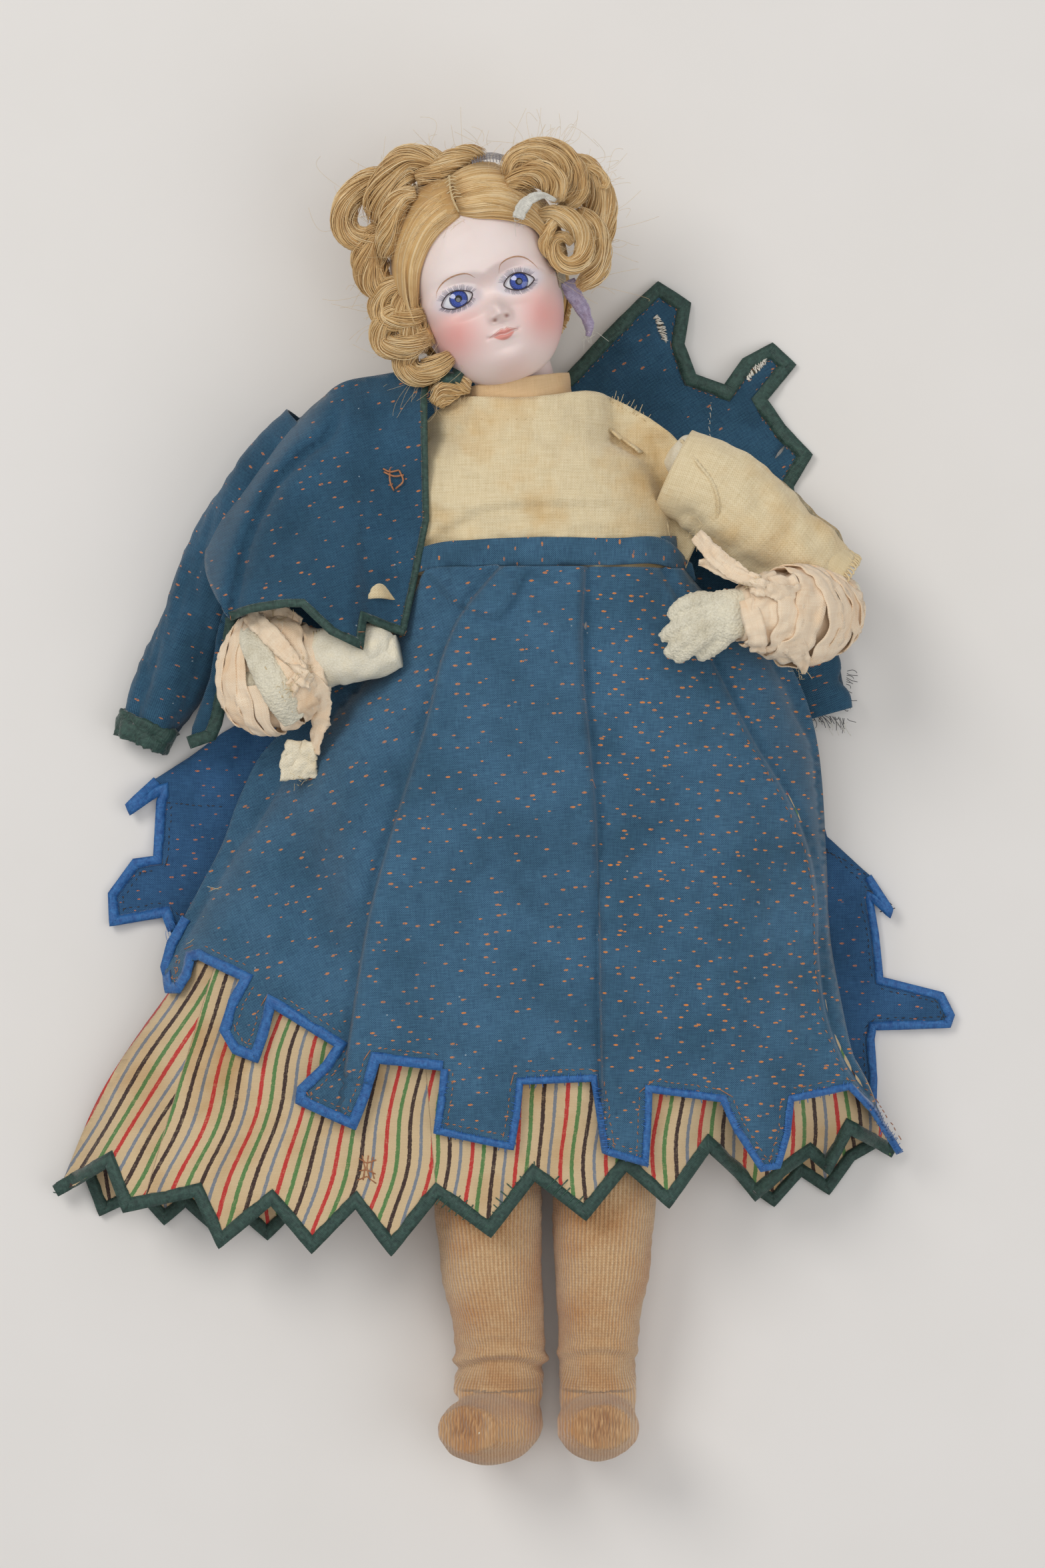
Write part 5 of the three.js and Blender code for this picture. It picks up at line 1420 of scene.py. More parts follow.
cuff_bound = tube_binding(
    "jacket_right_cuff_binding", [(-117.0, 28.6, 8.3), (-118.6, 24.8, 8), (-120.2, 20.6, 7.8)], [8.2, 7.4, 6.6],
    [6.8, 6.4, 6.0], 80, GREEN_SILK, shape=lambda a, s: 0.5 * ripple(a * 9, s, 7, 101)
)

FLAP = arr(
    [
        (-88.5, 61.5), (-89.0, 54.6), (-90.5, 42), (-94, 27), (-96.0, 22.5), (-103.8, 19.8), (-103.0, 26), (-97, 42),
        (-94, 58), (-92, 64)
    ]
)


def flap_top(x, y):
    d, _ = side_of(x, y, arr([(-90, 62), (-91, 44), (-97, 22)]))
    return 14 + 0.25 * (y - 20) + 1.6 * np.cos(np.clip(d / 6, -2, 2)) + 0.4 * ripple(x, y, 8, 103)


flap_outline = edged(FLAP, 1.1)[::-1]
flap = cut_sheet("jacket_side_flap", flap_outline, flap_top, WOOL_DARK, 1.4, glint=lambda x, y: np.full_like(x, 0.2))
flap_bound = binding("jacket_side_flap_binding", FLAP[5::-1], flap_top, GREEN_SILK, 3.2, 104, 0.6)


# ---- Soft bodies ----
def points_of(obj):
    deps = bpy.context.evaluated_depsgraph_get()
    mesh = obj.evaluated_get(deps).to_mesh()
    co = np.zeros(len(mesh.vertices) * 3, np.float32)
    mesh.vertices.foreach_get("co", co)
    normal = np.zeros(len(mesh.vertices) * 3, np.float32)
    mesh.vertices.foreach_get("normal", normal)
    faces = [tuple(p.vertices) for p in mesh.polygons]
    return co.reshape(-1, 3).astype(float) / MM, faces, normal.reshape(-1, 3).astype(float)


def fused(parts, voxel, rounds=6, mesh=None):
    """One soft surface over several closed solids, or over a copy of a mesh. Returns points, faces and normals."""
    data = bpy.data.meshes.new("fusing") if mesh is None else mesh.copy()
    if mesh is None:
        verts, faces = [], []
        for v, f in parts:
            faces += [tuple(np.array(face) + len(verts)) for face in f]
            verts += list(v)
        data.from_pydata((arr(verts) * MM).tolist(), [], [list(map(int, f)) for f in faces])
    o = bpy.data.objects.new("fusing", data)
    bpy.context.scene.collection.objects.link(o)
    m = o.modifiers.new("voxels", "REMESH")
    m.mode, m.voxel_size = "VOXEL", voxel * MM
    m = o.modifiers.new("soften", "SMOOTH")
    m.factor, m.iterations = 0.5, rounds
    out = points_of(o)
    bpy.data.objects.remove(o)
    return out


def softened(node, name, finish, voxel=1.6, crumple=0.35):
    """A stuffed leather piece in the space of its CAD solid, softly uneven."""
    verts, faces, normal = fused(None, voxel, 8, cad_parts[node].data)
    x, y, z = verts.T
    soft = crumple * (ripple(x + z, y, 16, len(node)) + 0.5 * ripple(x - z, y, 6, len(node) + 7)) - 0.1
    verts = verts + normal * soft[:, None]
    verts[:, 2] = np.maximum(verts[:, 2], 0.1)
    o = build(name, verts, faces, finish, cloth=np.column_stack([x, y, 0 * x]))
    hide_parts(node)
    return o


def solid_loft(*args, **settings):
    v, f, _ = loft(*args, **settings)
    return v, f


# ---- Legs and stockings ----
LEGS = {
    "left": dict(
        shank=[
            (32, -112, 22), (31.8, -129, 21.5), (31, -150, 20.5), (30, -168, 19), (29.6, -182, 17.5), (29.5, -195, 15)
        ], wide=[16.8, 17.1, 15.6, 13.2, 12.7, 12.6],
        high=[17, 17.4, 16.4, 14.5, 13.2, 12], foot=[
            (30, -198.5, 2.5), (29.5, -200.5, 14), (29.5, -201.3, 27), (29.8, -200.8, 38), (30.5, -199.5, 45.5)
        ], foot_wide=[8.5, 12.6, 13.2, 13.4, 9.0], foot_high=[8.0, 12.0, 11.2, 10.2, 6.5], toe=(31, -199, 46),
        tilt=0.4
    ), "right": dict(
        shank=[
            (-6, -112, 22), (-6.2, -131, 21.5), (-5, -150, 20.5), (-3, -166, 19), (-2.2, -180, 17.5), (-3, -193, 15)
        ], wide=[17.2, 17.7, 16.6, 15.2, 14.4, 14.6],
        high=[17, 17.6, 16.6, 14.8, 13.4, 12], foot=[
            (0.5, -199, 2.5), (-1.5, -201, 14), (-5.5, -202, 27), (-9.5, -201.5, 37), (-13, -200, 44.5)
        ], foot_wide=[9.5, 14.0, 16.2, 15.0, 9.5], foot_high=[8.5, 12.2, 11.8, 10.6, 6.8], toe=(-13.5, -199, 45),
        tilt=-3.0
    )
}


def leg_surface(spec, grow, voxel=1.0):
    parts = [
        solid_loft(spec["shank"], arr(spec["wide"]) + grow, arr(spec["high"]) + grow, sides=40, step=2), solid_loft(
            spec["foot"], arr(spec["foot_wide"]) + grow, arr(spec["foot_high"]) + grow, sides=40, step=2, up=(0, 1, 0)
        )
    ]
    return fused(parts, voxel, 14)


stocking_pieces, lower_legs = {}, {}
for side, spec in LEGS.items():
    verts, faces, normal = leg_surface(spec, 0.0)
    x, y, z = verts.T
    middle = np.interp(-y, [-p[1] for p in spec["shank"]], [p[0] for p in spec["shank"]])
    front = smoothstep(z, 6, 22)
    arch = -177.0 - 0.016 * (x + 1.5) ** 2 if side == "right" else -174.5 - 0.02 * (x - 30) ** 2
    d = y - arch
    tall = 1.7 if side == "right" else 0.7
    lift = tall * np.exp(-((d / 1.5) ** 2)) * front - tall * 0.8 * np.exp(-(((d + 3.2) / 1.3) ** 2)) * front
    lift = (
        lift + 0.35 * np.exp(-(((d - 6) / 1.5) ** 2)) * front + 0.25 * ripple(x, y, 26, 111)
        + 0.14 * ripple(x + z, y * 3, 12, 112)
    )
    toe = np.linalg.norm(verts - arr(spec["toe"]), axis=1)
    lift = lift + 0.35 * ripple(x, y, 5, 113) * np.exp(-((toe / 9) ** 2))
    verts = verts + normal * lift[:, None]
    verts[:, 2] = np.maximum(verts[:, 2], 0.2)
    angle = np.arctan2(x - middle, z - 18)
    mixed = smoothstep(-y, 178, 190)
    u = 16 * angle * (1 - mixed) + ((x - middle) * 1.15) * mixed
    v = np.where(y > -190, y, -190 - (z - 20))
    worn = np.exp(-((toe / 7.5) ** 2)) * 1.2
    keep = np.array([all(verts[i, 1] < -115.5 for i in f) for f in faces])
    shell = [f for f, k in zip(faces, keep) if k]
    quads = np.array([f if len(f) == 4 else (*f, f[-1]) for f in shell])
    used, quads = np.unique(quads, return_inverse=True)
    quads = quads.reshape(-1, 4)
    both, all_faces = thicken(verts[used], quads, 0.8)
    cloth = np.column_stack([u, v, worn])[used]
    stocking_pieces[side] = build(side + "_stocking_knit", both, all_faces, KNIT, cloth=np.vstack([cloth, cloth]))
    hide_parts(side + "_stocking")
    knee = (33 if side == "left" else -5, -98, 23)
    v1, f1, _ = fused(
        [
            solid_loft(
                [knee, *spec["shank"][:-1]], [14.5] + [w - 1.6 for w in spec["wide"][:-1]],
                [14.5] + [w - 1.6 for w in spec["high"][:-1]], sides=36, step=2
            ), solid_loft(
                [*spec["foot"][:-1], tuple(arr(spec["foot"][-1]) - (0, 0, 4.5))], arr(spec["foot_wide"]) - 2.6,
                arr(spec["foot_high"]) - 2.6, sides=36, step=2, up=(0, 1, 0)
            )
        ], 1.8, 6
    )
    lower_legs[side] = build(side + "_lower_leg_leather", v1, f1, KID, cloth=v1)
    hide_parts(side + "_lower_leg")

leather = {
    node: softened(node, node + "_leather", KID, voxel) for node,
    voxel in (
        ("torso_body", 2.4), ("seat_gusset", 2.2), ("left_thigh", 2.0), ("right_thigh", 2.0), ("left_upper_arm", 1.6),
        ("right_upper_arm", 1.6), ("left_forearm", 1.4), ("right_forearm", 1.2)
    )
}

# ---- Left arm ----
SLEEVE_L = [(54, 109, 37), (66, 103, 38), (78, 93.5, 36.5), (89, 84.5, 34), (98, 77.5, 31), (103, 73.5, 29.5)]


def left_sleeve_shape(a, s):
    d = (
        1.0 * ripple(a * 14, s, 20, 121, 0.5) + 0.45 * ripple(a * 14, s, 8, 122)
        + 0.6 * np.sin(s / 2.6 + 1.4 * np.sin(a)) * smoothstep(s, 22, 40)
    )
    return d * smoothstep(s, 0, 12) * 0.8


left_sleeve = limb(
    "left_sleeve_cloth", MUSLIN, SLEEVE_L, [13.5, 14.8, 15.4, 14.4, 12.8, 11.6], [11.5, 13.2, 13.4, 12.4, 11, 10],
    sides=90, step=1.2, shape=left_sleeve_shape, thick=0.7, caps=False
)
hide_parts("left_sleeve")
armhole = spline([(56.4, 118.3, 42), (61, 111, 49.5), (66, 104, 52), (67.8, 97, 51.5), (67, 89.8, 48)], 0.8)
armhole_seam = limb(
    "left_armhole_seam", MUSLIN, armhole[::4], [0.6] * len(armhole[::4]), sides=8, step=0.8, shape=lambda a,
    s: 0.15 * np.sin(s * 3)
)


def tube_surface(path, wide, high, up=(0, 0, 1)):
    """Places on the skin of a limb, by distance along it, angle and rise."""
    line = spline(path, 0.8)
    along = np.linspace(0, 1, len(line))
    knots = np.linspace(0, 1, len(path))
    side, rise = frames_along(line, up)
    length = np.linalg.norm(np.diff(line, axis=0), axis=1).sum()

    def at(s, a, extra):
        t = np.clip(s / length, -0.02, 1.02)
        c = np.stack([np.interp(t, along, line[:, i]) for i in range(3)], -1)
        n = np.stack([np.interp(t, along, side[:, i]) for i in range(3)], -1)
        b = np.stack([np.interp(t, along, rise[:, i]) for i in range(3)], -1)
        w, h = np.interp(t, knots, wide) + extra, np.interp(t, knots, high) + extra
        return c + (w * np.cos(a))[..., None] * n + (h * np.sin(a))[..., None] * b

    return at, length


def wound(name, path, wide, high, bands, seed, finish=RAG, up=(0, 0, 1), base_ripple=0.5):
    """Rag wound round a limb: a crumpled core with overlapping turns, each with a raised edge."""
    r = np.random.default_rng(seed)
    at, length = tube_surface(path, wide, high, up)
    core_shape = lambda a, s: base_ripple * ripple(a * 10, s, 13, seed) - 0.6
    v, f, c = loft(path, arr(wide), arr(high), sides=70, step=1.1, shape=core_shape, up=up)
    pieces_v, pieces_f, pieces_c, count = [v], list(f), [c], len(v)
    for i, (start, band, tilt, phase, rise) in enumerate(bands):
        turns = r.uniform(0.8, 1.05)
        a0 = r.uniform(0, TAU)
        a, q = np.meshgrid(np.linspace(a0, a0 + TAU * turns, 90), np.linspace(0, 1, 9), indexing="ij")
        wave = 0.09 * ripple(a * 8, q * 3, 6, seed + 10 + i)
        s = length * start + tilt * np.cos(a - phase) + band * (q + wave)
        edge = np.exp(-((q - 0.02) / 0.1) ** 2) + 0.7 * np.exp(-((q - 0.98) / 0.1) ** 2)
        extra = (
            rise + 0.7 * edge + 0.35 * ripple(a * 11, q * band, 5, seed + 40 + i)
            + 0.5 * np.sin(q * math.pi * r.integers(1, 3))
        )
        grid = at(s, a, extra).reshape(-1, 3)
        faces = grid_faces(90, 9)
        both, all_faces = thicken(grid, faces, 0.45)
        pieces_v.append(both)
        pieces_f += [tuple(np.array(g) + count) for g in all_faces]
        place = np.column_stack([(a * 12).ravel(), (q * band + i * 30).ravel(), np.zeros(a.size)])
        pieces_c += [place, place]
        count += len(both)
    verts = np.vstack(pieces_v)
    return build(name, verts, pieces_f, finish, cloth=np.vstack(pieces_c))


def strip_piece(
    name, points, widths, finish, twist=0.0, crumple=0.3, seed=1, across=(0, 0, 1), columns=7, thick=0.5, curl=0.0
):
    """A narrow strip of cloth along points in space, with an uneven edge."""
    line = spline(points, 0.7)
    r = np.random.default_rng(seed)
    w = np.interp(np.linspace(0, 1, len(line)), np.linspace(0, 1, len(widths)), widths)
    side, rise = frames_along(line, across)
    s, q = np.meshgrid(np.arange(len(line)) * 0.7, np.linspace(-0.5, 0.5, columns), indexing="ij")
    roll = twist * s / s.max()
    rag = 1 + 0.05 * np.repeat(r.normal(0, 1, (len(line), 1)), columns, 1)
    out = (w[:, None] * q * rag)[..., None]
    n = np.cos(roll)[..., None] * side[:, None] + np.sin(roll)[..., None] * rise[:, None]
    b = np.cos(roll)[..., None] * rise[:, None] - np.sin(roll)[..., None] * side[:, None]
    z = crumple * ripple(s, q * w[:, None] * 2, 6, seed) + curl * (q * 2) ** 2
    verts = (line[:, None] + out * n + z[..., None] * b).reshape(-1, 3)
    faces = grid_faces(len(line), columns)
    verts, faces = thicken(verts, faces, thick)
    cloth = np.column_stack([s.ravel(), (q * w[:, None]).ravel() + 40, np.zeros(s.size)])
    return build(name, verts, faces, finish, cloth=np.vstack([cloth, cloth]))


left_bandage = wound(
    "left_bandage_rag",
    [
        (74.5, 61.5, 65.5), (83, 62, 62), (93, 61.5, 53), (100, 62.5, 42), (104.5, 65.5, 31), (106, 67, 24)
    ], [8.6, 12.6, 14.8, 14.2, 12.5, 9.5],
    [6.8, 9.5, 11.5, 11.5, 10.5, 8.5], [
        (0.0, 8, 1.5, 0.3, 0.5), (0.1, 7, 2.0, 1.2, 0.9), (0.2, 9, 2.6, 0.5, 0.8), (0.34, 8, 2.8, 2.0, 1.1),
        (0.46, 9, 3.0, 0.8, 0.7), (0.6, 8, 2.4, 2.8, 0.9), (0.72, 8, 2.0, 1.4, 0.6), (0.84, 6, 1.4, 0.2, 0.3)
    ], 131
)
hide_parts("left_bandage")
tie_1 = strip_piece(
    "left_tie_end", [(79, 71.5, 73.5), (73, 74.5, 72), (66, 80, 71), (60, 86.5, 72)], [3.0, 6.5, 6.0, 5.5], RAG, 0.5,
    0.5, 141
)
tie_2 = strip_piece(
    "left_tie_short", [(79, 71.5, 73), (72, 74, 71.5), (65, 77, 70), (61, 77.8, 69.6)], [3.0, 5.0, 4.5, 2.5], RAG,
    -0.6, 0.4, 142
)
tie_3 = strip_piece(
    "left_tie_across", [(79, 71, 73.5), (84, 69, 73), (91, 67, 68), (97, 68, 59)], [3.2, 6, 8, 8], RAG, 0.3, 0.5, 143
)
tie_4 = strip_piece(
    "left_bandage_loose_corner", [(88, 56, 68), (92, 51, 64), (94.6, 46.5, 58), (95, 43, 54)], [9, 8, 5.5, 1.5], RAG,
    0.2, 0.4, 144
)
tie_5 = strip_piece(
    "left_bandage_under_turn", [(76, 66, 71.5), (78, 60, 73), (79.5, 54, 71.5), (80, 49.6, 66.5)], [5, 6.5, 6.0, 5],
    RAG, 0.2, 0.5, 145
)
knot_shape = lambda a, s: 0.7 * np.sin(a * 3 + s) + 0.4 * ripple(a * 3, s, 3, 146)
left_knot = limb(
    "left_tie_knot", RAG, [(76.5, 72.5, 72), (78.6, 71.4, 73.6), (80.6, 70, 73.6), (82, 69, 72)],
    [1.6, 2.6, 2.6, 1.4], [1.4, 2.0, 2.0, 1.2], sides=32, step=0.5, shape=knot_shape
)
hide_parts("left_bandage_tie")


def fingers(parts, palm, palm_wide, palm_high, voxel=0.55):
    solids = [solid_loft(palm, palm_wide, palm_high, sides=28, step=1.0)]
    for points, radii in parts:
        solids.append(solid_loft(points, radii, sides=18, step=0.7))
    return fused(solids, voxel, 4)


verts, faces, normal = fingers([
    ([(68, 65.5, 65.5), (61, 66, 67), (55, 63.5, 66.5), (52.2, 60.4, 65)], [2.6, 2.9, 2.7, 1.7]),
    ([(67, 63, 66.5), (59, 60.4, 67), (52.5, 56.2, 65.5), (49.2, 53.8, 64.3)], [2.6, 2.9, 2.6, 1.6]),
    ([(67, 60.5, 67), (60, 56, 67.3), (53.5, 50.8, 65.4), (50.8, 48.6, 64)], [2.6, 2.9, 2.6, 1.6]),
    ([(68, 58, 66.5), (61.5, 53.2, 66.8), (56, 48.6, 64.6), (53.8, 46.9, 63.4)], [2.6, 2.8, 2.5, 1.5]),
    ([(72, 56, 64.5), (67, 51.8, 64.4), (62.6, 48.8, 63), (60.8, 47.8, 62.4)], [2.6, 2.7, 2.4, 1.5]),
], [(77, 62.5, 65.5), (71, 61.4, 66), (66.5, 60.2, 66.3), (64, 59.6, 66)], [7.0, 8.4, 8.6, 6.0], [4.6, 4.4, 3.8, 2.6])
x, y, z = verts.T
verts = verts + normal * (0.16 * ripple(x * 1.2, y + z, 2.3, 151) + 0.1 * ripple(x, y - z, 1.5, 152))[:, None]
left_hand = build("left_hand_leather", verts, faces, KID_HAND, cloth=verts)
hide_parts("left_hand")

# Lace at the end of the left sleeve: a worked band and two rows of loops.
at, length = tube_surface([(100, 76, 30), (104, 72.8, 28.8), (108, 69.5, 28)], [11.8, 12.6, 13.6], [10, 10.8, 12])
lace_lines = []
r = np.random.default_rng(161)
for row, (s0, reach, many) in enumerate(((0.5, 2.8, 64), (2.8, 3.0, 58), (5.2, 3.2, 50))):
    for i in range(many):
        a0 = i / many * TAU + row * 0.05
        t = np.linspace(0, 1, 9)
        a = a0 + (t - 0.5) * TAU / many * 1.7
        s = s0 + reach * np.sin(t * math.pi) + r.normal(0, 0.15)
        lace_lines.append(at(s, a, 0.3 * np.sin(t * 7) + r.normal(0, 0.2)))
lace = threads("left_cuff_lace", lace_lines, 0.32, LACE, 5)
lace_band = limb(
    "left_cuff_band", LACE, [(99, 76.8, 30.3), (102, 74.4, 29.4), (104.4, 72.4, 28.8)], [12.2, 12.3, 12.4],
    [10.4, 10.5, 10.7], sides=80, step=0.7, shape=lambda a, s: 0.25 * np.sin(a * 40) * np.cos(s * 2), thick=0.6,
    caps=False
)
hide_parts("left_lace_cuff")

# ---- Right arm ----
right_sleeve = limb(
    "right_sleeve_cloth", MUSLIN, [(-50, 107, 34), (-48.5, 92, 39), (-46, 76, 43), (-44, 64, 46.5)],
    [9.6, 10, 10, 9.5], [9.6, 9.6, 9, 8.6], sides=70, shape=lambda a, s: 0.5 * ripple(a * 9, s, 12, 171), thick=0.6,
    caps=False
)
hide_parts("right_sleeve")
arm_path = [(-34.5, 50.0, 50), (-38, 49.4, 49.5), (-46, 49, 48.5), (-54, 49, 46.5), (-62, 47.5, 43.5)]
wrist = limb(
    "right_forearm_cuff_leather", KID, arm_path, [4.6, 6.6, 8.6, 9.6, 9.6], [4.4, 6.4, 8.0, 8.6, 8.2], sides=60,
    step=1.0, shape=lambda a, s: 0.3 * ripple(a * 8, s, 9, 172)
)
at, length = tube_surface(arm_path, [4.6, 6.6, 8.6, 9.6, 9.6], [4.4, 6.4, 8.0, 8.6, 8.2])
seam = []
for i in range(26):
    s = 1.0 + i * 0.95
    seam.append(at(arr([s, s + 0.35, s + 0.6]), arr([2.45, 2.6, 2.75]), arr([0.0, 0.3, 0.0])))
arm_seam = threads("right_forearm_seam", seam, 0.13, THREAD_CREAM, 4)
right_bandage = wound(
    "right_bandage_rag",
    [
        (-58, 46.5, 43), (-67, 45, 43.5), (-76, 43, 42), (-84, 41.5, 38.5), (-88.5, 41, 34)
    ], [9.0, 15.5, 18.6, 17.5, 11.0],
    [8.4, 9.6, 9.6, 8.6, 6.0], [
        (0.02, 6, 1.2, 0.5, 0.3), (0.14, 7, 2.0, 2.2, 0.6), (0.3, 5, 2.4, 1.0, 0.4), (0.5, 4, 2.0, 0.4, 0.9),
        (0.6, 4, 2.6, 0.9, 0.8), (0.7, 4, 3.0, 0.6, 0.9), (0.8, 3.5, 3.2, 0.8, 1.0), (0.88, 3, 2.6, 0.5, 0.9)
    ], 181
)
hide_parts("right_bandage")
verts, faces, normal = fused(
    [
        solid_loft(
            [(-84, 57, 45), (-81.5, 53, 49.5), (-77, 44, 53.2), (-72, 35, 52), (-67.5, 28.5, 47)],
            [3.4, 4.4, 5.0, 5.4, 4.8], [1.8, 2.4, 2.6, 2.4, 1.8], sides=30, step=1.0
        ), solid_loft(
            [(-87, 47, 41), (-82, 41, 47.5), (-78, 33, 46.5)], [3.0, 4.0, 3.0], [1.6, 2.0, 1.6], sides=24, step=1.0
        )
    ], 0.6, 3
)
x, y, z = verts.T
verts = verts + normal * (0.15 * ripple(x, y + z, 2.4, 182))[:, None]
right_hand = build("right_hand_leather", verts, faces, KID_HAND, cloth=verts)
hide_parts("right_hand")
hand_seam = []
for offset in (-3.6, 0.2, 3.8):
    for i in range(17):
        t = i / 17
        c = arr(
            [
                np.interp(t, [0, 0.35, 0.7, 1], v)
                for v in ((-82.2, -77.5, -72.3, -68.5), (54, 45, 36, 30), (51.2, 55.6, 54.6, 50.2))
            ]
        )
        across = arr([0.88, 0.42, 0]) * offset * (0.85 + 0.2 * t)
        drop = -0.09 * offset * offset
        hand_seam.append(
            [c + across + (0, 0, drop), c + across + (0.25, -0.5, drop + 0.35), c + across + (0.5, -0.9, drop)]
        )
hand_stitches = threads("right_hand_seam", hand_seam, 0.16, THREAD_CREAM, 4)
rag_1 = strip_piece(
    "right_tie_over_wrist", [(-83, 62, 47), (-77, 56.5, 52.5), (-70, 49, 55), (-65.5, 43.5, 55)], [5, 6.5, 6.0, 3.0],
    RAG, 0.3, 0.5, 191
)
rag_2 = strip_piece(
    "right_tie_hanging", [(-65.5, 43, 54.5), (-61, 38.5, 52), (-59.5, 31, 46), (-61, 24, 41.5), (-62, 17.5, 38.6)],
    [3.0, 7.5, 7.0, 5.5, 4.0], RAG, 0.7, 0.5, 192
)
rag_3 = strip_piece(
    "right_tie_lint", [(-66.8, 21.5, 38.5), (-67, 17.5, 37.6), (-67.2, 13, 36), (-67, 9.6, 34.4)],
    [7.5, 10.5, 12, 12.6], LINT, 0.05, 0.35, 193, thick=1.4, columns=15
)
rag_4 = strip_piece(
    "right_tie_across", [(-65.5, 43, 55), (-69, 38.5, 54), (-73, 32.5, 50), (-76, 27.5, 43)], [3.0, 5.0, 5.5, 6], RAG,
    -0.3, 0.5, 194
)
rag_5 = strip_piece(
    "right_tie_top_turn", [(-84, 55, 47), (-80, 60, 45), (-73, 62, 45.5), (-66, 59, 47)], [4, 6, 6, 4], RAG, 0.3, 0.5,
    195
)
right_knot = limb(
    "right_tie_knot", RAG, [(-67.6, 46, 54.6), (-66, 43.8, 56), (-64.6, 41.4, 55.6), (-63.6, 39.6, 54)],
    [1.5, 2.6, 2.6, 1.3], [1.4, 2.0, 2.0, 1.2], sides=32, step=0.5, shape=knot_shape
)
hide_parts("right_bandage_tie")
rag_threads = []
r = np.random.default_rng(196)
for i in range(70):
    c = arr([(-65.5, 43.5, 56), (-69.5, 38, 54.5), (-74, 61.5, 47), (-67, 9.5, 35)][i % 4]) + r.normal(0, 1.6, 3)
    d = r.normal(0, 1, 3) * (1.8 if i % 4 else 2.8)
    rag_threads.append([c, c + d * 0.5 + r.normal(0, 0.6, 3), c + d])
rag_fray = threads("right_tie_loose_threads", rag_threads, 0.09, THREAD_CREAM, 3)
left_rag_threads = []
for i in range(60):
    c = arr([(94.6, 44, 55), (60, 86, 72), (79, 71, 74.5), (100, 52, 50)][i % 4]) + r.normal(0, 1.5, 3)
    d = r.normal(0, 1.5, 3)
    left_rag_threads.append([c, c + d * 0.5 + r.normal(0, 0.5, 3), c + d])
left_fray = threads("left_tie_loose_threads", left_rag_threads, 0.09, THREAD_CREAM, 3)


# ---- Head: everything is placed in the head's own frame, which turns with the neck ----
NECK_BALL_AT, TURN = arr([3, 136, 32]), math.radians(17)
BROW_Y, DEEP = 36.0, 6.0  # centre of the skull
SKULL, ROUND = 30, 2.5  # its radius to the front, and how square its section is
PATTERN = 35  # radius of the flat pattern that the skin is drawn on
EYE_HALF = (5.2, 2.8)
LID_POINTS, STRAND_POINTS, CURL_POINTS = 90, 26, 30


def to_world(points):
    p = np.asarray(points, float)
    x, y, z = p[..., 0], p[..., 1], p[..., 2]
    c, s = math.cos(TURN), math.sin(TURN)
    return np.stack([x * c - y * s, x * s + y * c, z], -1) + NECK_BALL_AT


HEAD_UP = tuple(to_world((0.13, 0.21, 0.97)) - NECK_BALL_AT)


def outline_radius(phi, grow=0.0):
    """Half width of the head seen from the front, in the direction phi."""
    c, s = np.abs(np.cos(phi)), np.sin(phi)
    low = ((c / (23.6 + grow)) ** 2.5 + (np.abs(s) / (36.6 + grow)) ** 2.5) ** (-1 / 2.5)
    high = ((c / (24.6 + grow)) ** 2.1 + (np.abs(s) / (35.6 + grow)) ** 2.1) ** (-1 / 2.1)
    mix = smoothstep(s, -0.15, 0.35)
    return low * (1 - mix) + high * mix


def front_height(x, y, grow=0.0):
    """Height of the head's rounded front over its own middle plane."""
    phi = np.arctan2(y - BROW_Y, x)
    share = np.clip(np.hypot(x, y - BROW_Y) / outline_radius(phi, grow), 0, 1)
    return DEEP + (SKULL + grow) * (1 - share**ROUND) ** (1 / ROUND)


def hump(x, y, x0, y0, wide, high):
    return np.exp(-(((x - x0) / wide) ** 2) - ((y - y0) / high) ** 2)


EYE_LINES = [
    spline(
        [
            (-15.7, 29.5), (-14.4, 31.3), (-12.4, 32.5), (-9.9, 32.8), (-7.2, 32.0), (-5.2, 30.6), (-6.5, 28.6),
            (-9.2, 27.5), (-12.2, 27.4), (-14.4, 28.2)
        ], 0.25, closed=True
    ), spline(
        [
            (5.2, 30.1), (7.0, 31.9), (9.0, 32.6), (11.2, 32.4), (13.4, 31.1), (15.0, 29.3), (13.4, 27.8),
            (11.2, 27.1), (8.8, 27.3), (6.6, 28.4)
        ], 0.25, closed=True
    )
]
EYES = [arr([-10.2, 30.0]), arr([10.2, 29.9])]
IRISES = [arr([-9.9, 30.1]), arr([10.1, 29.8])]
BALL_Z, BALL_R = 25.0, 7.8
MOUTH = arr(
    [
        (-4.4, 15.15), (-3.2, 15.0), (-1.8, 15.15), (-0.4, 15.3), (0.4, 15.0), (1.2, 14.85), (2.0, 15.1), (3.2, 15.3),
        (4.5, 15.2), (5.4, 15.5)
    ]
)
UPPER_LIP = spline(
    [
        (-4.2, 15.15), (-2.4, 15.75), (-0.9, 16.35), (0.3, 16.75), (1.2, 16.3), (2.1, 16.75), (3.3, 16.1),
        (5.2, 15.5), (3.0, 15.1), (1.2, 14.8), (-1.0, 15.1)
    ], 0.3, closed=True
)
LOWER_LIP = spline(
    [(-3.0, 14.95), (-0.6, 15.2), (1.2, 14.8), (3.0, 15.15), (4.3, 15.1), (3.0, 13.7), (1.1, 13.0), (-0.9, 13.3)],
    0.3, closed=True
)


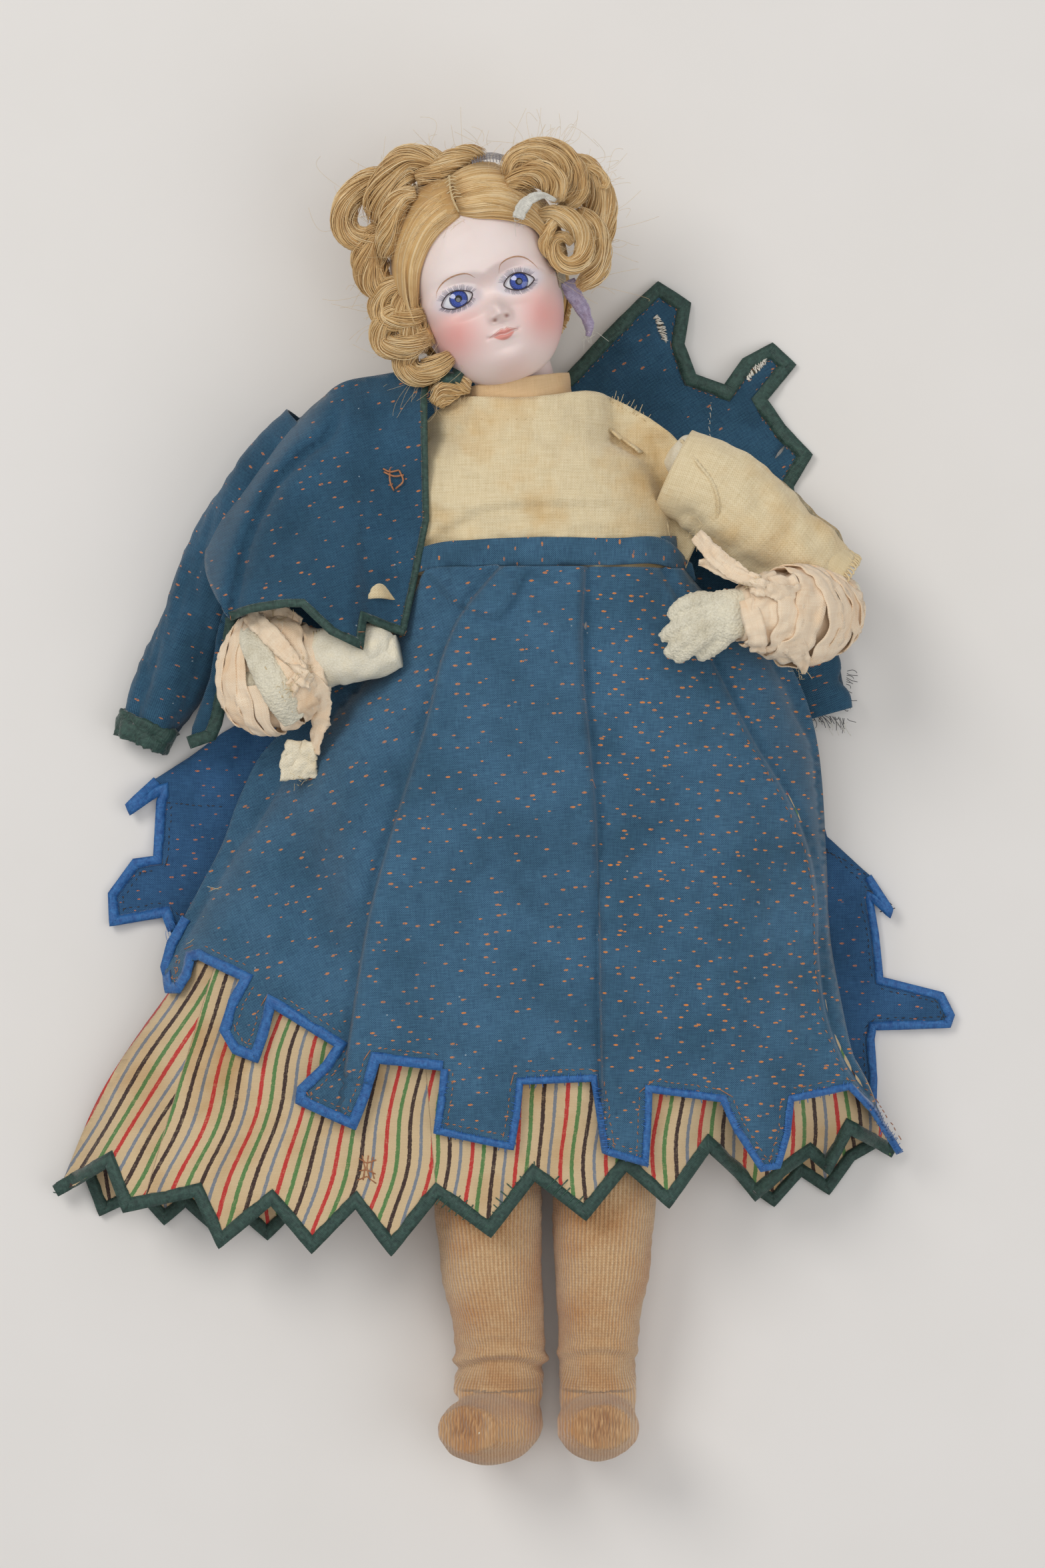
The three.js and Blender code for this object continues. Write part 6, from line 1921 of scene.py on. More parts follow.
def face_height(x, y):
    z = front_height(x, y)
    z = (
        z + 0.8 * hump(x, y, 0, 49, 16, 10) + 1.5 * hump(x, y, -13, 20, 7.5, 7.5)
        + 1.5 * hump(x, y, 14.5, 19, 7.5, 7.5)
    )
    z = z + 4.2 * hump(x, y, 0.6, 6.2, 8, 5.5) - 0.5 * hump(x, y, 0.7, 10.8, 4, 1.3) + 1.7 * hump(x, y, 0.8, 15, 7, 6)
    for cx, cy in EYES:
        z = z - 0.6 * hump(x, y, cx, cy + 1.0, 7.0, 4.8) + 0.25 * hump(x, y, cx, cy + 7, 8, 3)
    middle = np.interp(y, [14, 22, 31, 36], [1.0, 1.1, 0.3, 0.0])
    bridge = np.interp(y, [16.6, 18.4, 19.6, 21, 22.4, 24, 27, 31, 36], [0, 0.5, 2.2, 4.3, 4.6, 3.9, 2.5, 1.3, 0.2])
    wide = np.interp(y, [18, 22, 31], [2.6, 2.5, 2.9])
    z = z + bridge * np.exp(-(((x - middle) / wide) ** 2))
    z = (
        z + 0.9 * hump(x, y, 1.1, 21.6, 2.2, 1.7) + 1.5 * hump(x, y, -1.7, 20.7, 1.3, 1.4)
        + 1.5 * hump(x, y, 4.0, 21.0, 1.3, 1.4)
    )
    z = z - 1.3 * hump(x, y, -0.9, 19.7, 0.9, 0.55) - 1.3 * hump(x, y, 3.1, 20.0, 0.9, 0.55)
    z = z - 0.3 * hump(x, y, 1.2, 17.7, 0.7, 1.0)
    z = (
        z + 0.75 * hump(x, y, -0.9, 15.9, 2.4, 0.8) + 0.75 * hump(x, y, 3.1, 15.9, 2.2, 0.8)
        + 1.1 * hump(x, y, 1.1, 14.1, 2.6, 0.9)
    )
    seam = np.interp(x, MOUTH[:, 0], MOUTH[:, 1])
    ends = smoothstep(x, -5.2, -4.0) * (1 - smoothstep(x, 5.0, 6.2))
    z = (
        z - 0.75 * ends * np.exp(-(((y - seam) / 0.34) ** 2)) - 0.35 * hump(x, y, -4.8, 15.1, 0.8, 0.8)
        - 0.35 * hump(x, y, 5.8, 15.5, 0.8, 0.8)
    )
    for cx, cy in EYES:
        reach = np.hypot((x - cx) / EYE_HALF[0], (y - cy) / EYE_HALF[1])
        near = 1 - smoothstep(reach, 1.1, 2.9)
        lid = BALL_Z + BALL_R - (0.8 * (x - cx) ** 2 + (y - cy) ** 2) / (2 * BALL_R) + 0.55
        z = z * (1 - near) + lid * near
        crease = np.exp(-(((reach - 1.75) / 0.12) ** 2)) * smoothstep(y, cy, cy + 1.5)
        z = z - 0.22 * crease
    return z


def plane_to_angles(points):
    """From a place on the front to the flat pattern of the head."""
    x, y = arr(points)[:, 0], arr(points)[:, 1]
    r = np.hypot(x, y - BROW_Y)
    theta = np.arctan2(r, np.maximum(front_height(x, y) - DEEP, 0))
    phi = np.arctan2(y - BROW_Y, x)
    return np.column_stack([PATTERN * theta * np.cos(phi), PATTERN * theta * np.sin(phi)])


def head_surface():
    holes = [plane_to_angles(line) for line in EYE_LINES]
    rim = arr(
        [
            (PATTERN * 2.35 * math.cos(a), PATTERN * 2.35 * math.sin(a))
            for a in np.linspace(0, TAU, 160, endpoint=False)
        ]
    )
    centres = [(plane_to_angles([(1, 15.5)])[0], 8.5, 0.32), *((plane_to_angles([c])[0], 9.0, 0.4) for c in EYES)]
    levels = [(0.75, 33.0, 0.0), (1.9, 82.0, 33.0)]
    grid = []
    for spacing, out, within in levels:
        g = dots((-out, -out), (out, out), spacing)
        d = np.hypot(g[:, 0], g[:, 1])
        g = g[(d < out) & (d >= within)]
        for centre, radius, _ in centres:
            g = g[np.linalg.norm(g - centre, axis=1) > radius]
        grid.append(g)
    for centre, radius, spacing in centres:
        g = dots((-radius, -radius), (radius, radius), spacing)
        g = g[np.hypot(g[:, 0], g[:, 1]) < radius - spacing * 0.3] + centre
        grid.append(g)
    grid = np.vstack(grid)
    fixed, edges = [tuple(p) for p in rim], [(i, (i + 1) % len(rim)) for i in range(len(rim))]
    for hole in holes:
        grid = grid[~inside(grid, hole)]
        base, n = len(fixed), len(hole)
        fixed += [tuple(p) for p in hole]
        edges += [(base + i, base + (i + 1) % n) for i in range(n)]
        for part in hole:
            grid = grid[np.linalg.norm(grid - part, axis=1) > 0.17]
    points, _, faces, *_ = delaunay_2d_cdt([Vector(p) for p in fixed + [tuple(p) for p in grid]], edges, [], 0, 1e-5)
    flat, faces = arr([(p.x, p.y) for p in points]), np.array([f for f in faces if len(f) == 3])
    keep = ~(inside(flat[faces].mean(1), holes[0]) | inside(flat[faces].mean(1), holes[1]))
    used, faces = np.unique(faces[keep], return_inverse=True)
    flat = flat[used]
    faces = facing_up(flat, faces.reshape(-1, 3))
    theta, phi = np.hypot(flat[:, 0], flat[:, 1]) / PATTERN, np.arctan2(flat[:, 1], flat[:, 0])
    out = outline_radius(phi)
    t = ((np.sin(theta) / out) ** ROUND + (np.abs(np.cos(theta)) / SKULL) ** ROUND) ** (-1 / ROUND)
    x, y = t * np.sin(theta) * np.cos(phi), BROW_Y + t * np.sin(theta) * np.sin(phi)
    z = DEEP + t * np.cos(theta)
    y = y + 8 * smoothstep(-z, -19, 2) * smoothstep(-y, -24, 0)
    detail = face_height(x, y) - front_height(x, y)
    z = z + detail * smoothstep(np.cos(theta), 0.05, 0.3)
    return np.column_stack([x, y, z]), faces


skin, skin_faces = head_surface()
x, y, z = skin.T
front = smoothstep(z, 6, 16)
blush = (
    0.85 * np.exp(-(((x + 14.5) / 9.5) ** 2) - ((y - 19.5) / 9) ** 2)
    + 0.9 * np.exp(-(((x - 15.5) / 8.5) ** 2) - ((y - 17.5) / 9) ** 2)
)
blush = (blush + 0.22 * hump(x, y, 0.6, 4, 7, 5) + 0.12 * hump(x, y, 9, 36, 8, 3)) * front
lips = np.zeros(len(x))
for line in (UPPER_LIP, LOWER_LIP):
    away, _ = side_of(x, y, np.vstack([line, line[:1]]))
    held = inside(skin[:, :2], line) & (z > 20)
    lips = np.maximum(lips, np.where(held, smoothstep(np.abs(away), 0, 0.35), 0))
shade = 0.9 * hump(x, y, -0.9, 19.9, 0.7, 0.5) + 0.9 * hump(x, y, 3.1, 20.2, 0.7, 0.5)
# Painted shade: a pale blue-grey ring round each eye opening, where the socket shades the bisque.
halo = np.zeros(len(x))
for cx, cy in EYES:
    reach = np.hypot((x - cx) / EYE_HALF[0], (y - cy) / EYE_HALF[1])
    halo = np.maximum(halo, np.exp(-(((reach - 1.15) / 0.42) ** 2)) * (z > 15))
both, shell = thicken(skin, skin_faces, 1.3)
head_shell = build(
    "head_shell_bisque", to_world(both), shell, BISQUE, blush=np.tile(blush, 2), lips=np.tile(lips, 2),
    shade=np.tile(shade, 2), halo=np.tile(halo, 2)
)
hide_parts("head_shell")
verts, faces, _ = loft(
    [(0, 22, -4), (0, 12, -2), (0.4, 3, -0.5), (0, -5, -0.5)], [15, 13.2, 12.6, 12.8], [14, 13, 12.4, 12.4], sides=64,
    step=1.2
)
zero = np.zeros(len(verts))
neck_skin = build("neck_bisque", to_world(verts), faces, BISQUE, blush=zero + 0.05, lips=zero, shade=zero, halo=zero)

# Painted brows, lashes, lids and lips: strokes a little proud of the skin.
def on_face(line, lift=0.05):
    p = arr(line)
    return np.column_stack([p[:, 0], p[:, 1], face_height(p[:, 0], p[:, 1]) + lift])


def painted(name, lines, radius, finish, seed=1, flat=0.5):
    return threads(name, [to_world(line) for line in lines], radius, finish, 6, seed, flat, HEAD_UP)


taper = np.sin(np.linspace(0.12, math.pi - 0.12, 28))
brow_lines = []
for brow in (
    [(-16.6, 32.6), (-15.6, 34.6), (-13.2, 36.4), (-10.2, 37.2), (-7.0, 37.2), (-4.6, 36.5), (-2.9, 34.8)],
    [(4.8, 34.2), (5.9, 36.3), (8.4, 37.4), (11.6, 37.5), (14.3, 36.4), (16.2, 34.2), (17.3, 31.9)]
):
    for offset, start, stop in ((0.0, 0, 1), (0.14, 0.05, 0.8), (-0.13, 0.2, 0.95), (0.05, 0.3, 1)):
        line = spline(brow, 0.25)
        n = len(line)
        part = line[int(n * start):int(n * stop)] + (0, offset)
        brow_lines.append(
            on_face(resample(part, np.linalg.norm(np.diff(part, axis=0), axis=1).sum() / 27)[:28], 0.03)
        )
brow_lines = [even(line, len(taper)) for line in brow_lines]
brows = painted("painted_brows", brow_lines, 0.11 * taper + 0.02, PAINT_BROWN)
lashes, lid_lines = [], []
r = np.random.default_rng(201)
for side, (line, centre) in enumerate(zip(EYE_LINES, EYES)):
    n = len(line)
    lid_lines.append(on_face(np.vstack([line, line[:1]]), 0.0))
    for i in range(86):
        k = i / 86 * n
        a = line[int(k) % n]
        d = (a - centre) / EYE_HALF
        d = d / np.hypot(*d)
        if abs(d[0]) > 0.96:
            continue
        sway = d * (0.85, 1.0) + (0.28 * np.sign(centre[0]), 0.0)
        sway = sway / np.hypot(*sway)
        long = (1.75 if d[1] > 0 else 1.35) * r.uniform(0.8, 1.1)
        t = np.linspace(0, 1, 5)[:, None]
        bend = np.array([-sway[1], sway[0]]) * 0.22 * np.sign(centre[0])
        lashes.append(on_face(a + d * 0.18 + sway * long * t + bend * (t * t), 0.04))
lash_paint = painted("painted_lashes", lashes, np.linspace(0.075, 0.03, 5), PAINT_LASH)
lid_lines = [even(line, LID_POINTS) for line in lid_lines]
lid_paint = painted("painted_lid_lines", lid_lines, 0.2, PAINT_DARK)
mouth_line = painted("painted_mouth_line", [on_face(resample(spline(MOUTH, 0.3), 0.4)[:27], -0.1)], 0.14, PAINT_RED)
lip_edge = painted(
    "painted_lip_edge",
    [
        on_face(
            spline(
                [
                    (-4.3, 15.2), (-2.4, 15.8), (-0.9, 16.4), (0.3, 16.8), (1.2, 16.35), (2.1, 16.8), (3.3, 16.15),
                    (5.3, 15.55)
                ], 0.3
            ), 0.0
        )
    ], 0.06, PAINT_RED
)

glass = {}
for side, (centre, iris) in enumerate(zip(EYES, IRISES)):
    rows, columns = 60, 72
    theta, phi = np.meshgrid(
        np.concatenate([np.linspace(0, 0.62, 44), np.linspace(0.66, math.pi, rows - 44)]),
        np.linspace(0, TAU, columns, endpoint=False), indexing="ij"
    )
    dome = BALL_R + 0.3 * np.exp(-((theta / 0.3) ** 2))
    ox, oy, oz = dome * np.sin(theta) * np.cos(phi), dome * np.sin(theta) * np.sin(phi), dome * np.cos(theta)
    points = np.stack([centre[0] + ox, centre[1] + oy, BALL_Z + oz], -1).reshape(-1, 3)
    d = points[:, :2] - iris
    away = np.where(points[:, 2] > BALL_Z, np.hypot(*d.T), 9)
    name = ("right_eye", "left_eye")[side]
    glass[name] = build(
        name + "_glass", to_world(points), grid_faces(rows, columns, True), EYE, iris=away,
        spin=np.arctan2(d[:, 1], d[:, 0]) * 3
    )
    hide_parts(name)

# ---- Wig ----
def on_head(x, y, grow):
    """Puts places seen from the front onto the head grown by that much, and over its edge when they lie outside."""
    phi = np.arctan2(y - BROW_Y, x)
    out = outline_radius(phi, 0) + grow
    share = np.hypot(x, y - BROW_Y) / out
    inner = np.clip(share, 0, 1)
    z = DEEP + (SKULL + grow) * (1 - inner**ROUND) ** (1 / ROUND) - np.maximum(share - 1, 0) * 40
    scale = np.where(share > 1, 1 / np.maximum(share, 1e-9), 1)
    return np.stack([x * scale, BROW_Y + (y - BROW_Y) * scale, z], -1)


def brushed(name, low, high, many, seed, waves):
    """Hair combed from the parting: strands laid between two lines, over a solid underlayer."""
    r = np.random.default_rng(seed)
    low, high = (even(spline(line, 0.5), STRAND_POINTS) for line in (low, high))
    t = np.linspace(0, 1, STRAND_POINTS)

    def strand(q, grow, sway):
        xy = low * (1 - q) + high * q
        edge = 1 - np.exp(-((q / 0.16) ** 1.4))
        rise = 0.5 + (3.2 * edge + 1.2 * math.sin(math.pi * min(1, q))) * (1 - 0.55 * np.exp(-((t / 0.07) ** 2)))
        rise = rise + 0.4 * np.sin(q * waves + t * 2.0) + 0.25 * np.sin(q * waves * 2.7 + 1.0)
        xy = xy + (sway * np.sin(t * 5 + q * 9))[:, None] * (0.3, 0.5)
        return on_head(xy[:, 0], xy[:, 1], rise + grow)

    lines = []
    for i in range(many):
        q = r.uniform(0, 1) ** 0.9
        lines.append(to_world(strand(q, r.uniform(-0.25, 0.35), r.normal(0, 0.9))))
    slim = 0.16 * np.clip(np.sin(np.linspace(0.25, math.pi - 0.2, STRAND_POINTS)) * 1.6, 0.2, 1)
    hair = threads(name, lines, slim, HAIR, 4, seed, 0.8, HEAD_UP)
    sheet = np.stack([to_world(strand(q, -0.45, 0.0)) for q in np.linspace(0, 1, 24)], 0)
    under, faces = thicken(
        sheet.reshape(-1, 3), grid_faces(24, STRAND_POINTS), -1.0 if name.endswith("left") else 1.0
    )
    # The underlayer takes the darkest hair tone: painted shade deep among the strands.
    base = build(name + "_base", under, faces, HAIR, tone=np.full(len(under), 0.15), share=np.zeros(len(under)))
    return joined(name, hair, base)


LOW_RIGHT = [
    (-2.1, 55.3), (-6.6, 53.6), (-10.7, 51.6), (-15.1, 48.0), (-19.4, 42.4), (-22.0, 36.1), (-23.6, 29.5), (-23.4, 24)
]
HIGH_RIGHT = [
    (-1.6, 69.5), (-8.6, 68.6), (-15.4, 66.0), (-21.6, 60.4), (-26.9, 52.4), (-29.4, 44.1), (-29.9, 37.0), (-29, 30)
]
LOW_LEFT = [
    (-1.7, 55.3), (3.4, 53.3), (9.0, 51.7), (14.2, 49.2), (18.6, 46.0), (21.4, 41.7), (22.6, 36.0), (23.4, 30.0)
]
HIGH_LEFT = [
    (-1.2, 69.5), (4.3, 70.4), (10.9, 70.2), (18.5, 67.0), (24.6, 60.0), (28.0, 52.6), (29.1, 44.2), (29.0, 36)
]
band_right = brushed("wig_band_right_hair", LOW_RIGHT, HIGH_RIGHT, 2000, 211, 11.0)
band_left = brushed("wig_band_left_hair", LOW_LEFT, HIGH_LEFT, 2000, 212, 9.0)
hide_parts("wig_band_right")
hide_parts("wig_band_left")

r = np.random.default_rng(221)
back_lines = []
roll = np.radians(np.linspace(-22, 148, 26))
for i in range(1100):
    u = r.uniform(-1.25, 1.25)
    grow = 2.6 + r.uniform(-0.3, 0.6) + 0.5 * math.sin(u * 9)
    a = roll + r.normal(0, 0.03)
    u2 = u + 0.12 * np.sin(a * 2 + u * 3)
    back_lines.append(
        to_world(
            np.column_stack(
                [
                    (24.8 + grow) * np.sin(u2), 37 + (35 + grow) * np.cos(a) * np.cos(u2 * 0.96),
                    5 - (29.5 + grow) * np.sin(a) * np.cos(u2 * 0.96)
                ]
            )
        )
    )
back_hair = threads("wig_back_hair", back_lines, 0.3, HAIR, 4, 222, 0.8, (1, 0, 0.1))
a, u = np.meshgrid(roll, np.linspace(-1.35, 1.35, 40), indexing="ij")
sheet = np.stack(
    [26.6 * np.sin(u), 37 + 36.8 * np.cos(a) * np.cos(u * 0.96), 5 - 31.3 * np.sin(a) * np.cos(u * 0.96)], -1
)
under, faces = thicken(to_world(sheet.reshape(-1, 3)), grid_faces(26, 40), 1.0)
# The underlayer takes the darkest hair tone: painted shade deep among the strands.
back_base = build("wig_back_base", under, faces, HAIR, tone=np.full(len(under), 0.15), share=np.zeros(len(under)))
wig_back = joined("wig_back_hair", back_hair, back_base)
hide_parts("wig_back")


def lock(points, radii, many, seed, turns=1.0, frizz=0.42, flat=0.85, core=0.66):
    """Strands of one curl twisted along a path, and the dense middle of the curl."""
    r = np.random.default_rng(seed)
    line = even(spline(points, 0.6), CURL_POINTS)
    size = even(arr(radii)[:, None], CURL_POINTS)[:, 0]
    side, rise = frames_along(line, (0.05, 0.1, 1))
    t = np.linspace(0, 1, CURL_POINTS)
    lines = []
    groups = r.uniform(0, TAU, 14)
    many, turns = int(many * 2.1), turns * 0.45
    for i in range(many):
        spread = 0.78 + 0.26 * r.uniform() if r.uniform() < 0.72 else math.sqrt(r.uniform()) * 0.8
        around = groups[r.integers(14)] + r.normal(0, 0.16) if r.uniform() < 0.45 else r.uniform(0, TAU)
        a = around + TAU * turns * t + 0.35 * np.sin(t * 6 + around * 2)
        away = (
            size * spread * (1 + 0.07 * np.sin(3 * around)) + frizz * np.sin(t * r.uniform(5, 14) + r.uniform(0, 6))
        )
        start, stop = r.uniform(-0.06, 0.05), r.uniform(0.92, 1.03)
        p = line + (away * np.cos(a))[:, None] * side + (away * np.sin(a) * flat)[:, None] * rise
        s = np.clip(start + (stop - start) * t, 0, 1)
        lines.append(np.column_stack([np.interp(s, t, p[:, j]) for j in range(3)]))
    middle = loft(
        line[::3], np.interp(np.linspace(0, 1, len(line[::3])), np.linspace(0, 1, len(radii)), radii) * core,
        sides=18, step=1.0, up=(0.05, 0.1, 1)
    )[:2]
    return lines, middle


def curls(name, locks, seed, strays, across=0.15):
    lines, verts, faces, count = [], [], [], 0
    for i, (points, radii, many, turns) in enumerate(locks):
        made, (v, f) = lock(points, radii, many, seed + i, turns)
        lines += made
        verts.append(v)
        faces += [tuple(np.array(g) + count) for g in f]
        count += len(v)
    slim = across * np.clip(np.sin(np.linspace(0.1, math.pi - 0.08, CURL_POINTS)) * 2.2, 0.25, 1)
    hair = threads(name, [to_world(l) for l in lines], slim, HAIR, 4, seed, 0.85, HEAD_UP)
    core = np.vstack(verts)
    # The dense curl cores take a dark hair tone: painted shade inside the curls.
    base = build(name + "_base", to_world(core), faces, HAIR, tone=np.full(len(core), 0.2), share=np.zeros(len(core)))
    r = np.random.default_rng(seed + 50)
    loose = []
    for i in range(strays):
        points, radii, *_ = locks[r.integers(len(locks))]
        p = arr(points[r.integers(len(points))]) + r.normal(0, 2.5, 3)
        out = p - (0, 40, 14)
        out = out / np.linalg.norm(out)
        long = r.uniform(4, 13)
        bend = r.normal(0, 1, 3) * long * 0.35
        t = np.linspace(0, 1, 14)[:, None]
        q = p + out * long * t + bend * np.sin(t * r.uniform(1.5, 4)) + r.normal(0, 1, 3) * long * 0.3 * t * t
        q[:, 2] = np.maximum(q[:, 2], -30)
        loose.append(to_world(q))
    thin = threads(name + "_strays", loose, 0.045, HAIR_FINE, 3, seed + 51, 1.0, HEAD_UP)
    return joined(name, hair, base, thin)


CURLS_RIGHT = [
    (
        [(-2, 68.5, 24), (-5, 74.5, 22), (-12.5, 77.2, 22), (-19.0, 73.5, 23), (-24.5, 67.5, 22), (-27, 61.5, 18)],
        [2.5, 4.6, 6.2, 6.2, 5.6, 3.4], 190, 0.9
    ), (
        [
            (-18.5, 75.0, 16), (-26.5, 75.6, 16), (-34.8, 71.5, 16), (-38.2, 65.2, 16), (-35.8, 59.6, 17),
            (-28.6, 57.6, 19), (-22.6, 60.4, 21)
        ], [3.0, 4.2, 4.2, 4.0, 4.0, 3.8, 2.4], 170, 0.8
    ), (
        [(-13, 66.5, 29), (-17.5, 66.5, 28.6), (-22, 62.5, 27.5), (-25.4, 56.5, 25), (-27.6, 50, 22)],
        [2.0, 3.8, 4.2, 4.0, 2.4], 130, 0.7
    ), (
        [(-11.5, 71.5, 25.5), (-4.2, 72.0, 26.5), (1.4, 73.6, 25), (6.8, 74.4, 22), (11.6, 73, 18)],
        [2.0, 2.9, 3.3, 3.4, 1.8], 110, 1.3
    ), (
        [(-24.6, 60.5, 20), (-30.2, 57.6, 18), (-33.6, 51.5, 17), (-33.8, 44.8, 17), (-30.0, 39.0, 18)],
        [2.6, 4.8, 5.8, 5.4, 3.0], 190, 0.8
    ), ([(-22.8, 41, 21), (-26.5, 34.5, 21), (-26.2, 26, 20), (-22.8, 19, 19)], [2.4, 4.8, 5.4, 3.4], 130, 0.9), (
        [
            (-23.6, 41.6, 22), (-30.2, 40.8, 20), (-34.2, 36.8, 17), (-33.6, 32.0, 18), (-27.4, 29.8, 23),
            (-21.6, 29.6, 25)
        ], [2.0, 3.5, 3.9, 3.7, 3.5, 1.8], 130, 0.9
    ), (
        [(-23.8, 31.2, 24), (-31, 32.6, 20), (-36, 28.8, 16), (-36.4, 23.8, 16), (-30, 21.2, 22), (-22.6, 21.4, 24)],
        [2.0, 3.6, 4.2, 4.0, 3.7, 1.9], 140, 0.9
    ), (
        [
            (-21.6, 23.6, 23), (-29, 21.4, 19), (-32.6, 16.4, 15), (-28.4, 12.0, 17), (-21.6, 12.8, 22),
            (-16.8, 14.6, 24)
        ], [2.0, 3.8, 4.2, 4.2, 3.8, 1.8], 140, 0.9
    ), ([(-27, 14.8, 12), (-24.4, 9.6, 11), (-20.0, 8.8, 12), (-17.0, 10.6, 14)], [2.2, 3.6, 3.5, 1.6], 90, 0.8), (
        [(-26.5, 1.6, 15.5), (-22.6, 4.6, 17.5), (-18.0, 5.0, 18.6), (-14.2, 3.0, 18.0)], [2.6, 3.9, 3.6, 1.6], 120,
        0.5
    )
]
CURLS_LEFT = [
    (
        [
            (16.6, 63, 28), (20, 67.4, 27), (26.6, 67.6, 25.5), (32.6, 64.2, 24), (35.8, 58.4, 23), (35.0, 52.2, 24),
            (30.4, 48.6, 27)
        ], [2.4, 4.2, 5.8, 6.2, 5.6, 4.6, 2.4], 210, 0.8
    ), (
        [(15.5, 60.8, 31.5), (21.4, 61.6, 31.5), (27, 60.2, 31), (30.2, 55.6, 30.5), (29.6, 50.4, 30.5)],
        [1.6, 3.6, 4.4, 4.2, 2.2], 140, 0.9
    ), (
        [(34.5, 63.4, 18), (40.6, 60.0, 17), (42.6, 52.5, 16), (41.6, 44.6, 15), (38.4, 36.8, 15), (34.0, 28.6, 16)],
        [2.6, 4.8, 5.4, 5.4, 4.6, 2.2], 190, 0.9
    ), (
        [
            (22.6, 48.2, 28.5), (27.6, 47.4, 29), (32.8, 42.8, 28), (34.0, 36.4, 26), (31.2, 31.0, 26),
            (26.2, 30.4, 27), (23.4, 34.6, 27.6), (24.4, 39.4, 28), (28.2, 39.8, 28), (29.8, 36.6, 27.4)
        ], [1.6, 2.9, 3.3, 3.2, 3.0, 2.7, 2.3, 2.1, 1.7, 0.9], 150, 1.4
    ), (
        [(33.8, 46.5, 23), (37.8, 40.5, 21), (37.6, 33, 20), (34, 26.5, 20), (28.2, 23.0, 21)],
        [2.6, 4.2, 4.4, 4.0, 1.8], 140, 0.8
    ), (
        [(37.4, 60.6, 21), (42.6, 58.6, 21), (46.0, 55.4, 20), (46.2, 52.2, 20), (43.4, 51.8, 20.5)],
        [1.6, 1.6, 1.2, 0.9, 0.5], 46, 1.0
    ), ([(19.6, 66.5, 27), (23.0, 71.0, 26), (29.4, 71.2, 25), (35.6, 68.0, 24)], [1.2, 0.9, 0.7, 0.5], 26, 0.8), (
        [(26.5, 45.5, 30), (23.6, 42.5, 29.5), (21.6, 38.5, 28.4), (22.6, 34.0, 27)], [1.4, 2.2, 2.0, 0.9], 60, 0.8
    )
]
curls_right = curls("wig_curls_right_hair", CURLS_RIGHT, 231, 130)
curls_left = curls("wig_curls_left_hair", CURLS_LEFT, 331, 130)
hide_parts("wig_curls_right")
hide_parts("wig_curls_left")

# The parting is held by a few loops of thread, and a scrap of net shows behind the crown.
part_stitches = [
    spline(
        [
            (-3.0 + 0.8 * math.sin(i * 2.4), 60.4 + i * 1.15, 38.4 - i * 0.32),
            (-1.4, 60.9 + i * 1.15, 39.0 - i * 0.32), (0.2 + 0.5 * math.cos(i), 60.2 + i * 1.15, 38.3 - i * 0.32)
        ], 0.4
    ) for i in range(7)
]
part_thread = threads("parting_thread", [to_world(l) for l in part_stitches], 0.14, THREAD_CREAM, 5, 3, 1.0, HEAD_UP)
along = spline([(-2.0, 56.0, 38.2), (-2.6, 60, 38.6), (-2.4, 64, 37.2), (-1.4, 68.4, 34.4)], 0.5)
part_cord = threads(
    "parting_cord", [to_world(along + (0.3 * math.sin(k), 0, 0.12 * k)) for k in range(3)], 0.13, THREAD_CREAM, 5, 4,
    1.0, HEAD_UP
)
flyaways = []
r = np.random.default_rng(241)
for i in range(150):
    x0, y0 = r.uniform(-20, 22), r.uniform(52, 69)
    p = on_head(arr([x0]), arr([y0]), 4.6)[0]
    t = np.linspace(0, 1, 12)[:, None]
    d = np.array([np.sign(x0) * r.uniform(4, 12), r.normal(-1, 4), r.uniform(-1, 1.5)])
    flyaways.append(to_world(p + d * t + r.normal(0, 1.2, 3) * np.sin(t * 3.1)))
loose_top = threads("wig_loose_hairs", flyaways, 0.042, HAIR_FINE, 3, 242, 1.0, HEAD_UP)
net_lines = []
for i in range(15):
    net_lines.append(
        spline(
            [
                (7.0 + i * 0.95, 70.4 - 0.025 * i * i, 27.5 - i * 0.1), (7.4 + i * 0.95, 72.6 - 0.025 * i * i, 24.0),
                (7.8 + i * 0.95, 74.0 - 0.03 * i * i, 18.0)
            ], 0.6
        )
    )
for k in range(7):
    net_lines.append(
        spline(
            [
                (7.0, 70.8 + k * 0.5, 27.0 - k * 1.4), (14, 70.2 + k * 0.5, 26.4 - k * 1.4),
                (20.6, 65.8 + k * 0.6, 26.0 - k * 1.4)
            ], 0.6
        )
    )
net = threads("wig_net_scrap", [to_world(l) for l in net_lines], 0.12, THREAD_NET, 4, 5, 1.0, HEAD_UP)
ribbon_pale = strip_piece(
    "hair_ribbon_pale_cloth",
    to_world([(15.6, 48.6, 36.8), (17.6, 51.2, 37.2), (21.4, 53.4, 37.4), (25.6, 53.2, 36.6), (28.8, 50.8, 35.0)]),
    [3.6, 4.4, 3.4, 2.4, 1.2], RIBBON_PALE, 0.7, 0.3, 251, thick=0.3
)
ribbon_mauve = strip_piece(
    "hair_ribbon_mauve_cloth",
    to_world([(25.6, 27.0, 15), (26.4, 22.0, 13.5), (27.8, 16.4, 12), (28.2, 12.0, 11), (26.6, 8.4, 10.4)]),
    [5.0, 5.4, 5.0, 4.2, 2.6], RIBBON_MAUVE, 0.9, 0.4, 252, thick=0.3
)
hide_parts("hair_ribbon_pale")
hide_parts("hair_ribbon_mauve")
ribbon_threads = [
    to_world([p, p + r.normal(0, 0.7, 3), p + r.normal(0, 1.6, 3)])
    for p in (arr(c) + r.normal(0, 0.9, 3) for c in [(15.4, 48.2, 36.6), (26.4, 8.0, 10.4)] * 14)
]
ribbon_fray = threads("hair_ribbon_frays", ribbon_threads, 0.06, THREAD_WHITE, 3, 6, 1.0, HEAD_UP)


# ---- What each piece rides on; pieces between two bodies only have their placement baked ----
HIP_START, HIP_END = (0, 0.022, 0.03), (0, -0.038, 0.03)


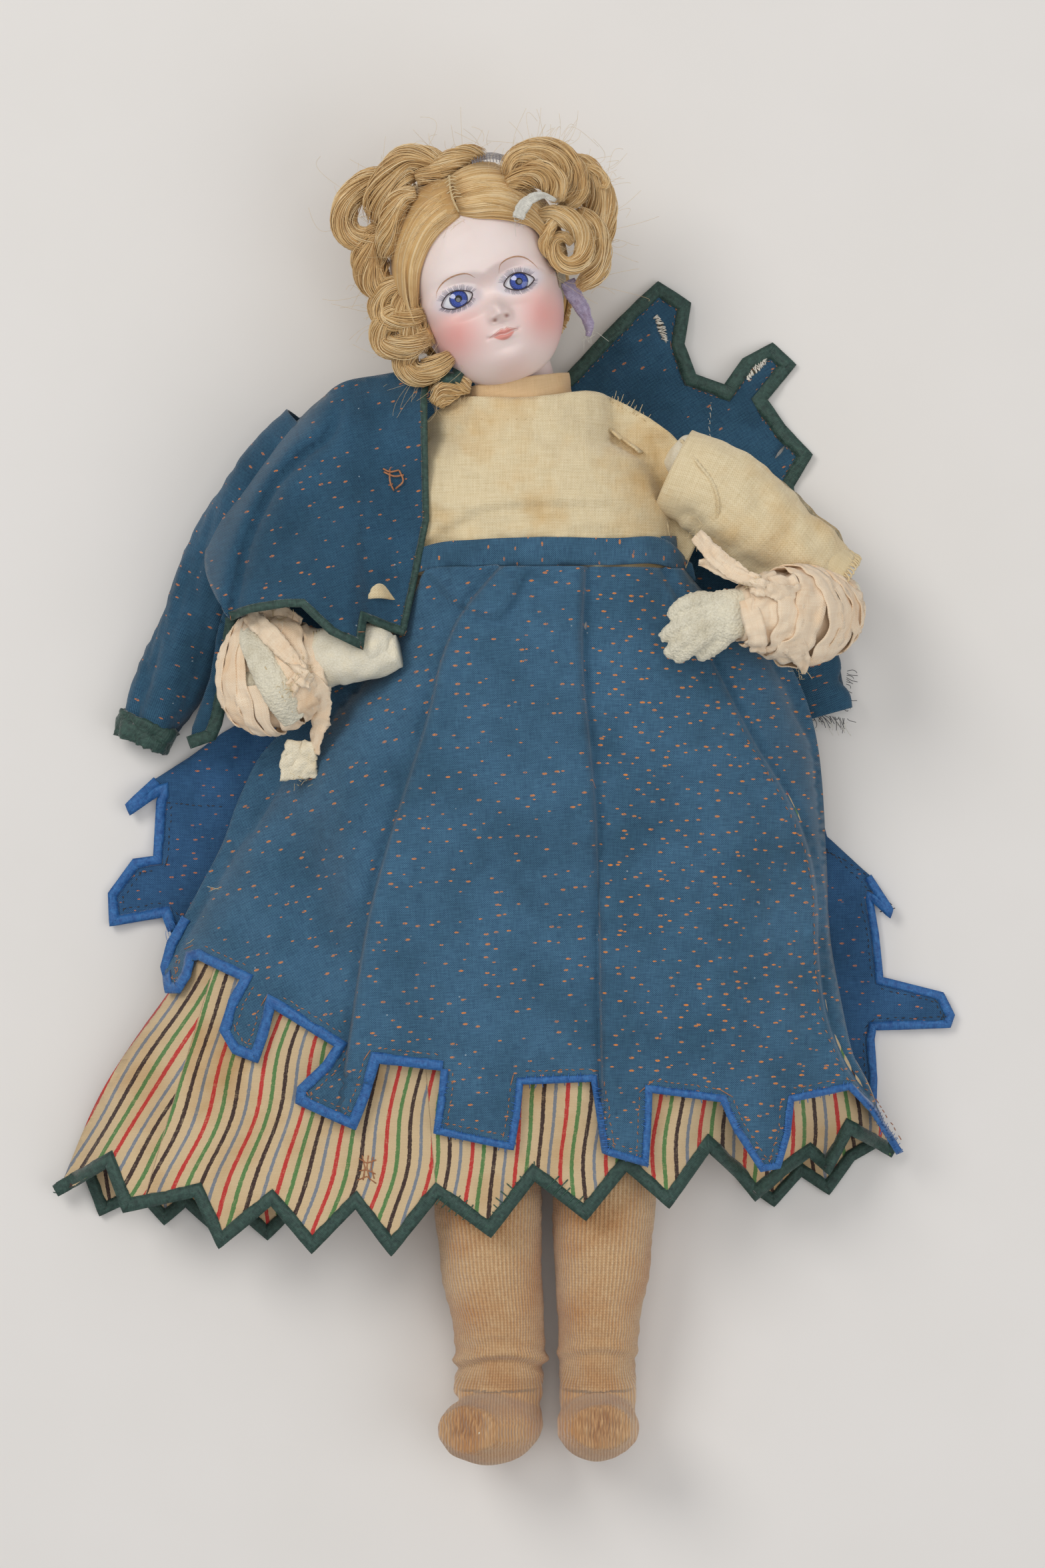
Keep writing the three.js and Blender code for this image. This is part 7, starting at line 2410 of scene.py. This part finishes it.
def hang(pieces, slot, a, b=None, start=None, end=None):
    for o in pieces:
        if b:
            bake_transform(o)
            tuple(start)
            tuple(end)
        else:
            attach(o, a)


def hips(slot, *pieces):
    hang(pieces, slot, "torso", "hips", HIP_START, HIP_END)


hips("blue_wool", skirt, skirt_back)
hips("ticking", underskirt, under_back)
hips(
    "blue_silk", hem_left, hem_right, hem_stitching, hem_silk, tab_frays, back_bound_left, back_bound_right,
    back_stitches
)
hips("green_silk", under_bound, under_whip, under_darn, under_frays, under_back_bound, under_back_bound2)
cloth_sheet(skirt)
cloth_sheet(underskirt)
cloth_sheet(skirt_back)
cloth_sheet(under_back)


ARM_R = ((-0.034, 0.1, 0.04), (-0.075, 0.09, 0.04))
hang(
    [jacket_front, front_bound, hem_bound, front_thread, thread_loop, flap, flap_bound, tab_bound], "blue_wool",
    "torso", "right_arm", *ARM_R
)
hang(
    [
        jacket_spread, jacket_back, jacket_left_sleeve, jacket_sleeve, spread_stitches, spread_seam, tail_frays,
        tail_frays2, waistband, waist_back
    ], "blue_wool", "torso"
)
hang([spread_bound, jacket_back_bound, cuff_bound], "green_silk", "torso")
hang([blouse, blouse_back, collar, blouse_frays, buttonholes, under_slits, under_slits2], "muslin", "torso")
cloth_sheet(
    jacket_front
)
cloth_sheet(flap)
cloth_sheet(jacket_spread)
cloth_sheet(under_slits)
cloth_sheet(under_slits2)
cloth_sheet(jacket_back)
cloth_sheet(jacket_left_sleeve)
cloth_sheet(jacket_sleeve)
cloth_sheet(blouse)
cloth_sheet(blouse_back)
cloth_sheet(collar)
cloth_sheet(waistband)
cloth_sheet(waist_back)

for side in ("left", "right"):
    hang([stocking_pieces[side]], "knit", side + "_shin")
    hang([lower_legs[side]], "kid_leather", side + "_shin")
    cloth_sheet(stocking_pieces[side])
for node, piece in leather.items():
    hang(
        [piece], "kid_leather",
        {
            "torso_body": "torso", "seat_gusset": "hips", "left_thigh": "hips", "right_thigh": "hips",
            "left_upper_arm": "left_arm", "right_upper_arm": "right_arm", "left_forearm": "left_forearm",
            "right_forearm": "right_forearm"
        }[node]
    )
ARM_L = ((0.052, 0.112, 0.035), (0.07, 0.1, 0.035))
hang([left_sleeve, armhole_seam], "muslin", "torso", "left_arm", *ARM_L)
hang([lace, lace_band], "muslin", "left_arm")
hang([left_hand, wrist, arm_seam, right_hand, hand_stitches], "kid_leather", "left_forearm")
for o in (wrist, arm_seam, right_hand, hand_stitches):
    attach(o, "right_forearm")
hang([left_bandage, tie_1, tie_2, tie_3, tie_4, tie_5, left_knot, left_fray], "rag", "left_forearm")
hang([right_sleeve], "muslin", "right_arm")
hang([right_bandage, rag_1, rag_2, rag_3, rag_4, rag_5, right_knot, rag_fray], "rag", "right_forearm")
cloth_sheet(left_sleeve)
cloth_sheet(lace_band)
cloth_sheet(right_sleeve)
for piece in (tie_1, tie_2, tie_3, tie_4, tie_5):
    cloth_sheet(piece)
for piece in (rag_1, rag_2, rag_3, rag_4, rag_5):
    cloth_sheet(piece)
hang([head_shell, neck_skin, brows, lash_paint, lid_paint, mouth_line, lip_edge], "bisque", "head")
hang(list(glass.values()), "eye_glass", "head")
hang([band_right, band_left, wig_back, curls_right, curls_left, part_thread, part_cord, loose_top], "mohair", "head")
hang([net], "wig_gauze", "head")
hang([ribbon_pale, ribbon_mauve, ribbon_fray], "ribbon_scraps", "head")
cloth_sheet(ribbon_pale)
cloth_sheet(ribbon_mauve)
for node, finish in (
    ("neck_peg", WOOD), ("neck_nut", WOOD), ("neck_spring", STEEL), ("cork_pate", CORK), ("eye_plaster", PLASTER),
    ("wig_cap", GAUZE), ("shoulder_plate", BISQUE)
):
    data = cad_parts[node].data
    data.materials.clear()
    data.materials.append(finish)


# ---- Camera, floor and light ----
def area_light(name, place, size, power, colour, aim=(0, 0, 0.02)):
    data = bpy.data.lights.new(name, "AREA")
    data.shape, data.size, data.energy, data.color = "DISK", size, power, colour
    o = bpy.data.objects.new(name, data)
    o.location = place
    o.rotation_euler = (Vector(aim) - Vector(place)).to_track_quat("-Z", "Y").to_euler()
    bpy.context.scene.collection.objects.link(o)


camera = bpy.data.objects.new("camera", bpy.data.cameras.new("camera"))
camera.location = (0.0051, 0.0075, 1.8)
camera.data.lens = 125.2
camera.data.sensor_width = 36.0
bpy.context.scene.collection.objects.link(camera)
bpy.context.scene.camera = camera
area_light("key_light", (-1.15, 1.0, 1.7), 1.1, 17.0, (1.0, 0.985, 0.96))
area_light("fill_light", (1.3, -0.5, 1.6), 1.6, 8.0, (0.96, 0.98, 1.0))
area_light("top_light", (0.1, 0.2, 2.3), 1.4, 9.0, (1.0, 0.99, 0.97))
world = bpy.data.worlds.new("studio")
world.use_nodes = True
world.node_tree.nodes["Background"].inputs[0].default_value = (0.93, 0.94, 0.96, 1)
world.node_tree.nodes["Background"].inputs[1].default_value = 0.42
bpy.context.scene.world = world
bpy.context.scene.view_settings.view_transform = "Standard"
floor_points = [(-1500, -1500, -0.2), (1500, -1500, -0.2), (1500, 1500, -0.2), (-1500, 1500, -0.2)]
floor_finish = simple("pale_paper", srgb(231, 227, 222), srgb(235, 231, 227), 3.0, 0.9, 0.02)
floor = build("studio_floor", arr(floor_points), [(0, 1, 2, 3)], floor_finish)
